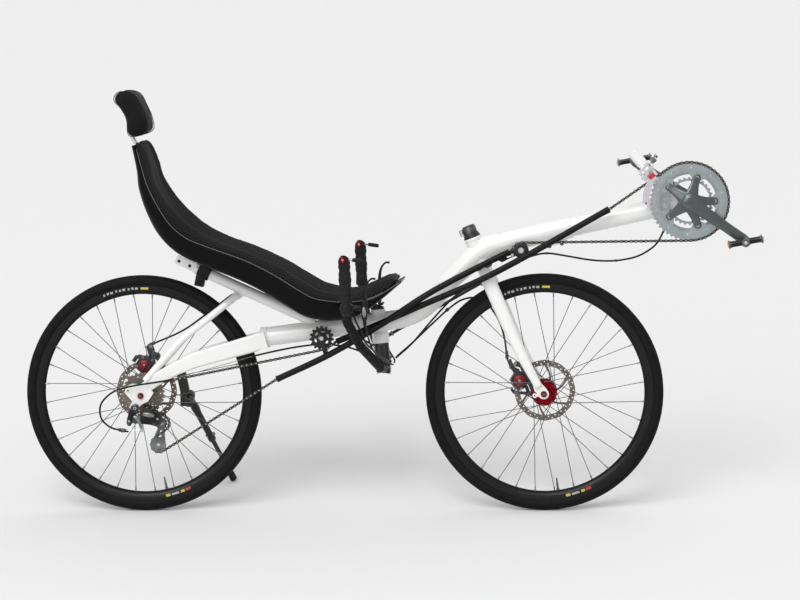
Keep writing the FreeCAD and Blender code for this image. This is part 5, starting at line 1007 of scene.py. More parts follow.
piece("idler_bolts", [bolt((IDLER[0], -55.4, IDLER[1]), (0, -1, 0), 6.0, 3.6, True), bolt((RETURN[0], -51.8, RETURN[1]), (0, -1, 0), 6.6, 4.0, True), rod((IDLER[0], -41, IDLER[1]), (IDLER[0], -55.6, IDLER[1]), 4.2, sides=18), rod((RETURN[0], -33, RETURN[1]), (RETURN[0], -52, RETURN[1]), 4.2, sides=18),
                       bolt((484.5, -55.4, 414.5), (0, -1, 0), 4.4, 3.0, True, 16), bolt((970, -39.0, 671), (0, -1, 0), 4.2, 2.6, True, 16)], "frame", M["steel"], (), smooth=30)

# ---------------------------------------------------------------- chain tubes with flared mouths
def chain_tube(pts, flare):
    line = catmull(pts, 14)
    n = len(line)
    out = []
    rr = []
    acc = 0.0
    cum = [0.0]
    for a, b in zip(line, line[1:]):
        cum.append(cum[-1] + (b - a).length)
    for i in range(n):
        e = min(cum[i], cum[-1] - cum[i])
        rr.append(8.2 + 0.6 * max(0, 1 - e / 7.0) ** 2)
    outer = tube(line, rr, 24, cap=False)
    inner = tube(line, [q - 1.3 for q in rr], 24, cap=False)
    inner.flip_normals()
    lips = []
    fr_ = frames_along(line)
    for i in (0, n - 1):
        t, u, w = fr_[i]
        d = t if i else -t
        lips.append(lathe([(rr[i] - 1.3, 0), (rr[i] - 0.65, 0.5), (rr[i], 0)], line[i], d, 24, close=False))
    return [outer, inner] + lips


piece("power_tube_skin", chain_tube(POWER, 1), "frame", M["chain_tube"], ("power_chain_tube",), smooth=50)
piece("return_tube_skin", chain_tube(BACK, 1), "frame", M["chain_tube"], ("return_chain_tube",), smooth=50)

# ---------------------------------------------------------------- front derailleur
FDD = Vector((107.0, 0, -131.0)).normalized()
fdc = Vector((1318, 0, 890))
fdn = Vector((FDD.z, 0, -FDD.x))           # towards the rear of the post
fd_pol, fd_dark = [], []
fd_pol.append(lathe([(17.6, -8.5), (19.0, -8.5), (19.5, -7.5), (19.5, 7.5), (19.0, 8.5), (17.6, 8.5)], fdc, FDD, 48))
fd_pol.append(rbox(fdc + Vector((-13, -27, -9)), fdc + Vector((11, -14, 13)), -50, 2.0, 3))
fd_pol.append(rod(fdc + Vector((4, -20, 14)), fdc + Vector((16, -20, 26)), 4.0, 3.4, 16))
fd_pol.append(rod(fdc + Vector((-16, -31, 2)), fdc + Vector((-16, -17, 2)), 6.0, sides=20))
fd_pol.append(rbox((1300, -41, 872), (1316, -30, 890), -35, 2.0, 3))
fd_pol.append(rod((1308, -44, 876), (1326, -20, 896), 4.6, sides=20))
fd_pol.append(rod((1300, -40, 884), (1316, -18, 902), 3.8, sides=20))
fd_dark.append(bolt(fdc + Vector((22, -8, 30)), (0.6, 0, 0.8), 5.0, 7.0, True))
fd_dark.append(bolt(fdc + Vector((-20, -30, 2)), (0, -1, 0), 4.2, 4.0, True))
fd_dark.append(rbox(fdc + Vector((10, -24, 16)), fdc + Vector((24, -12, 30)), -50, 1.5, 2))


def cage_plate(y0, y1, wide):
    a0, a1 = math.radians(143), math.radians(182)
    R0, R1 = ring_r + 3.0, ring_r + 3.0 + wide
    o_, i_ = [], []
    for k in range(15):
        a = a0 + (a1 - a0) * k / 14
        o_.append((CRANK[0] + (R1 + 2.0 * math.sin(math.pi * k / 14)) * math.cos(a), CRANK[1] + (R1 + 2.0 * math.sin(math.pi * k / 14)) * math.sin(a)))
        i_.append((CRANK[0] + R0 * math.cos(a), CRANK[1] + R0 * math.sin(a)))
    return plate([o_ + list(reversed(i_))], y0, y1, 0.4)


fd_pol.append(cage_plate(-60.6, -58.9, 15.0))
fd_pol.append(cage_plate(-44.4, -42.6, 12.0))
a0 = math.radians(143)
e0 = Vector((CRANK[0] + (ring_r + 11) * math.cos(a0), 0, CRANK[1] + (ring_r + 11) * math.sin(a0)))
a1 = math.radians(182)
e1 = Vector((CRANK[0] + (ring_r + 11) * math.cos(a1), 0, CRANK[1] + (ring_r + 11) * math.sin(a1)))
fd_pol.append(rbox(e0 + Vector((-7, -60.4, -2)), e0 + Vector((7, -42.8, 3)), 55, 1.2, 2))
fd_dark.append(rod(e1 + Vector((0, -61.4, 0)), e1 + Vector((0, -42.0, 0)), 3.0, sides=16))
fd_pol.append(rbox((1306, -45, 862), (1322, -33, 884), -20, 2.2, 3))
piece("fd_body", fd_pol, "frame", M["polished"], ("front_derailleur",), smooth=35)
piece("fd_screws", fd_dark, "frame", M["dark_steel"], (), smooth=35)
piece("fd_guard", [rbox((1322, -62.5, 868), (1340, -44, 880), 40, 1.6, 3)], "frame", M["red_plastic"], (), smooth=35)

# ---------------------------------------------------------------- rear derailleur
rd_dark, rd_grey_and_highlight, rd_steel = [], [], []
rd_dark.append(lathe([(0, 0), (10.5, 0), (11.5, 1), (11.5, 8), (9.5, 10), (6, 10.5), (4, 8.5), (0, 8.5)], (-13, -84, 279), (0, -1, 0), 36, close=False))
rd_dark.append(rod((-13, -74.9, 279), (-13, -85, 279), 8.5, sides=28))
# B-knuckle from the hanger bolt down to the upper parallelogram pivots
rd_dark.append(sweep_y([(-13, -86, 284), (-17, -86, 274), (-23, -86, 262), (-27, -87, 250), (-29, -87, 240), (-29, -87, 233)], [(9, 7.5), (10.5, 8.0), (8.6, 8.5), (7.6, 9.0), (7.4, 8.6), (4, 6)], "knuckle", 2.6, 24))
rd_dark.append(sweep_y([(-26, -88, 257), (-12, -88, 254), (2, -88, 252)], [(6, 5), (7, 5.4), (8, 5.4)], "knuckle", 2.6, 20))
# main body: a rounded black casing; the bright grey oval plate on it is a painted highlight
link = sweep_y([(0, -88, 261), (3, -89, 260.5), (10, -90, 259.5), (24, -90, 258), (38, -89, 255.5), (48, -88, 253), (53, -87, 251), (55, -87, 250)], [(3.0, 4.0), (9.5, 7.0), (13.0, 8.4), (14.5, 9.0), (14.5, 8.4), (12.0, 7.4), (8.0, 6.0), (3.0, 3.0)], "body", 2.2, 36)
rd_dark.append(link)
# painted highlight: this bright grey plate stands for the highlight on the glossy black body, not for a real cap
rd_grey_and_highlight.append(sweep_y([(8, -97.0, 264.5), (11, -98.6, 264.2), (22, -99.6, 262.8), (33, -99.0, 261.0), (38, -97.4, 259.8)], [(2.0, 1.0), (4.6, 1.9), (5.8, 2.2), (4.8, 1.9), (2.2, 1.0)], "cap", 2.0, 24))
rd_dark.append(sweep_y([(-22, -84, 246), (0, -84, 244), (26, -84, 242), (48, -84, 238)], [(7, 5), (6, 4.4), (7, 4.6), (9, 6)], "link2", 2.6, 20))
# P-knuckle round the guide pulley's pivot
rd_dark.append(lathe([(0, 0), (8, 0), (11, 2), (12, 5), (12, 18), (11, 23), (7, 25), (0, 25)], (GUIDE[0] - 8, -66.0, GUIDE[1] + 8), (0, -1, 0), 40, close=False))
rd_grey_and_highlight.append(rod((-7, -93, 254), (-7, -98, 254), 4.6, sides=20))
rd_grey_and_highlight.append(sweep_y([(-16, -93, 258), (-8, -95, 254), (0, -95, 240), (4, -94, 226), (6, -94, 218)], [(3.2, 2.2), (6.0, 2.8), (4.2, 2.6), (3.4, 2.4), (2.0, 1.6)], "arm", 2.4, 16))
rd_steel += [bolt((46, -95.0, 252), (0, -1, 0), 3.0, 1.6, True, 14), bolt((-28, -95.4, 246), (0, -1, 0), 3.0, 1.6, True, 14), bolt((-13, -92.0, 279), (0, -1, 0), 4.6, 2.6, True, 18), bolt((4, -96.2, 224), (0, -1, 0), 3.4, 3.0, True, 14)]
rd_steel.append(tube([(-44, -90, 222), (-33, -92, 222), (-14, -94, 222.5), (3, -96, 223)], 0.8, 8))
# barrel adjuster at the end of the housing
rd_dark.append(lathe([(0, 0), (3.2, 0), (3.2, 4), (5.4, 5), (5.4, 14), (4.2, 15), (4.0, 20), (0, 20)], (-36, -89, 220.4), (-1, 0, 0.08), 20, close=False))


def cage_line(grow, top_w, low_w):
    g, t = Vector((GUIDE[0], GUIDE[1])), Vector((TENSION[0], TENSION[1]))
    d = (t - g).normalized()
    n_ = Vector((-d.y, d.x))
    out = []
    for k in range(9):
        a = math.radians(-90 + 180 * k / 8)
        out.append(g - d * (top_w * math.cos(a)) + n_ * (top_w * math.sin(a)))
    out.append(g + d * 16 + n_ * (top_w * 0.72))
    out.append(t - d * 16 + n_ * (low_w * 0.80))
    for k in range(9):
        a = math.radians(90 - 180 * k / 8)
        out.append(t + d * (low_w * math.cos(a)) + n_ * (low_w * math.sin(a)))
    out.append(t - d * 16 - n_ * (low_w * 0.80))
    out.append(g + d * 16 - n_ * (top_w * 0.72))
    return [(q.x, q.y) for q in out]


win = [(GUIDE[0] + 3 - 5, GUIDE[1] - 16), (GUIDE[0] + 3, GUIDE[1] - 16), (TENSION[0] + 7, TENSION[1] + 20), (TENSION[0] + 0, TENSION[1] + 18), (TENSION[0] - 4, TENSION[1] + 21)]
rd_grey = [plate([cage_line(0, 11.5, 20.0), win], -62.8, -60.9, 0.5), plate([cage_line(0, 11.5, 17.0), win], -47.1, -45.4, 0.5)]
for c_, ph in ((GUIDE, 0.1), (TENSION, 0.35)):
    r_p = 15.6
    n = 11
    line = []
    for k in range(n):
        for f, h in ((0.0, -2.2), (0.25, -1.6), (0.42, 1.6), (0.58, 1.6), (0.75, -1.6)):
            a = ph + 2 * math.pi * (k + f) / n
            line.append((c_[0] + (r_p + h) * math.cos(a), c_[1] + (r_p + h) * math.sin(a)))
    holes_ = [list(reversed(circle(c_[0], c_[1], 4.0, 24)))]
    for q in range(5):
        a = ph + math.radians(72 * q)
        holes_.append(circle(c_[0] + 9.2 * math.cos(a), c_[1] + 9.2 * math.sin(a), 2.1, 12))
    rd_dark.append(plate([line] + holes_, -55.2, -52.8, 0.3))
    rd_steel.append(rod((c_[0], -61.0, c_[1]), (c_[0], -47.0, c_[1]), 3.4, sides=18))
    rd_steel.append(bolt((c_[0], -62.8, c_[1]), (0, -1, 0), 4.2, 1.6, True, 16))
piece("rd_knuckles", rd_dark, "frame", M["black_alloy"], ("rear_derailleur",), smooth=40)
# the grey pivot and link arm are real grey parts; the oval plate among them is a painted highlight
piece("rd_link_and_highlight_plate", rd_grey_and_highlight, "frame", M["grey_alloy"], (), smooth=40)
piece("rd_cage", rd_grey, "frame", M["crank"], (), smooth=35)
piece("rd_steel_bits", rd_steel, "frame", M["steel"], (), smooth=35)

# ---------------------------------------------------------------- frame details
M["weld"] = mat("painted_weld", (0.78, 0.78, 0.77), rough=0.26, coat=0.5, vary=0.03, grain=0.12, grain_scale=240, rough_vary=0.05)
M["satin_black"] = mat("satin_black", (0.010, 0.010, 0.011), rough=0.40, vary=0.2, grain=0.1, grain_scale=900, spec=0.35, wear=(0.10, 0.10, 0.10))


def bead(pts, r=2.0, step=3.2, closed=True):
    """Stacked weld bead along a closed line: a tube whose radius ripples."""
    line = [Vector(p) for p in pts]
    cnt = len(line) if closed else len(line) - 1
    seg = [(line[(i + 1) % len(line)] - line[i]).length for i in range(cnt)]
    total = sum(seg)
    n = max(24, int(total / (step / 4)))
    out, radii = [], []
    cum = [0.0]
    for q in seg:
        cum.append(cum[-1] + q)
    j = 0
    for k in range(n):
        s = total * k / n
        while cum[j + 1] < s:
            j += 1
        f = (s - cum[j]) / max(seg[j], 1e-9)
        out.append(line[j] + (line[(j + 1) % len(line)] - line[j]) * f)
        radii.append(r * (0.86 + 0.14 * abs(math.sin(math.pi * s / step))))
    return tube(out, radii, 10, cap=False, closed=closed)


def ring_line(c, axis, r, n=64):
    ax = Vector(axis).normalized()
    u = Vector((0, 1, 0)) if abs(ax.y) < 0.9 else Vector((1, 0, 0))
    u = (u - ax * u.dot(ax)).normalized()
    w = ax.cross(u)
    return [Vector(c) + u * (r * math.cos(2 * math.pi * k / n)) + w * (r * math.sin(2 * math.pi * k / n)) for k in range(n)]


def tee_line(c, d1, r1, c2, d2, r2, n=72, lift=0.3, sign=1):
    """Where the bar (c, d1, r1) leaves the bigger bar (c2, d2, r2): points round the joint."""
    d1, d2 = Vector(d1).normalized(), Vector(d2).normalized()
    u = d1.cross(Vector((0, 1, 0)))
    u = u.normalized() if u.length > 1e-6 else Vector((1, 0, 0))
    w = d1.cross(u).normalized()
    out = []
    for k in range(n):
        q = 2 * math.pi * k / n
        o = Vector(c) + u * (r1 * math.cos(q)) + w * (r1 * math.sin(q))
        a = o - Vector(c2)
        a_ = a - d2 * a.dot(d2)
        b_ = d1 - d2 * d1.dot(d2)
        A, B, C = b_.dot(b_), 2 * a_.dot(b_), a_.dot(a_) - (r2 + lift) ** 2
        disc = B * B - 4 * A * C
        if disc < 0 or A < 1e-9:
            continue
        s = (-B + sign * math.sqrt(disc)) / (2 * A)
        out.append(o + d1 * s)
    return out


def boom_pt(x):
    return Vector((x, 0, CRANK[1] - 2.0 - (CRANK[0] - x) * math.tan(math.radians(12.3))))


BV = Vector((math.cos(math.radians(12.3)), 0, math.sin(math.radians(12.3))))
MAIN_V = Vector((1, 0, 0.13)).normalized()
MAIN_C = Vector((328, 0, 457))
BEAM_A, BEAM_B = Vector((452, 0, 495)), Vector((140, 0, 638.2))
BEAM_V = (BEAM_B - BEAM_A).normalized()
wl = []


def ring_or(pts, r):
    if len(pts) > 20:
        wl.append(bead(pts, r))


# pivot tube through the main tube, above and below
ring_or(tee_line(PIVOT0, -PIVOT_DIR, 19.0, (617, 0, MAIN_C.z + (617 - 328) * 0.13), MAIN_V, 25.0, lift=0.2), 2.0)
ring_or(tee_line(PIVOT0, PIVOT_DIR, 19.0, (617, 0, MAIN_C.z + (617 - 328) * 0.13), MAIN_V, 25.0, lift=0.2), 2.0)
# post on the boom; the bead round the crank shell on the boom is switched off
POST_A, POST_B = Vector((1281, 0, 935)), Vector((1388, 0, 804))
ring_or(tee_line(POST_B, POST_A - POST_B, 14.3, boom_pt(1388), BV, 24.6, lift=0.2), 1.9)
ring_or(tee_line((CRANK[0] - 60, 0, boom_pt(CRANK[0] - 60).z), BV, 24.6, (CRANK[0], 0, CRANK[1]), (0, 1, 0), 34.0, lift=0.0, sign=-1), 1.8) if False else None
# seat beam on the main tube
ring_or(tee_line(BEAM_A, BEAM_V, 14.5, (BEAM_A.x, 0, MAIN_C.z + (BEAM_A.x - 328) * 0.13), MAIN_V, 25.0, lift=0.2), 1.9)
# head tube edges: flared rims top and bottom
for at, sg in ((HEAD0 - HEAD_DIR * 2, 1), (HEAD0 + HEAD_DIR * 79, -1)):
    wl.append(lathe([(20.0, 0), (22.9, 0), (23.5, 0.8), (23.5, 5.0), (22.6, 8.0), (22.02, 9.0), (21.5, 9.0), (20.0, 2)], at, HEAD_DIR * sg, 64))
# chainstay collar lips
wl.append(bead(ring_line(MAIN_C + MAIN_V * -0.5, MAIN_V, 25.4), 1.7))
piece("frame_welds", wl, "frame", M["weld"], smooth=60)

# boom sleeve: slit, two clamp bolts with nuts
cb = []
for x_ in (1066.0, 1098.0):
    z_ = boom_pt(x_).z - 27.0 - 10.0
    cb.append(lathe([(0, 0), (5.0, 0), (5.4, 0.5), (5.4, 4.4), (4.6, 5.2), (2.9, 5.2), (2.7, 2.0), (0, 2.0)], (x_, -8.0, z_ + 1), (0, -1, 0), 24, close=False))
    cb.append(nut((x_, 8.0, z_ + 1), (0, 1, 0), 5.6, 4.4))
piece("boom_clamp_bolts", cb, "frame", M["dark_steel"], smooth=30)
# painted shade: the slit is a thin black strip on the sleeve's underside, standing for the shade in the gap
sl = []
a_, b_ = boom_pt(1044.0), boom_pt(1122.6)
dn = Vector((math.sin(math.radians(12.3)), 0, -math.cos(math.radians(12.3))))
sl.append(rbox((1046, -1.3, 0), (1124, 1.3, 1.6), 0, 0.3, 1))
m0 = Matrix.Translation((0, 0, 0))
sl[0].transform(Matrix.Translation((boom_pt(1085) + dn * 26.6) * MM) @ Matrix.Rotation(-math.radians(12.3), 4, "Y") @ Matrix.Translation(Vector((-1085, 0, -0.8)) * MM))
piece("boom_slit_painted_shade", sl, "frame", M["satin_black"], smooth=30)
# dark seam line where the boom slides out of the sleeve
piece("boom_sleeve_lip", [lathe([(24.75, 0), (27.0, 0), (27.2, 0.5), (27.2, 4.0), (26.9, 4.6), (24.75, 4.6)], boom_pt(1117.6), BV, 72)], "frame", M["weld"], smooth=40)

# ---- steerer clamp above the head tube
sc = []
top0 = HEAD0 - HEAD_DIR * 13.5
sc.append(lathe([(14.2, 0), (17.4, 0), (18.2, 0.8), (18.2, 16.4), (17.4, 17.4), (14.2, 17.4)], top0, -HEAD_DIR, 48))
side_c = HEAD0 - HEAD_DIR * 22.0
hx = Vector((HEAD_DIR.z, 0, -HEAD_DIR.x)) * -1.0
if hx.x > 0:
    hx = hx * -1.0
back = hx                     # towards the seat
m_h = Matrix(((-back.x, 0, -HEAD_DIR.x, 0), (0, 1, 0, 0), (-back.z, 0, -HEAD_DIR.z, 0), (0, 0, 0, 1)))
for q in (-1, 1):
    sc.append(rbox((-9.0, -3.6, -8.4), (9.0, 3.6, 8.4), 0, 1.8, 3, frame_=m_h))
    sc[-1].transform(Matrix.Translation((side_c + back * 18.0 + Vector((0, q * 5.0, 0))) * MM))
piece("steerer_clamp_visual", sc, "fork", M["black_alloy"], replaces=("steerer_clamp",), smooth=40)
sb = []
for q in (-4.2, 4.2):
    at = side_c + back * 22.0 - HEAD_DIR * q
    sb.append(rod(at + Vector((0, 8.4, 0)), at - Vector((0, 8.4, 0)), 2.4, None, 16))
    sb.append(lathe([(0, 0), (4.2, 0), (4.4, 0.5), (4.4, 3.6), (3.8, 4.3), (2.3, 4.3), (2.2, 1.6), (0, 1.6)], at - Vector((0, 8.4, 0)), (0, -1, 0), 22, close=False))
    sb.append(nut(at + Vector((0, 8.4, 0)), (0, 1, 0), 4.4, 3.4))
# spacer band and top cap with its bolt
sb.append(lathe([(14.3, -5.2), (17.0, -5.2), (17.4, -4.8), (17.4, -1.0), (17.0, -0.6), (14.3, -0.6)], top0, -HEAD_DIR, 48))
piece("steerer_bolts", sb, "fork", M["steel"], smooth=30)
cap2 = [lathe([(0, 0), (16.8, 0), (17.3, 0.7), (16.2, 3.6), (12.0, 5.0), (5.2, 5.3), (4.8, 3.4), (0, 3.4)], HEAD0 - HEAD_DIR * 30.4, -HEAD_DIR, 44, close=False),
        lathe([(19.2, 0), (21.8, 0), (22.6, 0.8), (22.2, 3.0), (20.8, 5.6), (20.0, 10.6), (14.4, 10.8), (14.4, 10.2), (19.2, 9.9)], HEAD0 - HEAD_DIR * 2.2, -HEAD_DIR, 52),
        lathe([(15.0, 0), (21.8, 0), (22.8, 0.8), (22.8, 3.2), (21.4, 4.8), (15.0, 5.2)], HEAD0 + HEAD_DIR * 79.2, HEAD_DIR, 52)]
piece("headset_cups", cap2, "frame" if False else "fork", M["satin_black"], smooth=40)

# ---- quick releases: red domed nuts with dark centres on the right, cam levers on the left
def quick_release(name, c, half, out_, lever_deg, body, rep, head_r):
    red, dark, steel_ = [], [], []
    x, z = c
    # axle ends, outside the dropouts
    dark.append(rod((x, -half - 7.0 * (body != "x") - 0.2, z), (x, half + 7.2, z), 4.9, None, 24))
    red.append(lathe([(2.4, 0), (head_r, 0), (head_r + 0.6, 0.8), (head_r + 0.6, 3.2), (head_r - 0.8, 6.4), (5.0, 8.6), (4.0, 8.6), (3.6, 6.8), (2.4, 6.6)], (x, -out_, z), (0, -1, 0), 40))
    dark.append(lathe([(0, 0), (3.7, 0), (3.7, 1.2), (2.0, 1.2), (1.8, -0.8), (0, -0.8)], (x, -out_ - 6.8, z), (0, -1, 0), 24, close=False))
    for k in range(12):
        a = 2 * math.pi * k / 12
        dark.append(rod((x + (head_r + 0.3) * math.cos(a), -out_ - 0.6, z + (head_r + 0.3) * math.sin(a)), (x + (head_r + 0.3) * math.cos(a), -out_ - 3.2, z + (head_r + 0.3) * math.sin(a)), 0.55, None, 6)) if False else None
    # cam housing and lever
    steel_.append(lathe([(2.4, 0), (8.6, 0), (9.2, 0.8), (9.2, 7.4), (8.2, 9.0), (5.0, 10.4), (0, 10.8)], (x, out_, z), (0, 1, 0), 36, close=False))
    a = math.radians(lever_deg)
    d = Vector((math.cos(a), 0, math.sin(a)))
    base_ = Vector((x, out_ + 6.0, z))
    line = catmull([base_ + d * 4, base_ + d * 16 + Vector((0, 3.5, 0)), base_ + d * 32 + Vector((0, 4.2, 0)), base_ + d * 50 + Vector((0, 1.0, 0))], 6)
    nn = len(line)
    steel_.append(tube(line, [(2.6 + 0.6 * math.sin(math.pi * k / (nn - 1)), 5.0 + 2.4 * math.sin(math.pi * min(1.0, k / (nn - 1) * 1.1))) for k in range(nn)], 18))
    piece(name + "_nut", red, body, M["red_alloy"], replaces=rep, smooth=35)
    piece(name + "_axle", dark, body, M["dark_steel"], smooth=35)
    piece(name + "_lever", steel_, body, M["grey_alloy"], smooth=45)


quick_release("front_release", FRONT, 50.0, 57.2, 118.0, "fork", ("front_axle",), 7.6)
quick_release("rear_release", REAR, 67.5, 74.7, 205.0, "frame", ("rear_axle",), 7.6)

# ---- dropouts: rack eyelet bushings
db = []
for s_ in (-1, 1):
    y0_ = s_ * 74.6
    db.append(lathe([(2.7, 0), (5.6, 0), (5.9, 0.3), (5.9, 1.2), (5.4, 1.5), (2.7, 1.5)], (-33, y0_, 324), (0, s_, 0), 28))
piece("eyelet_bushings", db, "frame", M["weld"], smooth=40)
tn = []
for x_, z_ in ((98.0, 657.0), (126.0, 644.2)):
    for s_ in (-1, 1):
        tn.append(lathe([(1.7, 0), (4.2, 0), (4.2, 0.7), (3.9, 0.9), (2.0, 0.9), (1.7, 0.6)], (x_, s_ * 12.05, z_), (0, s_, 0), 24))
        tn.append(lathe([(1.0, 0.0), (2.5, 0.0), (2.5, -7.0), (0, -7.0), (0, -5.5), (1.0, -5.5)], (x_, s_ * 12.0, z_), (0, s_, 0), 20, close=False))
piece("beam_hole_inserts", tn, "frame", M["satin_black"], smooth=40)

# ---- fork: clip for the brake housing, mount tabs
cl_ = [lathe([(2.6, -4.5), (4.2, -4.5), (4.6, -4.0), (4.6, 4.0), (4.2, 4.5), (2.6, 4.5)], (797.0, 18.1, 524.0), (0.7, 0, 0.68), 22)]
piece("housing_clip", cl_, "frame", M["satin_black"], smooth=40)

tb = []
for s_ in (-1, 1):
    tb.append(lathe([(2.1, 0), (5.6, 0), (6.1, 0.6), (6.1, 5.6), (5.6, 6.2), (2.1, 6.2)], (1026.5, s_ * 50.6, 306.0), (0, s_, 0), 28))
    tb.append(rbox((1028, s_ * 53.5 - 2.8, 303.2), (1044, s_ * 53.5 + 2.8, 310.0), 0, 1.5, 3))
    tb.append(lathe([(10.4, 0), (12.6, 0), (13.4, 0.6), (13.4, 1.6), (12.6, 2.2), (10.4, 2.2)], (FRONT[0], s_ * 55.2, FRONT[1]), (0, s_, 0), 44))
piece("fork_end_tabs", tb, "fork", M["weld"], smooth=40)

# ---------------------------------------------------------------- disc brake calipers
M["caliper"] = mat("caliper_black", (0.011, 0.011, 0.012), rough=0.36, vary=0.2, grain=0.25, grain_scale=500, spec=0.45, wear=(0.16, 0.155, 0.15))
M["knob_red"] = mat("knob_red", (0.24, 0.008, 0.012), rough=0.30, metal=0.35, vary=0.12, scratch=0.05)
M["pad_grey"] = mat("hex_grey", (0.30, 0.30, 0.30), rough=0.35, metal=0.9, vary=0.1, scratch=0.15)


def caliper(tag, c, y_, turn, body, rep, cable_end, cable_dir, arm_up):
    """c: knob centre (x, z); y_: knob face side; turn: degrees of the body about Y; sign: left side of the wheel is +Y."""
    cx, cz = c
    R = lambda x, z: (cx + x * math.cos(math.radians(turn)) - z * math.sin(math.radians(turn)), cz + x * math.sin(math.radians(turn)) + z * math.cos(math.radians(turn)))
    blk, red, grey = [], [], []
    # body: two halves either side of the disc, lobed outline
    def lobed(k=1.0):
        pts = [(-21, -12), (-14, -20), (2, -22), (15, -19), (21, -9), (21, 7), (14, 17), (2, 22), (-12, 20), (-21, 11)]
        sm = catmull([(x * k, 0, z * k) for x, z in pts], 5, True)
        return [R(q.x, q.z) for q in sm]
    blk.append(plate([lobed(1.0)], y_ - 11.5, y_ - 2.2, 1.6, steps=3))
    blk.append(plate([lobed(0.96)], y_ + 2.2, y_ + 20.0, 2.0, steps=3))
    # bridge over the disc on the outer side
    hub_ = (1050.0, 310.0) if tag == "front" else (0.0, 310.0)
    out_ = math.atan2(cz - hub_[1], cx - hub_[0])
    p_ = (hub_[0] + 86.8 * math.cos(out_), hub_[1] + 86.8 * math.sin(out_))
    blk.append(rbox((p_[0] - 4, y_ - 9, p_[1] - 12), (p_[0] + 4, y_ + 16, p_[1] + 12), math.degrees(out_), 2.0, 3))
    for dx, dz in ((-15.5, 14.0), (-15.5, -14.0)):
        q = R(dx, dz)
        grey.append(bolt((q[0], y_ - 11.0, q[1]), (0, -1, 0), 3.6, 3.0))
    # knob: fluted red dial with a grey hexagon
    prof = []
    n = 72
    ring = []
    for k in range(n):
        a = 2 * math.pi * k / n
        r = 14.2 + 0.55 * math.cos(18 * a)
        ring.append((cx + r * math.cos(a), cz + r * math.sin(a)))
    red.append(plate([ring], y_ - 19.5, y_ - 12.5, 0.9, steps=2))
    red.append(lathe([(0, 0), (11.6, 0), (12.2, 0.3), (11.0, 1.3), (6.4, 1.6), (5.6, 0.9), (0, 0.9)], (cx, y_ - 19.4, cz), (0, -1, 0), 44, close=False))
    grey.append(lathe([(0, 0), (4.2, 0), (4.2, 1.6), (2.7, 2.0), (2.4, 0.7), (0, 0.7)], (cx, y_ - 20.1, cz), (0, -1, 0), 6, close=False))
    blk.append(lathe([(0, 0), (16.2, 0), (16.6, 0.6), (15.4, 2.4), (0, 2.4)], (cx, y_ - 10.4, cz), (0, -1, 0), 44, close=False))
    # inner side: adjuster dial on the wheel side stays hidden; cooling ribs
    for k in range(4):
        q = R(-12 + 6 * k, 21)
        blk.append(rbox((q[0] - 1.2, y_ - 10, q[1] - 3), (q[0] + 1.2, y_ + 18, q[1] + 3), turn, 0.6, 2))
    return blk, red, grey, R


# front: behind the left leg
cx, cz = 985.0, 337.0
blk, red, grey, R = caliper("front", (cx, cz), 39.0, 60, "fork", (), None, None, 1)
# mounting bracket down the rear of the leg, its foot and two long bolts
br_line = [(985, 372), (993, 380), (1002, 372), (1014, 346), (1026, 318), (1035, 300), (1027, 292), (1018, 297), (1009, 318), (1000, 338), (990, 356)]
blk.append(plate([br_line], 40.5, 47.5, 1.0, steps=2))
blk.append(plate([[(964, 318), (972, 306), (1000, 306), (1030, 297), (1033, 290), (998, 298), (968, 300), (960, 310)]], 41.0, 47.0, 0.8, steps=2))
blk.append(rbox((1000, 41.2, 300), (1009, 50, 322), 20, 1.5, 3))
# actuating arm with cable pinch bolt, and barrel holder
arm = [(969, 380), (975, 388), (990, 382), (1001, 372), (1007, 360), (1001, 352), (994, 364), (984, 372), (972, 374)]
blk.append(plate([arm], 24.0, 28.0, 0.8, steps=2))
blk.append(plate([[(960, 384), (966, 384), (972, 372), (984, 366), (990, 352), (996, 342), (990, 336), (980, 350), (970, 356), (962, 366)]], 30.0, 35.0, 0.9, steps=2))
for q in ((973, 381), (992, 377)):
    grey.append(bolt((q[0], 23.6, q[1]), (0, -1, 0), 5.0, 5.0))
grey.append(rod((992, 28, 377), (992, 40, 377), 4.0, None, 20))
blk.append(lathe([(0, 0), (4.6, 0), (5.0, 1), (5.0, 10), (4.2, 12), (4.2, 18), (3.4, 20), (2.7, 26), (2.4, 26)], (962.5, 46, 366), Vector((-0.10, 0.16, 0.98)), 22, close=False))
# boot on the end of the housing
blk.append(lathe([(2.4, 0), (4.4, 0.5), (4.6, 4), (3.6, 16), (2.8, 22), (2.5, 22)], (951.2, 60.0, 391.0), Vector((-0.03, 0.12, 0.99)), 20))
blk.append(rod((962, 47, 368), (951.5, 60, 392), 3.0, 2.9, 18))
piece("front_caliper_body", blk, "fork", M["caliper"], replaces=("front_caliper",), smooth=40)
piece("front_caliper_knob", red, "fork", M["knob_red"], smooth=40)
piece("front_caliper_bolts", grey, "fork", M["pad_grey"], smooth=30)

# rear: above and behind the axle, on the left
cx, cz = -3.0, 379.0
blk, red, grey, R = caliper("rear", (cx, cz), 51.0, -35, "frame", (), None, None, 1)
blk.append(plate([[(-26, 402), (-18, 408), (-4, 404), (8, 398), (14, 388), (8, 384), (-6, 392), (-20, 396)]], 38.0, 42.0, 0.8, steps=2))
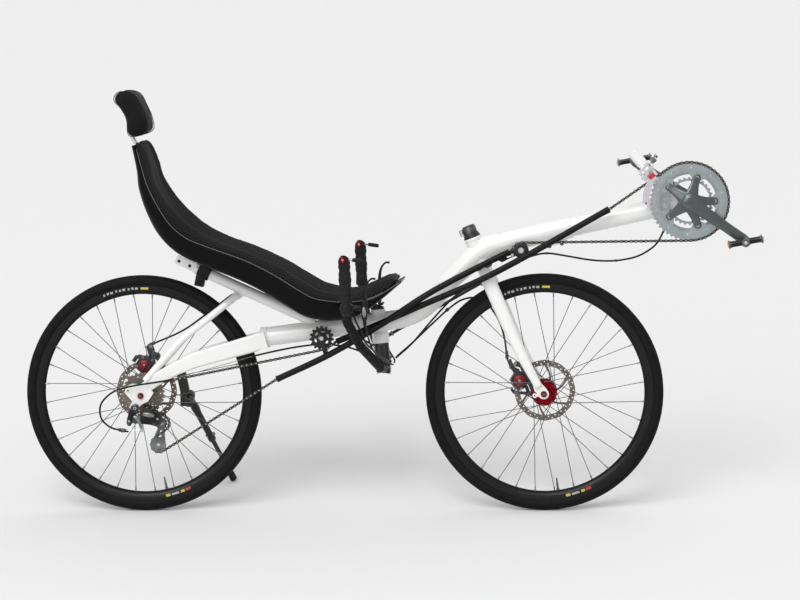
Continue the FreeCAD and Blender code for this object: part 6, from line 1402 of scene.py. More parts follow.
# actuating arm, up and forward, with the housing's stop
blk.append(plate([[(0, 428), (10, 436), (20, 430), (24, 418), (20, 402), (26, 388), (20, 380), (10, 388), (8, 402), (4, 416)]], 42.0, 47.0, 0.9, steps=2))
blk.append(plate([[(14, 408), (22, 418), (30, 412), (38, 398), (32, 390), (24, 396)]], 34.0, 40.0, 0.9, steps=2))
for q in ((31, 404, 40.0), (38, 388, 44.0)):
    blk.append(lathe([(0, 0), (8.0, 0), (8.8, 1.0), (8.8, 6.5), (8.0, 7.5), (4.4, 7.5), (4.0, 6.0), (0, 6.0)], (q[0], q[2], q[1]), (0, -1, 0), 32, close=False))
blk.append(lathe([(2.6, 0), (5.0, 0), (5.4, 1), (5.4, 9), (4.4, 11), (4.4, 18), (3.0, 20), (2.6, 20)], (6, 56.5, 428), Vector((0.86, 0.25, 0.45)), 22))
blk.append(rbox((-34, 44, 386), (-24, 60, 404), -35, 2.0, 3))
grey.append(bolt((13, 41.8, 428), (0, -1, 0), 4.4, 3.6))
grey.append(bolt((17, 41.8, 392), (0, -1, 0), 3.6, 3.0))
# bare inner wire from the stop round to the arm's end
wire_ = tube(catmull([(6, 56.5, 428), (-6, 54, 424), (-16, 50, 414), (-20, 44, 404)], 6), 0.9, 10)
piece("rear_caliper_body", blk, "frame", M["caliper"], replaces=("rear_caliper",), smooth=40)
piece("rear_caliper_knob", red, "frame", M["knob_red"], smooth=40)
piece("rear_caliper_bolts", grey, "frame", M["pad_grey"], smooth=30)
piece("rear_caliper_wire", [wire_], "frame", M["wire"] if "wire" in M else M["steel"], smooth=60)

# ---------------------------------------------------------------- seat
SEAT = [(-12, 962, 105), (2, 900, 125), (8, 852, 138), (28, 791, 148), (60, 731, 152), (108, 684, 152), (180, 649, 150),
        (262, 616, 150), (332, 581, 152), (390, 545, 155), (440, 518, 156), (497, 508, 154), (540, 511, 148),
        (580, 525, 138), (625, 555, 122), (684, 603, 88)]
DEPTH = [6, 13, 23, 33, 40, 45, 49, 52, 52, 52, 52, 50, 45, 34, 14, 1.0]
SWELL = [31, 39, 48, 60, 74, 77, 75, 76, 78, 80, 79, 74, 68, 59, 48, 32]
depth_line = [q.y for q in catmull([(i * 50.0, d, t) for i, (d, t) in enumerate(zip(DEPTH, SWELL))], 6)]
swell_line = [q.z for q in catmull([(i * 50.0, d, t) for i, (d, t) in enumerate(zip(DEPTH, SWELL))], 6)]
seat_line = catmull([(x, z, hw) for x, z, hw in SEAT], 6)
seat_len = [0.0]
for i_ in range(1, len(seat_line)):
    seat_len.append(seat_len[-1] + math.hypot(seat_line[i_].x - seat_line[i_ - 1].x, seat_line[i_].y - seat_line[i_ - 1].y))


def seat_at(i):
    """Point of the underside, direction towards the rider, half width and depth of the bucket there."""
    a, b = seat_line[max(i - 1, 0)], seat_line[min(i + 1, len(seat_line) - 1)]
    tx, tz = b.x - a.x, b.y - a.y
    q = math.hypot(tx, tz)
    return Vector((seat_line[i].x, 0, seat_line[i].y)), Vector((-tz / q, 0, tx / q)), seat_line[i].z, depth_line[i]


def smooth_loop(rows, per, closed):
    return [(v.x, v.y) for v in catmull([(w, h, 0) for w, h in rows], per, closed)]


def skin(loops, close_ends=True):
    """Mesh through equal loops of points (mm)."""
    n, m = len(loops), len(loops[0])
    verts = [q * MM for lp in loops for q in lp]
    faces = [(i * m + k, i * m + (k + 1) % m, (i + 1) * m + (k + 1) % m, (i + 1) * m + k) for i in range(n - 1) for k in range(m)]
    if close_ends:
        faces += [tuple(range(m - 1, -1, -1)), tuple((n - 1) * m + k for k in range(m))]
    me = bpy.data.meshes.new("skin")
    me.from_pydata([tuple(v) for v in verts], [], faces)
    bm = bmesh.new(); bm.from_mesh(me)
    bmesh.ops.triangulate(bm, faces=[f for f in bm.faces if len(f.verts) > 4])
    bmesh.ops.recalc_face_normals(bm, faces=bm.faces)
    bm.to_mesh(me); bm.free()
    return me


def shell_loop(i):
    c, up_, hw, d = seat_at(i)
    rows = [(-1.0, d), (-0.945, 0.40 * d), (-0.86, 0.10 * d), (-0.72, -0.4), (0.0, 0.0), (0.72, -0.4), (0.86, 0.10 * d), (0.945, 0.40 * d), (1.0, d)]
    out = smooth_loop([(f * hw, h) for f, h in rows], 7, False)
    # the rim rolls over, then the inside follows the outside at the shell's thickness
    inner = []
    for k in range(len(out) - 1, -1, -1):
        a, b = out[max(k - 1, 0)], out[min(k + 1, len(out) - 1)]
        tx, ty = b[0] - a[0], b[1] - a[1]
        q = math.hypot(tx, ty)
        inner.append((out[k][0] - ty / q * 4.2, out[k][1] + tx / q * 4.2))
    r_top = [(hw - 0.5, d + 1.6), (hw - 2.2, d + 2.3), (hw - 3.9, d + 1.4)]
    l_top = [(-hw + 3.9, d + 1.4), (-hw + 2.2, d + 2.3), (-hw + 0.5, d + 1.6)]
    loop = out + r_top + inner + l_top
    return [c + Vector((0, w, 0)) + up_ * h for w, h in loop]


N_S = len(seat_line)
shell_me = skin([shell_loop(i) for i in range(N_S)])
M["shell_in"] = M["shell"]
ribs = []
for w_ in (-0.42, 0.42):          # two shallow stiffening beads down the back of the shell
    line = []
    for i in range(6, N_S - 8, 2):
        c, up_, hw, d = seat_at(i)
        line.append(c + Vector((0, w_ * hw, 0)) + up_ * (d * 0.012 + 0.2))
    ribs.append(tube(line, [0.6] + [2.4] * (len(line) - 2) + [0.6], 12))
piece("seat_shell_visual", [shell_me] + ribs, "frame", M["shell"], replaces=("seat_shell",), smooth=50)
M["shell_edge"] = mat("shell_edge_grey", (0.07, 0.07, 0.072), rough=0.35, vary=0.1, grain=0.1, grain_scale=900)
# bare edge of the moulding across the front end and a little way back
edge_pts = []
for i in list(range(N_S - 9, N_S)):
    c, up_, hw, d = seat_at(i)
    edge_pts.append(c + Vector((0, -hw + 2.0, 0)) + up_ * (d + 1.6))
c, up_, hw, d = seat_at(N_S - 1)
lp = shell_loop(N_S - 1)
fwd = Vector((seat_line[-1].x - seat_line[-2].x, 0, seat_line[-1].y - seat_line[-2].y)).normalized()
edge_pts += [lp[k] + fwd * 0.2 + up_ * 2.0 for k in range(0, 57, 4)]
for i in reversed(range(N_S - 9, N_S)):
    c2_, up2, hw2, d2_ = seat_at(i)
    edge_pts.append(c2_ + Vector((0, hw2 - 2.0, 0)) + up2 * (d2_ + 1.6))
piece("seat_shell_edge", [tube(edge_pts, 1.9, 10)], "frame", M["shell_edge"], smooth=60)


# ---- pad: sewn cover over foam, puffed by simulated cloth
def pad_loop(i, grow, thin, beyond=0.0):
    """grow: how far the end has swollen (0 at the very end, 1 past it); thin: mm taken off the top."""
    c, up_, hw, d = seat_at(i)
    top = swell_line[i]
    c = c + Vector((up_.z, 0, -up_.x)) * beyond
    side = d + 0.45 * (top - d)
    lo = [(0.950, d + 2.6), (0.86, 0.16 * d + 9.0), (0.66, 7.4), (0.34, 7.4), (0.0, 7.4)]
    hi = [(0.0, 0.42 * top + 12), (0.30, 0.46 * top + 12), (0.58, top - 13), (0.74, top - 4), (0.87, top - 2), (0.962, side)]
    half = lo[::-1] + hi[::-1]
    left = [(-f, h) for f, h in reversed(half[1:-1])]
    out = smooth_loop([(f * hw, h) for f, h in half] + [(f * hw, h) for f, h in left], 4, True)
    pts = []
    for w, h in out:
        # the ends shrink to a rounded nose
        base = 9.0 + (d + 4 - 9.0) * min(1.0, abs(w) / hw) ** 9
        mid = base + 0.42 * (0.6 * top - base)
        hh = mid + (h - mid) * (0.12 + 0.88 * grow)
        ww = w * (0.93 + 0.07 * grow)
        pts.append(c + Vector((0, ww, 0)) + up_ * (hh - (thin if h > base + 6 else 0)))
    return pts


def pad_source():
    loops = []
    for k, (out_by, g) in enumerate(((-9.0, 0.0), (-7.5, 0.40), (-4.0, 0.66))):
        loops.append(pad_loop(0, g, 1.6, out_by))
    e_len, e_len2 = 20.0, 20.0
    for i in range(N_S):
        s = seat_len[i]
        a = min(1.0, (s + 9.0) / (e_len + 9.0))
        b = min(1.0, max(0.0, (seat_len[-1] - s - 5.0) / e_len2))
        g = min(math.sqrt(max(0.0, 1 - (1 - a) ** 2)), math.sqrt(max(0.0, 1 - (1 - b) ** 2)))
        loops.append(pad_loop(i, g, 1.6))
    return skin(loops)


def evaluated(ob):
    dg = bpy.context.evaluated_depsgraph_get()
    dg.update()
    return bpy.data.meshes.new_from_object(ob.evaluated_get(dg))


def puffed(me, voxel, pressure, cap_mm, pins=None, stiff=12.0):
    """Remesh evenly, let simulated cloth swell under pressure, cap each point's travel, then smooth."""
    ob = bpy.data.objects.new("swelling", me)
    bpy.context.scene.collection.objects.link(ob)
    md = ob.modifiers.new("even", "REMESH")
    md.mode, md.voxel_size, md.use_smooth_shade = "VOXEL", voxel * MM, True
    even = evaluated(ob)
    bpy.data.objects.remove(ob)
    ob = bpy.data.objects.new("swelling", even)
    bpy.context.scene.collection.objects.link(ob)
    if pins:
        g = ob.vertex_groups.new(name="held")
        for v in even.vertices:
            w = pins(v.co / MM)
            if w > 0:
                g.add([v.index], w, "REPLACE")
    md = ob.modifiers.new("cloth", "CLOTH")
    st = md.settings
    st.quality = 5
    st.mass = 0.3
    st.tension_stiffness = st.compression_stiffness = stiff
    st.shear_stiffness = stiff * 0.6
    st.bending_stiffness = 0.6
    st.use_pressure = True
    st.uniform_pressure_force = pressure
    st.effector_weights.gravity = 0.0
    if pins:
        st.vertex_group_mass = "held"
    md.collision_settings.use_collision = False
    md.point_cache.frame_start, md.point_cache.frame_end = 1, 20
    for f in range(1, 21):
        bpy.context.scene.frame_set(f)
    grown = evaluated(ob)
    bpy.context.scene.frame_set(1)
    work = even
    for v, w in zip(work.vertices, grown.vertices):
        d = w.co - v.co
        if d.length > cap_mm * MM:
            d = d.normalized() * (cap_mm * MM)
        if d.length < 1.0:
            v.co += d
    bpy.data.objects.remove(ob)
    ob = bpy.data.objects.new("swelling", work)
    bpy.context.scene.collection.objects.link(ob)
    md = ob.modifiers.new("relax", "SMOOTH"); md.factor, md.iterations = 0.5, 4
    md = ob.modifiers.new("fine", "SUBSURF"); md.levels = md.render_levels = 1
    out = evaluated(ob)
    bpy.data.objects.remove(ob)
    return out


def seat_uv(me):
    """Lengthways distance along the seat and sideways distance round the pad, in metres."""
    lay = me.uv_layers.new(name="UVMap")
    import numpy as np
    co = np.empty(len(me.vertices) * 3); me.vertices.foreach_get("co", co)
    co = co.reshape(-1, 3) / MM
    cx = np.array([q.x for q in seat_line]); cz = np.array([q.y for q in seat_line]); sl = np.array(seat_len)
    u = np.empty(len(co)); h = np.empty(len(co))
    best = np.full(len(co), 1e18)
    for i in range(len(cx) - 1):
        ax_, az_, dx_, dz_ = cx[i], cz[i], cx[i + 1] - cx[i], cz[i + 1] - cz[i]
        L2 = dx_ * dx_ + dz_ * dz_
        t = np.clip(((co[:, 0] - ax_) * dx_ + (co[:, 2] - az_) * dz_) / L2, 0, 1)
        ex, ez = co[:, 0] - ax_ - t * dx_, co[:, 2] - az_ - t * dz_
        dd = ex * ex + ez * ez
        k = dd < best
        best[k] = dd[k]; u[k] = (sl[i] + t * math.sqrt(L2))[k]; h[k] = np.sqrt(dd[k])
    sgn = np.where(co[:, 1] >= 0, 1.0, -1.0)
    ya = np.abs(co[:, 1])
    hwv = np.interp(u, sl, np.array([q.z for q in seat_line]))
    top = np.interp(u, sl, np.array(swell_line))
    w = np.clip((ya / hwv - 0.74) / 0.12, 0, 1)
    w = w * w * (3 - 2 * w)
    v = sgn * (ya + (h - top) * (0.5 * np.clip(ya / 40.0, 0, 1) * (1 - w) - 1.0 * w))
    vi = np.empty(len(me.loops), dtype=np.int64); me.loops.foreach_get("vertex_index", vi)
    uv = np.stack([u[vi], v[vi]], axis=1).astype(np.float32) * MM
    lay.data.foreach_set("uv", uv.ravel())


def knit_material():
    """Black spacer knit: staggered oval cells with raised threads between."""
    m = bpy.data.materials.new("spacer_knit")
    m.use_nodes = True
    nt = m.node_tree
    b = nt.nodes["Principled BSDF"]
    L = nt.links.new
    tc = nt.nodes.new("ShaderNodeTexCoord")
    sep = nt.nodes.new("ShaderNodeSeparateXYZ"); L(tc.outputs["UV"], sep.inputs[0])

    def sine(sock, period_mm, phase=0.0):
        a = nt.nodes.new("ShaderNodeMath"); a.operation = "MULTIPLY_ADD"
        a.inputs[1].default_value = 2 * math.pi / (period_mm * MM); a.inputs[2].default_value = phase
        L(sock, a.inputs[0])
        s = nt.nodes.new("ShaderNodeMath"); s.operation = "SINE"; L(a.outputs[0], s.inputs[0])
        return s.outputs[0]
    su, sv = sine(sep.outputs["X"], 11.0), sine(sep.outputs["Y"], 13.0)
    pr = nt.nodes.new("ShaderNodeMath"); pr.operation = "MULTIPLY"; L(su, pr.inputs[0]); L(sv, pr.inputs[1])
    cell = nt.nodes.new("ShaderNodeMapRange"); cell.interpolation_type = "SMOOTHSTEP"
    cell.inputs["From Min"].default_value, cell.inputs["From Max"].default_value = 0.05, 0.55
    L(pr.outputs[0], cell.inputs["Value"])
    fine = nt.nodes.new("ShaderNodeTexNoise"); fine.inputs["Scale"].default_value = 1400; fine.inputs["Detail"].default_value = 3
    L(tc.outputs["Object"], fine.inputs["Vector"])
    drift = nt.nodes.new("ShaderNodeTexNoise"); drift.inputs["Scale"].default_value = 14; drift.inputs["Detail"].default_value = 4
    L(tc.outputs["Object"], drift.inputs["Vector"])
    # painted shade: the recessed cells are coloured darker than the raised threads, driven by the same mask that sinks
    # them
    ramp = nt.nodes.new("ShaderNodeValToRGB")
    ramp.color_ramp.elements[0].color = (0.017, 0.017, 0.019, 1)
    ramp.color_ramp.elements[1].color = (0.003, 0.003, 0.003, 1)
    L(cell.outputs["Result"], ramp.inputs["Fac"])
    mix = nt.nodes.new("ShaderNodeMix"); mix.data_type = "RGBA"; mix.blend_type = "MULTIPLY"; mix.inputs["Factor"].default_value = 0.35
    r2_ = nt.nodes.new("ShaderNodeValToRGB")
    r2_.color_ramp.elements[0].color = (0.6, 0.6, 0.6, 1); r2_.color_ramp.elements[1].color = (1, 1, 1, 1)
    L(drift.outputs["Fac"], r2_.inputs["Fac"]); L(ramp.outputs["Color"], mix.inputs["A"]); L(r2_.outputs["Color"], mix.inputs["B"])
    L(mix.outputs["Result"], b.inputs["Base Color"])
    b.inputs["Roughness"].default_value = 0.82
    b.inputs["Specular IOR Level"].default_value = 0.12
    b.inputs["Sheen Weight"].default_value = 0.03
    b.inputs["Sheen Roughness"].default_value = 0.45
    # raised threads: low in the cells, small loops along the ridges
    loops = sine(sep.outputs["X"], 1.8)
    ht = nt.nodes.new("ShaderNodeMath"); ht.operation = "MULTIPLY_ADD"; ht.inputs[1].default_value = -1.0
    L(cell.outputs["Result"], ht.inputs[0])
    lm = nt.nodes.new("ShaderNodeMath"); lm.operation = "MULTIPLY"; lm.inputs[1].default_value = 0.12; L(loops, lm.inputs[0])
    L(lm.outputs[0], ht.inputs[2])
    h2 = nt.nodes.new("ShaderNodeMath"); h2.operation = "MULTIPLY_ADD"; h2.inputs[1].default_value = 0.25
    L(fine.outputs["Fac"], h2.inputs[0]); L(ht.outputs[0], h2.inputs[2])
    bp = nt.nodes.new("ShaderNodeBump"); bp.inputs["Strength"].default_value = 0.9; bp.inputs["Distance"].default_value = 0.0011
    L(h2.outputs[0], bp.inputs["Height"]); L(bp.outputs["Normal"], b.inputs["Normal"])
    return m


def cloth_material(name, color, weave_mm=1.6):
    """Plain tight fabric with a fine crossed weave and soft nap."""
    m = mat(name, color, rough=0.8, vary=0.25, vary_scale=22, grain=0.0, sheen=0.04, spec=0.12)
    nt = m.node_tree
    b = nt.nodes["Principled BSDF"]
    L = nt.links.new
    tc = nt.nodes.new("ShaderNodeTexCoord")
    hs = []
    for axis in ("X", "BANDS_Z"):
        w = nt.nodes.new("ShaderNodeTexWave")
        w.wave_type = "BANDS"
        w.bands_direction = "X" if axis == "X" else "Z"
        w.inputs["Scale"].default_value = 1.0 / (weave_mm * MM) / 3.2
        w.inputs["Distortion"].default_value = 0.6
        L(tc.outputs["Object"], w.inputs["Vector"])
        hs.append(w.outputs["Fac"])
    mx = nt.nodes.new("ShaderNodeMath"); mx.operation = "MAXIMUM"; L(hs[0], mx.inputs[0]); L(hs[1], mx.inputs[1])
    bp = nt.nodes.new("ShaderNodeBump"); bp.inputs["Strength"].default_value = 0.45; bp.inputs["Distance"].default_value = 0.0003
    L(mx.outputs[0], bp.inputs["Height"]); L(bp.outputs["Normal"], b.inputs["Normal"])
    return m


M["knit"] = knit_material()
M["fabric"] = cloth_material("plain_black_fabric", (0.007, 0.007, 0.0075))
M["piping"] = mat("grey_piping", (0.15, 0.15, 0.16), rough=0.6, vary=0.12, grain=0.3, grain_scale=1500)


def pad_hold(p):
    """The underside is glued to the shell; the sewn edge holds part of the way."""
    best = min(range(0, N_S, 3), key=lambda i: (p.x - seat_line[i].x) ** 2 + (p.z - seat_line[i].y) ** 2)
    c, up_, hw, d = seat_at(best)
    h = (p - c).dot(up_)
    base = 9.0 + (d - 5) * min(1.0, abs(p.y) / hw) ** 9
    return 1.0 if h < base + 2.0 else 0.0


pad_me = puffed(pad_source(), 7.0, 4.0, 5.0, pins=pad_hold)
seat_uv(pad_me)
pad_ob = piece("seat_pad_visual", [pad_me], "frame", M["knit"], replaces=("seat_pad",), smooth=180)

# grey piping sewn round the pad's lower edge
pipe_line = []
inset = 4
ids = list(range(inset, N_S - inset))
for i in ids:
    c, up_, hw, d = seat_at(i)
    pipe_line.append(c + Vector((0, -hw * 0.985, 0)) + up_ * (d + 4.4))


def across(i, sgn):
    c, up_, hw, d = seat_at(i)
    out = []
    for f in (0.9, 0.78, 0.6, 0.35, 0.0, -0.35, -0.6, -0.78, -0.9):
        out.append(c + Vector((0, -sgn * f * hw, 0)) + up_ * (6.5 + (d - 2) * abs(f) ** 7 + (2.0 if i > 20 else 3.0)))
    return out


pipe_line += across(N_S - 5, 1)
for i in reversed(ids):
    c, up_, hw, d = seat_at(i)
    pipe_line.append(c + Vector((0, hw * 0.985, 0)) + up_ * (d + 4.4))
pipe_line += across(1, -1)
pipe_line = catmull(pipe_line, 2, True)
piece("seat_pad_piping", [tube(pipe_line, 0.75, 8, closed=True)], "frame", M["piping"], smooth=180)

# ---- headrest: curved foam block in a plain sewn cover
HEAD_REST = [(-58, 1092), (-45, 1102), (-8, 1096), (12, 1062), (25, 1030), (28, 1000), (8, 987), (-22, 987), (-28, 1030), (-44, 1060), (-60, 1078)]
hr_loop = [(q.x, q.y) for q in catmull([(x, z, 0) for x, z in HEAD_REST], 5, True)]
hcx, hcz = sum(q[0] for q in hr_loop) / len(hr_loop), sum(q[1] for q in hr_loop) / len(hr_loop)
hr_loops = []
for k in range(0, 25):
    y = -72.0 + 144.0 * k / 24
    edge = (72.0 - abs(y)) / 18.0
    g = math.sqrt(max(0.0, 1 - (1 - min(1.0, edge)) ** 2))
    s_ = 0.62 + 0.35 * g
    hr_loops.append([Vector((hcx + (x - hcx) * (0.965 if s_ > 0.96 else s_), y, hcz + (z - hcz) * (0.975 if s_ > 0.96 else 0.22 + 0.8 * s_))) for x, z in hr_loop])


def rest_hold(p):
    return 1.0 if (p.x < -24 - max(0.0, (p.z - 1030) * 0.42) + 1.5 and p.z < 1075) else 0.0


rest_me = puffed(skin(hr_loops), 5.0, 4.0, 3.0, pins=rest_hold)
rest_ob = piece("headrest_pad_visual", [rest_me], "frame", M["fabric"], replaces=("headrest_pad",), smooth=180)
# sewn seam round each side of the headrest
seams = []
for s_ in (-1, 1):
    ln = [Vector((hcx + (x - hcx) * 0.985, s_ * 60.0, hcz + (z - hcz) * 0.985)) for x, z in hr_loop]
    seams.append(tube(ln, 1.1, 8, closed=True))
piece("headrest_seams", seams, "frame", M["fabric"], smooth=180)

# headrest strap: bent flat bar, bolted to the back of the shell
strap_pts = catmull([(-22.6, 0, 990), (-20.8, 0, 981.5), (-17.0, 0, 973.5), (-9.4, 0, 962.0), (-0.6, 0, 932.8), (7.4, 0, 902.4)], 6)
sec_ = [(0.92, 1), (1, 0.5), (1, -0.5), (0.92, -1), (-0.92, -1), (-1, -0.5), (-1, 0.5), (-0.92, 1)]
strap_me = tube(strap_pts, [(12.0, 4.0 if k < 17 else 3.0) for k in range(len(strap_pts))], section=sec_)
rest_parts = [strap_me]
for s_ in (0.30, 0.75):
    c_ = Vector((-12, 0, 962)).lerp(Vector((2, 0, 900)), s_)
    rest_parts.append(bolt(c_ + Vector((-0.6, 0, 0)), (-0.976, 0, -0.22), 6.0, 2.6))
piece("headrest_strap_visual", rest_parts, "frame", M["alloy"], replaces=("headrest_bracket",), smooth=40)

# rear clamp under the shell: saddle plate, ring round the beam, hanging block with its bolts
beam_d = Vector((312.0, 0, -143.2)).normalized()
rc_parts = [rbox((146, -26, 645), (186, 26, 652), -24.7, 1.6, 3)]
ring_c = Vector((156, 0, 630.9))
rc_parts.append(lathe([(14.7, 0), (14.7, 24.2), (17.6, 24.2), (18.4, 23.4), (18.4, 0.8), (17.6, 0)], ring_c, beam_d, 48))
rc_parts.append(rbox((141, -14, 590), (166, 14, 636), -12, 2.6, 3))
for z_ in (600, 617):
    for s_ in (-1, 1):
        rc_parts.append(bolt((153.5 + (z_ - 613) * 0.21, 13.6 * s_, z_), (0, s_, 0), 4.2, 2.4))
for s_ in (-1, 1):
    rc_parts.append(rbox((150, min(s_ * 17.5, s_ * 22.0), 622), (182, max(s_ * 17.5, s_ * 22.0), 648), -24.7, 1.4, 2))
    for x_ in (157, 176):
        rc_parts.append(bolt((x_ - 1, s_ * 21.6, 635 - (x_ - 166) * 0.46), (0, s_, 0), 3.8, 3.0))
piece("seat_rear_clamp_visual", rc_parts, "frame", M["black_plastic"], replaces=("seat_rear_clamp",), smooth=40)

# front bracket: dished rubber puck on the pivot tube and two struts up to the shell
fb = [lathe([(0, 0), (15.5, 0), (16, 0.6), (16, 4.2), (14.8, 5.4), (12.0, 5.8), (10.4, 7.0), (0, 7.0)], (617, 0, 529), (-0.087, 0, 0.996), 40, close=False),
      rbox((600, -24, 534.5), (634, 24, 539.5), 25, 1.4, 3)]
for s_ in (-1, 1):
    fb.append(rod((612, s_ * 16, 534), (604, s_ * 20, 544), 5.0, 4.4, 18))
    fb.append(bolt((606, s_ * 20, 541), (0.3, 0, -1), 4.5, 3.0))
piece("seat_front_bracket_visual", fb, "frame", M["black_paint"], replaces=("seat_front_bracket",), smooth=40)

# ---------------------------------------------------------------- handlebar, grips, levers, shifters
BAR_C = PIVOT0 + PIVOT_DIR * 150.0
BAR = [(BAR_C.x, 0, BAR_C.z), (BAR_C.x - 2, 70, BAR_C.z + 2), (586.0, 215, 452.0), (557.0, 278, 520.0), (552.0, 285, 672.0)]


def rounded(pts, radii, step=6.0):
    """Straight runs joined by true arcs, sampled evenly enough for a smooth tube."""
    P_ = [Vector(q) for q in pts]
    out = [P_[0]]
    for i in range(1, len(P_) - 1):
        a, b = (P_[i] - P_[i - 1]), (P_[i + 1] - P_[i])
        la, lb = a.length, b.length
        a.normalize(); b.normalize()
        turn = a.angle(b)
        r = radii[i - 1]
        if turn < 1e-3 or r <= 0:
            out.append(P_[i].copy())
            continue
        t = r * math.tan(turn / 2)
        cap_ = 0.48 * min(la, lb)
        if t > cap_:
            t, r = cap_, cap_ / math.tan(turn / 2)
        p1, p2 = P_[i] - a * t, P_[i] + b * t
        mid = (b - a).normalized()
        centre = P_[i] + mid * (r / math.cos(turn / 2))
        n = max(4, int(math.degrees(turn) / 5))
        v1 = p1 - centre
        axis = v1.cross(p2 - centre).normalized()
        for k in range(n + 1):
            out.append(centre + Matrix.Rotation(turn * k / n, 3, axis) @ v1)
    out.append(P_[-1])
    # cut the long straights up
    fine = [out[0]]
    for q in out[1:]:
        d = (q - fine[-1]).length
        m = int(d // 40)
        base_ = fine[-1]
        for k in range(1, m + 1):
            fine.append(base_ + (q - base_) * (k / (m + 1)))
        fine.append(q)
    return fine


bar_line = rounded([(x, -y, z) for x, y, z in reversed(BAR)] + BAR[1:], [60, 60, 60, 30, 60, 60, 60])
M["bar_wrap"] = mat("bar_tape", (0.006, 0.0057, 0.006), rough=0.62, vary=0.2, grain=0.4, grain_scale=1100, spec=0.16)
M["bare_bar"] = mat("bar_black_anodised", (0.020, 0.019, 0.019), rough=0.32, metal=0.6, vary=0.15, scratch=0.1, spec=0.5)
# bare bar at the clamp, wrapped with the housings from there out to the levers
piece("handlebar_visual", [tube(bar_line, 11.1, 32)], "handlebars", M["bare_bar"], replaces=("handlebar",), smooth=60)
# spiral tape edges over the wrapped runs
for s_ in (-1, 1):
    run = rounded([(BAR_C.x - 2, 70 * s_, BAR_C.z + 2), (586.0, 215 * s_, 452.0), (557.0, 278 * s_, 520.0), (556.5, 278.7 * s_, 534.0)], [60, 60])
    dense = []
    for i in range(len(run) - 1):
        n = max(1, int((run[i + 1] - run[i]).length / 1.5))
        for k in range(n):
            dense.append(run[i] + (run[i + 1] - run[i]) * k / n)
    dense.append(run[-1])
    radii_, acc = [], 0.0
    for i, q in enumerate(dense):
        if i:
            acc += (dense[i] - dense[i - 1]).length
        f = (acc / 17.0) % 1.0
        radii_.append(11.75 + 0.85 * f ** 1.5 - (0.7 if acc < 2 else 0))
    piece("bar_tape_" + ("r" if s_ < 0 else "l"), [tube(dense, radii_, 28)], "handlebars", M["bar_wrap"], smooth=180)

# grips: soft tape wrapped over the ends, uneven, with the wider bulge low down
for s_ in (-1, 1):
    a, b = Vector((557, 278 * s_, 520)), Vector((552, 285 * s_, 672))
    d = (b - a).normalized()
    L_ = (b - a).length - 50.0
    n = 220
    pts_, rr = [], []
    for k in range(n + 1):
        q = L_ * k / n
        pts_.append(a + d * (50.0 + q))
        f = (q / 15.5) % 1.0
        body_r = 15.0 + 0.9 * math.sin(q * 0.13 + (1.1 if s_ > 0 else 0.3)) * math.exp(-((q - 55) / 60) ** 2) + 0.4 * math.sin(q * 0.37)
        end_ = min(1.0, min(q + 0.6, L_ - q + 0.6) / 3.0)
        rr.append(min(16.6, (body_r + 0.75 * f ** 1.4)) * (0.90 + 0.10 * math.sqrt(max(0.0, 1 - (1 - end_) ** 2))))
    tag = "left" if s_ > 0 else "right"
    piece("grip_%s_visual" % tag, [tube(pts_, rr, 40)], "handlebars", M["rubber"], replaces=("grip_" + tag,), smooth=180)

# bar-end shifters: silver pod on the bar's end, lever with a rubber tip, red cap facing the rider's side
sh_parts, sh_cap, sh_tip, sh_dark = [], [], [], []
for s_ in (-1, 1):
    a, b = Vector((557, 278 * s_, 520)), Vector((552, 285 * s_, 672))
    d = (b - a).normalized()
    e = b + d * 0.3
    # pod
    sh_dark.append(lathe([(0, 0), (14.6, 0), (15.2, 0.8), (15.2, 3.0), (14.4, 5.2), (13.2, 9.0), (11.2, 12.6), (8.2, 15.0), (4.0, 16.2), (0, 16.4)], e, d, 40, close=False))
    sh_parts.append(tube(catmull([e + d * 3 + Vector((13.2, -4, 0)), e + d * 10 + Vector((12.4, -3, 0)), e + d * 15.4 + Vector((6.0, -2, 0)), e + d * 17.0 + Vector((-2.0, -2, 0)), e + d * 15.0 + Vector((-9.0, -3, 0))], 5), [(6.6, 2.3)] * 21, 14))
    # round side cap: red ring with a screw in its middle, on the outer right side of each pod
    cpos = e + d * 6.5 + Vector((-3.0, -12.6, 0))
    sh_cap.append(lathe([(0, 0), (6.8, 0), (7.4, 0.8), (7.2, 2.2), (5.6, 3.0), (4.6, 2.3), (0, 2.3)], cpos, (0, -1, 0), 28, close=False))
    sh_parts.append(lathe([(0, 0), (3.2, 0), (3.2, 2.6), (2.6, 3.3), (1.6, 3.3), (1.5, 2.2), (0, 2.2)], cpos, (0, -1, 0), 16, close=False))
    # lever stalk
    p0, p1 = e + d * 9, e + d * 9 + Vector((46, 0, -7))
    dirn = (p1 - p0).normalized()
    stalk = catmull([p0 + dirn * 8, p0 + dirn * 14 + Vector((0, 0, 1.0)), p0 + dirn * 24, p0 + dirn * 30], 5)
    sh_parts.append(tube(stalk, [(4.4, 6.2), (4.4, 5.9), (4.3, 5.5), (4.1, 5.1), (4.0, 4.8), (3.9, 4.4)] + [(3.6, 4.0)] * (len(stalk) - 6), 14))
    tip = catmull([p0 + dirn * 21, p0 + dirn * 27, p0 + dirn * 40, p0 + dirn * 50], 5)
    nt_ = len(tip)
    sh_tip.append(tube(tip, [(4.7 + 0.5 * math.sin(math.pi * k / (nt_ - 1))) * (0.72 if k in (0, nt_ - 1) else 1.0) for k in range(nt_)], 16))
piece("shifter_pods", sh_parts, "handlebars", M["polished"], replaces=("bar_end_shifters",), smooth=40)
piece("shifter_caps", sh_cap, "handlebars", M["red_alloy"], smooth=40)
piece("shifter_tips", sh_tip, "handlebars", M["rubber"], smooth=60)
piece("shifter_bands", sh_dark, "handlebars", M["black_plastic"], smooth=40)

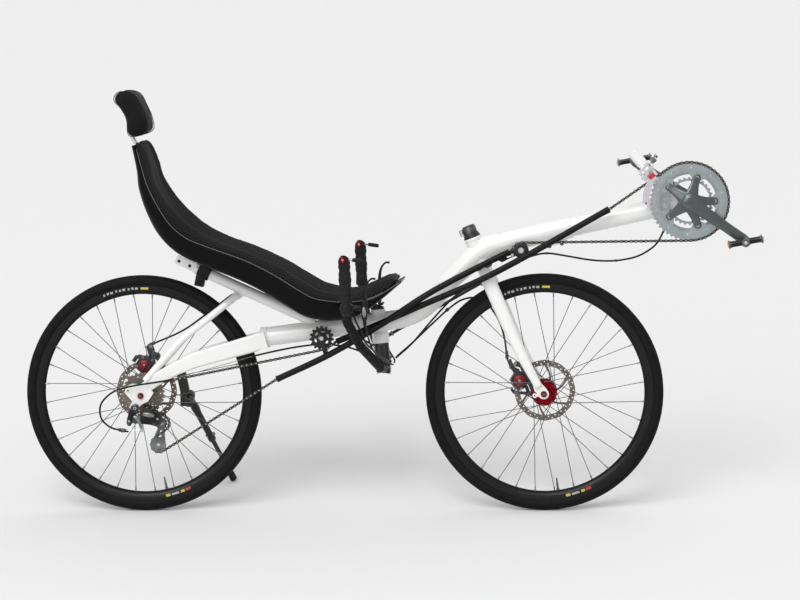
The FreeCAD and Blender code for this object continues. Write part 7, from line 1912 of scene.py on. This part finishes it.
# brake levers: hinged clamp, oval body with a grey face, curved blade
M["lever_face"] = mat("lever_face_grey", (0.20, 0.21, 0.23), rough=0.32, metal=0.7, vary=0.15, scratch=0.12)
for s_ in (-1, 1):
    tag = "left" if s_ > 0 else "right"
    a, b = Vector((557, 278 * s_, 520)), Vector((552, 285 * s_, 672))
    d = (b - a).normalized()
    c = a + d * 34
    parts = [lathe([(11.4, 0), (11.4, 22), (14.9, 22), (15.7, 21), (15.7, 1), (14.9, 0)], a + d * 22, d, 40)]
    parts.append(rod(c + Vector((12, -s_ * 9, 6)), c + Vector((12, s_ * 9, 6)), 5.0, None, 18))
    parts.append(bolt(c + Vector((-15.5, 0, 0)) , (-1, 0, 0), 3.6, 2.4))
    parts.append(rod(c + Vector((10, 0, 2)), c + Vector((42, 0, 0)), 7.2, 6.2, 24, 2.0))
    # body: upright teardrop ahead of the clamp, tapering into the cable ferrule
    body_line = catmull([(c.x + 46.5, s_ * 279.5, c.z + 19), (c.x + 46.5, s_ * 279.5, c.z + 12), (c.x + 46, s_ * 279.5, c.z), (c.x + 45.5, s_ * 279.5, c.z - 12), (c.x + 46, s_ * 279.5, c.z - 24), (c.x + 46.5, s_ * 279.5, c.z - 35)], 6)
    nb = len(body_line)
    rad_ = []
    for k in range(nb):
        f = k / (nb - 1.0)
        w_ = 4.4 + 5.0 * math.sin(math.pi * min(1.0, (f + 0.08) / 1.02) ** 0.9) ** 0.8
        rad_.append((w_ * 0.92, w_ * 1.0))
    parts.append(tube(body_line, rad_, 24))
    parts.append(lathe([(3.0, 0), (4.6, 0), (4.8, 1), (4.6, 7), (3.9, 9), (3.9, 13), (3.1, 15.5), (2.6, 15.5)], Vector((c.x + 46.5, s_ * 279.5, c.z - 34)), (0.04, 0, -1), 20))
    # blade with a curled end
    blade = catmull([(c.x + 46, s_ * 280, c.z + 10), (c.x + 46.5, s_ * 280, c.z + 26), (c.x + 48, s_ * 280, c.z + 44), (c.x + 51, s_ * 280, c.z + 58), (c.x + 57, s_ * 280, c.z + 69), (c.x + 65, s_ * 280, c.z + 75.5), (c.x + 75, s_ * 280, c.z + 75)], 6)
    nl = len(blade)
    br = [(5.6 - 1.6 * (k / nl), 5.4 - 3.0 * min(1.0, 1.5 * k / nl) + 1.5 * max(0.0, k / nl - 0.66)) for k in range(nl)]
    br[-1] = (3.2, 2.2)
    parts.append(tube(blade, br, 16))
    parts.append(rod((c.x + 46.5, s_ * 270.0, c.z + 13), (c.x + 46.5, s_ * 289.0, c.z + 13), 3.4, None, 18))
    piece("brake_lever_%s_visual" % tag, parts, "handlebars", M["black_plastic"], replaces=("brake_lever_" + tag,), smooth=50)
    face = []
    for side in (-1, 1):
        m_ = Matrix.Translation(Vector((c.x + 45.8, s_ * 279.5 + side * 8.0, c.z - 9)) * MM) @ Matrix.Rotation(math.radians(-2), 4, "Y")
        me = lathe([(0, 0), (6.6, 0), (7.4, 0.5), (6.8, 1.3), (0, 1.7)], (0, 0, 0), (0, side, 0), 28, close=False)
        me.transform(m_ @ Matrix.Diagonal((0.70, 1, 1.75, 1)))
        face.append(me)
    piece("brake_lever_%s_face" % tag, face, "handlebars", M["lever_face"], smooth=50)

# ---- stem: forged post under the pivot tube, boss, split clamp with its four bolts, steering arm
M["stem_dark"] = mat("stem_dark_chrome", (0.055, 0.052, 0.052), rough=0.20, metal=1.0, vary=0.15, scratch=0.12, spec=0.6)
st = []
p_hi, p_lo = PIVOT0 + PIVOT_DIR * 88.5, PIVOT0 + PIVOT_DIR * 134.0
st.append(lathe([(0, 0), (14.4, 0), (19.4, 1.4), (20.2, 3.0), (20.0, 8.0), (19.2, 20.0), (19.4, 32.0), (20.6, 42.0), (20.4, 45.0), (18.0, 46.0), (0, 46.0)], p_hi, PIVOT_DIR, 44, close=False))
for q in (0.0, 120.0, 240.0):        # raised ribs down the post
    u_ = Vector((math.cos(math.radians(q + 30)), math.sin(math.radians(q + 30)), 0))
    st.append(tube([p_hi + PIVOT_DIR * 5 + u_ * 19.4, p_hi + PIVOT_DIR * 20 + u_ * 18.7, p_hi + PIVOT_DIR * 42 + u_ * 19.8], [1.2, 1.8, 1.2], 10))
st.append(rod(PIVOT0 - PIVOT_DIR * -1.0, PIVOT0 + PIVOT_DIR * 4, 14.0, None, 32))
cl = []
clamp_turn = -5
cl.append(rbox((BAR_C.x - 18, -22, BAR_C.z + 0.8), (BAR_C.x + 20, 22, BAR_C.z + 17.5), clamp_turn, 4.0, 4))
cl.append(rbox((BAR_C.x - 17, -21, BAR_C.z - 16.5), (BAR_C.x + 19, 21, BAR_C.z - 0.8), clamp_turn, 4.0, 4))
cl.append(lathe([(11.2, -22), (11.2, 22), (15.6, 22), (16.4, 21), (16.4, -21), (15.6, -22)], (BAR_C.x, 0, BAR_C.z), (0, 1, 0), 44))
bolts_ = []
for dx_ in (-14.0, 16.0):
    for y_ in (-14, 14):
        bolts_.append(bolt((BAR_C.x + dx_, y_, BAR_C.z - 16.2), (0.087, 0, -1), 3.6, 3.6))
ARM = PIVOT0 + PIVOT_DIR * 100.0
arm_pts = catmull([(ARM.x, 14, ARM.z), (ARM.x, 36, ARM.z), (ARM.x, 58, ARM.z), (ARM.x, 70, ARM.z)], 4)
cl.append(tube(arm_pts, [(8.4, 5.8)] * 3 + [(7.0, 5.6)] * (len(arm_pts) - 3), 18))
cl.append(lathe([(3.6, -8), (3.6, 7), (8.2, 7), (8.9, 6), (8.9, -7), (8.2, -8)], (ARM.x, 72, ARM.z), -PIVOT_DIR, 32))
piece("stem_post", st, "handlebars", M["stem_dark"], replaces=("handlebar_stem",), smooth=45)
piece("stem_clamp", cl, "handlebars", M["black_alloy"], smooth=40)
piece("stem_bolts", bolts_, "handlebars", M["steel"], smooth=30)

# ---- tie rod with ball ends and lock nuts
rod_a = Vector((ARM.x, 72, ARM.z)) - PIVOT_DIR * 16
rod_b = Vector((HEAD0.x, 72, HEAD0.z)) + HEAD_DIR * 117
rdir = (rod_b - rod_a).normalized()
tr = [tube([rod_a + rdir * 7, rod_a + rdir * 30, rod_b - rdir * 30, rod_b - rdir * 7], 4.0, 20)]
for c_, ax_, sg in ((rod_a, Vector((PIVOT_DIR.x, 0.06, PIVOT_DIR.z)).normalized(), 1), (rod_b, HEAD_DIR, -1)):
    tr.append(lathe([(3.4, -4.5), (3.4, 4.5), (6.8, 5.2), (8.0, 3.6), (8.0, -3.6), (6.8, -5.2)], c_, ax_, 30))
    tr.append(lathe([(0, -6.0), (3.3, -6.0), (4.6, -3.0), (4.9, 0.0), (4.6, 3.0), (3.3, 6.0), (0, 6.0)], c_, ax_, 24, close=False))
    tr.append(rod(c_ + rdir * sg * 7.0, c_ + rdir * sg * 26.0, 5.0, 4.6, 20))
    tr.append(nut(c_ + rdir * sg * 26.0, rdir * sg, 7.0, 5.0))
piece("tie_rod_visual", tr, "tie_rod_link", M["black_alloy"], replaces=("tie_rod",), smooth=40)

# ---------------------------------------------------------------- side stand
K0 = Vector((108.0, 88.0, 290.0))
FOOT = Vector((208.0, 232.0, 50.62))
KD = (FOOT - K0).normalized()
KA = Vector((0.005, 0.829, 0.560)).normalized()
LEG1 = K0 + KD * 150
M["stand_black"] = mat("stand_black", (0.012, 0.0105, 0.0105), rough=0.42, vary=0.2, grain=0.15, grain_scale=700, spec=0.4, wear=(0.10, 0.09, 0.08))
M["bronze_grey"] = mat("stand_clamp_grey", (0.20, 0.175, 0.15), rough=0.40, metal=0.8, vary=0.15, scratch=0.2)
M["stand_grip"] = mat("stand_foot_rubber", (0.010, 0.0095, 0.010), rough=0.7, vary=0.2, grain=0.5, grain_scale=1100, spec=0.25)
mt = [rbox((81, 56, 298), (105, 81, 383), 11, 3.0, 3), rbox((88, 53, 268), (106, 66, 316), 0, 3.0, 3), rod((98, 60, 300), (120, 60, 306), 5.0, 4.2, 20),
      lathe([(0, 0), (14.2, 0), (15.0, 1.0), (15.0, 12.4), (14.2, 13.4), (0, 13.4)], K0 - KA * 26, KA, 40, close=False)]
for a_ in (0.0, 120.0, 240.0):
    mt.append(rbox((94, 58, 322), (104, 79, 330), 14, 1.2, 2)) if a_ == 0 else None
piece("stand_mount_visual", mt, "frame", M["stand_black"], replaces=("stand_mount",), smooth=40)
cap_ = [rbox((84.5, 58, 372), (110.5, 82.5, 386.5), 14, 2.4, 3)]
for dx_ in (-6.5, 6.5):
    cap_.append(bolt((98.5 + dx_, 57.8, 378.5 + dx_ * 0.25), (0, -1, 0), 4.6, 3.4))
    cap_.append(bolt((98.5 + dx_, 82.2, 378.5 + dx_ * 0.25), (0, 1, 0), 4.6, 3.4))
piece("stand_mount_cap", cap_, "frame", M["bronze_grey"], smooth=30)
lg = [lathe([(0, -12), (13.8, -12), (15.0, -10.8), (15.0, 10.8), (13.8, 12), (5.2, 12), (5.2, 9.6), (0, 9.6)], K0, KA, 44, close=False)]
# forged upper leg: flattened, with a knee bump
n_ = 26
pts_, rr_ = [], []
for k in range(n_ + 1):
    q = 150.0 * k / n_
    pts_.append(K0 + KD * q + Vector((0, 0, 0)))
    bump = 2.2 * math.exp(-((q - 40) / 12) ** 2)
    rr_.append((10.9 - 1.5 * k / n_ + bump * 0.3, 9.4 - 0.8 * k / n_ + bump))
lg.append(tube(pts_, rr_, 22))
lg.append(rod(LEG1 - KD * 8, FOOT - KD * 10, 6.0, 6.0, 24, 1.0))
lg.append(lathe([(6.1, -6), (9.6, -6), (10.4, -5), (10.4, 5), (9.6, 6.2), (6.1, 6.2)], LEG1 - KD * 2, KD, 32))
piece("stand_leg_visual", lg, "side_stand", M["stand_black"], replaces=("stand_leg",), smooth=45)
side_ = KD.cross(KA).normalized()
lug = [rod(LEG1 - KD * 14 + side_ * 2, LEG1 - KD * 14 + side_ * 14.5, 5.2, 4.6, 20), bolt(LEG1 - KD * 14 - side_ * 8, -side_, 4.2, 3.0)]
piece("stand_adjuster", lug, "side_stand", M["bronze_grey"], smooth=40)
foot = [lathe([(6.2, -22), (8.6, -22), (9.5, -21), (9.5, -17.5), (8.9, -16.6), (9.5, -15.6), (9.5, -12), (8.9, -11), (9.5, -10), (9.5, -1.4), (8.4, 0), (0, 0)], FOOT, KD, 36, close=False)]
piece("stand_foot_visual", foot, "side_stand", M["stand_grip"], replaces=("stand_foot",), smooth=40)

# ---------------------------------------------------------------- cable housings
CABLES = {
    "rear_brake_cable": [(650.0, 26.0, 399.0), (612.0, 34.0, 422.0), (560.0, 36.0, 456.0), (480.0, 34.0, 466.0), (436.0, 30.0, 492.0), (372.0, 19.0, 530.0), (306.0, 19.0, 560.0), (244.0, 34.0, 575.0), (168.0, 62.0, 518.0), (98.0, 72.0, 466.0), (24.0, 66.0, 436.0), (8.0, 61.0, 430.5)],
    "shift_cable_rear": [(653.5, -26.0, 393.4), (606.0, -26.0, 404.0), (548.0, -18.0, 430.0), (476.0, -16.0, 440.0), (404.0, -22.0, 432.0), (344.0, -32.0, 421.0), (290.0, -40.0, 409.0)],
    "front_derailleur_cable": [(664.0, -18.0, 402.0), (706.0, -26.0, 438.0), (768.0, -36.0, 512.0), (832.0, -50.0, 578.5), (910.0, -57.0, 612.8), (1005.0, -53.0, 664.5), (1055.0, -47.0, 678.0), (1110.0, -41.0, 668.0), (1179.0, -36.0, 655.0), (1238.0, -31.0, 653.0), (1298.0, -24.0, 664.0), (1344.0, -12.0, 694.0), (1362.0, -2.0, 730.0)],
    "front_brake_cable_rear": [(664.0, 16.0, 402.0), (706.0, 20.0, 438.0), (756.0, 20.0, 486.0), (796.0, 18.0, 523.0)],
    "front_brake_cable_front": [(798.0, 18.2, 524.8), (832.0, 26.0, 550.0), (868.0, 44.0, 556.0), (902.0, 68.0, 536.0), (932.0, 80.0, 490.0), (946.0, 76.0, 440.0), (950.0, 62.0, 400.0)],
}
SHIFT_LOOP = [(84.0, -82.0, 353.0), (40.0, -85.0, 346.0), (-20.0, -88.0, 338.0), (-72.0, -89.0, 324.0), (-106.0, -90.0, 290.0), (-104.0, -90.0, 250.0), (-76.0, -89.0, 226.0), (-42.0, -88.0, 221.0)]
H_R = 2.5
M["housing_dark_red"] = mat("ferrule_dark_red", (0.12, 0.012, 0.014), rough=0.35, metal=0.6, vary=0.15, scratch=0.1)
M["wire"] = mat("bare_wire", (0.20, 0.19, 0.18), rough=0.34, metal=1.0, vary=0.1, scratch=0.1)


def smooth_run(pts):
    P_ = [Vector(q) for q in pts]
    rad = []
    for i in range(1, len(P_) - 1):
        a, b = P_[i] - P_[i - 1], P_[i + 1] - P_[i]
        rad.append(0.45 * min(a.length, b.length) / max(math.tan(a.angle(b) / 2), 1e-4))
    return rounded(P_, rad)


def resample(line, step):
    seg = [(line[i + 1] - line[i]).length for i in range(len(line) - 1)]
    tot = sum(seg)
    n = max(2, int(tot / step))
    out, j, acc = [], 0, 0.0
    for k in range(n + 1):
        s_at = tot * k / n
        while j < len(seg) - 1 and acc + seg[j] < s_at:
            acc += seg[j]
            j += 1
        out.append(line[j] + (line[j + 1] - line[j]) * min(1.0, max(0.0, (s_at - acc) / max(seg[j], 1e-9))))
    return out


def ferrule(at, d, r=3.0, L=9.0):
    d = Vector(d).normalized()
    return lathe([(1.2, 0), (r * 0.86, 0), (r, 0.6), (r, L - 1.4), (r + 0.35, L - 1.1), (r + 0.35, L - 0.4), (r, L), (1.2, L)], at, d, 20)


def blended(name, meshes, materials, replaces):
    me = merge(meshes) if len(meshes) > 1 else meshes[0].copy()
    me.name = name
    me.materials.clear()
    me.materials.append(materials)
    me.transform(PLACE)
    for p in me.polygons:
        p.use_smooth = True
    me.set_sharp_from_angle(angle=math.radians(50))
    ob = bpy.data.objects.new(name, me)
    bpy.context.scene.collection.objects.link(ob)
    if replaces:
        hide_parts(*replaces)
    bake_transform(ob)
    return ob


for name, pts in CABLES.items():
    line = resample(smooth_run(pts), 7.0)
    meshes = [tube(line, H_R, 14)]
    if name == "shift_cable_rear":
        # the housing ends at the stop under the chainstay; the bare wire is a piece of its own
        meshes.append(ferrule(Vector(pts[-1]) - Vector((-7, 1.2, -1.6)), Vector((-54, -8, -12)), 3.0, 8.0))
    if name == "front_derailleur_cable":
        meshes.append(ferrule(Vector(pts[-1]) + Vector((-2.5, -1.3, -5.5)), Vector((18, 10, 36)), 3.0, 8.0))
    if name == "rear_brake_cable":
        meshes.append(ferrule(line[-1] - (line[-1] - line[-2]).normalized() * 6, line[-1] - line[-2], 3.1, 7.0))
    blended(name + "_skin", meshes, M["cable"], (name,))

# bare shift wire under the chainstay, and the loop of housing into the derailleur
bare_a, bare_b = Vector((292.0, -39.6, 409.4)), Vector((82.0, -82.2, 353.3))
piece("shift_wire", [tube([bare_a, bare_a.lerp(bare_b, 0.5), bare_b], 0.9, 10)], "frame", M["wire"], smooth=60)
loop_line = resample(smooth_run(SHIFT_LOOP), 6.0)
piece("shift_loop", [tube(loop_line, H_R, 14)], "frame", M["cable"], smooth=60)
lp = loop_line
piece("shift_loop_ferrule", [ferrule(lp[0] + (lp[0] - lp[1]).normalized() * 1.5, lp[1] - lp[0], 3.1, 10.0)], "frame", M["housing_dark_red"], smooth=50)
end_d = (lp[-1] - lp[-2]).normalized()
boot = [lathe([(2.5, -16), (3.2, -15.5), (4.4, -10), (4.6, -3), (4.2, 0), (3.0, 0.6), (2.2, 0.6)], lp[-1] - end_d * 1.0, end_d, 24),
        lathe([(3.4, 0), (4.5, 0.5), (4.5, 5.5), (3.8, 6.2), (3.8, 11), (1.2, 11.6), (1.2, 0)], lp[-1], end_d, 24)]
piece("shift_adjuster", boot, "frame", M["black_plastic"], smooth=40)

# housings along the handlebar: brake housings from the levers, shift housings from the grips
bar_runs = []
for s_ in (-1, 1):
    brake = [(602.0, 279.0 * s_, 521.0), (607.0, 264.0 * s_, 486.0), (616.0, 205.0 * s_, 440.0), (637.0, 126.0 * s_, 406.0), (656.0, 62.0 * s_, 389.5), (657.0, 30.0 * s_, 386.0)]
    shift_ = [(564.5, 269.0 * s_, 566.0), (577.0, 258.0 * s_, 520.0), (592.0, 232.0 * s_, 486.0), (596.5, 197.0 * s_, 459.0), (627.0, 121.0 * s_, 418.0), (643.0, 64.0 * s_, 400.0), (646.0, 30.0 * s_, 394.5)]
    for pts in (brake, shift_):
        bar_runs.append(tube(resample(smooth_run(pts), 6.0), H_R, 14))
piece("bar_housings", bar_runs, "handlebars", M["cable"], replaces=("bar_cables",), smooth=60)

# band ties where housings are held against the frame
ties = []
for name, i0 in (("rear_brake_cable", 4), ("rear_brake_cable", 8), ("shift_cable_rear", 3), ("front_derailleur_cable", 6), ("front_derailleur_cable", 9)):
    pts = CABLES[name]
    c_ = Vector(pts[i0])
    d_ = (Vector(pts[i0 + 1]) - Vector(pts[i0 - 1])).normalized()
    line = smooth_run(pts)
    near_ = min(line, key=lambda q: (q - c_).length)
    ties.append(lathe([(2.55, -1.6), (3.3, -1.6), (3.5, -1.2), (3.5, 1.2), (3.3, 1.6), (2.55, 1.6)], near_, d_, 20))
piece("cable_bands", ties, "frame", M["black_plastic"], smooth=40)


# ---------------------------------------------------------------- room, light and camera
def stage_plane():
    me = bpy.data.meshes.new("floor")
    s = 30.0
    me.from_pydata([(-s, -s, 0), (s, -s, 0), (s, s, 0), (-s, s, 0)], [], [(0, 1, 2, 3)])
    ob = bpy.data.objects.new("floor", me)
    m = bpy.data.materials.new("pale_floor")
    m.use_nodes = True
    nt = m.node_tree
    b = nt.nodes["Principled BSDF"]
    n = nt.nodes.new("ShaderNodeTexNoise"); n.inputs["Scale"].default_value = 3.0
    r = nt.nodes.new("ShaderNodeValToRGB")
    r.color_ramp.elements[0].color = (0.70, 0.70, 0.70, 1)
    r.color_ramp.elements[1].color = (0.73, 0.73, 0.73, 1)
    nt.links.new(n.outputs["Fac"], r.inputs["Fac"]); nt.links.new(r.outputs["Color"], b.inputs["Base Color"])
    b.inputs["Roughness"].default_value = 0.9
    b.inputs["Specular IOR Level"].default_value = 0.1
    me.materials.append(m)
    bpy.context.scene.collection.objects.link(ob)


stage_plane()
world = bpy.data.worlds.new("studio")
bpy.context.scene.world = world
world.use_nodes = True
bg = world.node_tree.nodes["Background"]
bg.inputs["Color"].default_value = (1.0, 1.0, 1.0, 1)
bg.inputs["Strength"].default_value = 0.70


def area(name, loc, target, size, power, color=(1, 1, 1)):
    ld = bpy.data.lights.new(name, "AREA")
    ld.shape = "RECTANGLE"
    ld.size, ld.size_y = size
    ld.energy = power
    ld.color = color
    ob = bpy.data.objects.new(name, ld)
    ob.location = loc
    ob.rotation_euler = (Vector(target) - Vector(loc)).to_track_quat("-Z", "Y").to_euler()
    bpy.context.scene.collection.objects.link(ob)


def sun(name, direction, power, soft):
    ld = bpy.data.lights.new(name, "SUN")
    ld.energy = power
    ld.angle = math.radians(soft)
    ob = bpy.data.objects.new(name, ld)
    ob.rotation_euler = Vector(direction).to_track_quat("-Z", "Y").to_euler()
    bpy.context.scene.collection.objects.link(ob)


sun("key", (0.35, 0.62, -1.0), 1.60, 40)
sun("rim", (-0.5, -0.8, -0.9), 0.45, 60)
area("softbox", (-1.5, -4.2, 2.6), (0.2, 0, 0.5), (2.6, 1.4), 26)
bpy.context.scene.view_settings.view_transform = "Standard"
bpy.context.scene.view_settings.look = "None"

cam_data = bpy.data.cameras.new("camera")
cam = bpy.data.objects.new("camera", cam_data)
az, el, roll, dist, f_px = math.radians(3.6), math.radians(4.8), math.radians(-0.53), 9600.0, 3680.0
back = Vector((math.sin(az) * math.cos(el), -math.cos(az) * math.cos(el), math.sin(el)))
right = Vector((math.cos(az), math.sin(az), 0))
up = right.cross(-back)
r2 = right * math.cos(roll) + up * math.sin(roll)
u2 = -right * math.sin(roll) + up * math.cos(roll)
eye = Vector((675.0, 0, 551.7)) + back * dist
m = Matrix(((r2.x, u2.x, back.x, eye.x * MM), (r2.y, u2.y, back.y, eye.y * MM), (r2.z, u2.z, back.z, eye.z * MM), (0, 0, 0, 1)))
cam.matrix_world = PLACE @ m
cam_data.sensor_width = 36.0
cam_data.lens = f_px / 800.0 * 36.0
cam_data.clip_end = 200.0
bpy.context.scene.collection.objects.link(cam)
bpy.context.scene.camera = cam
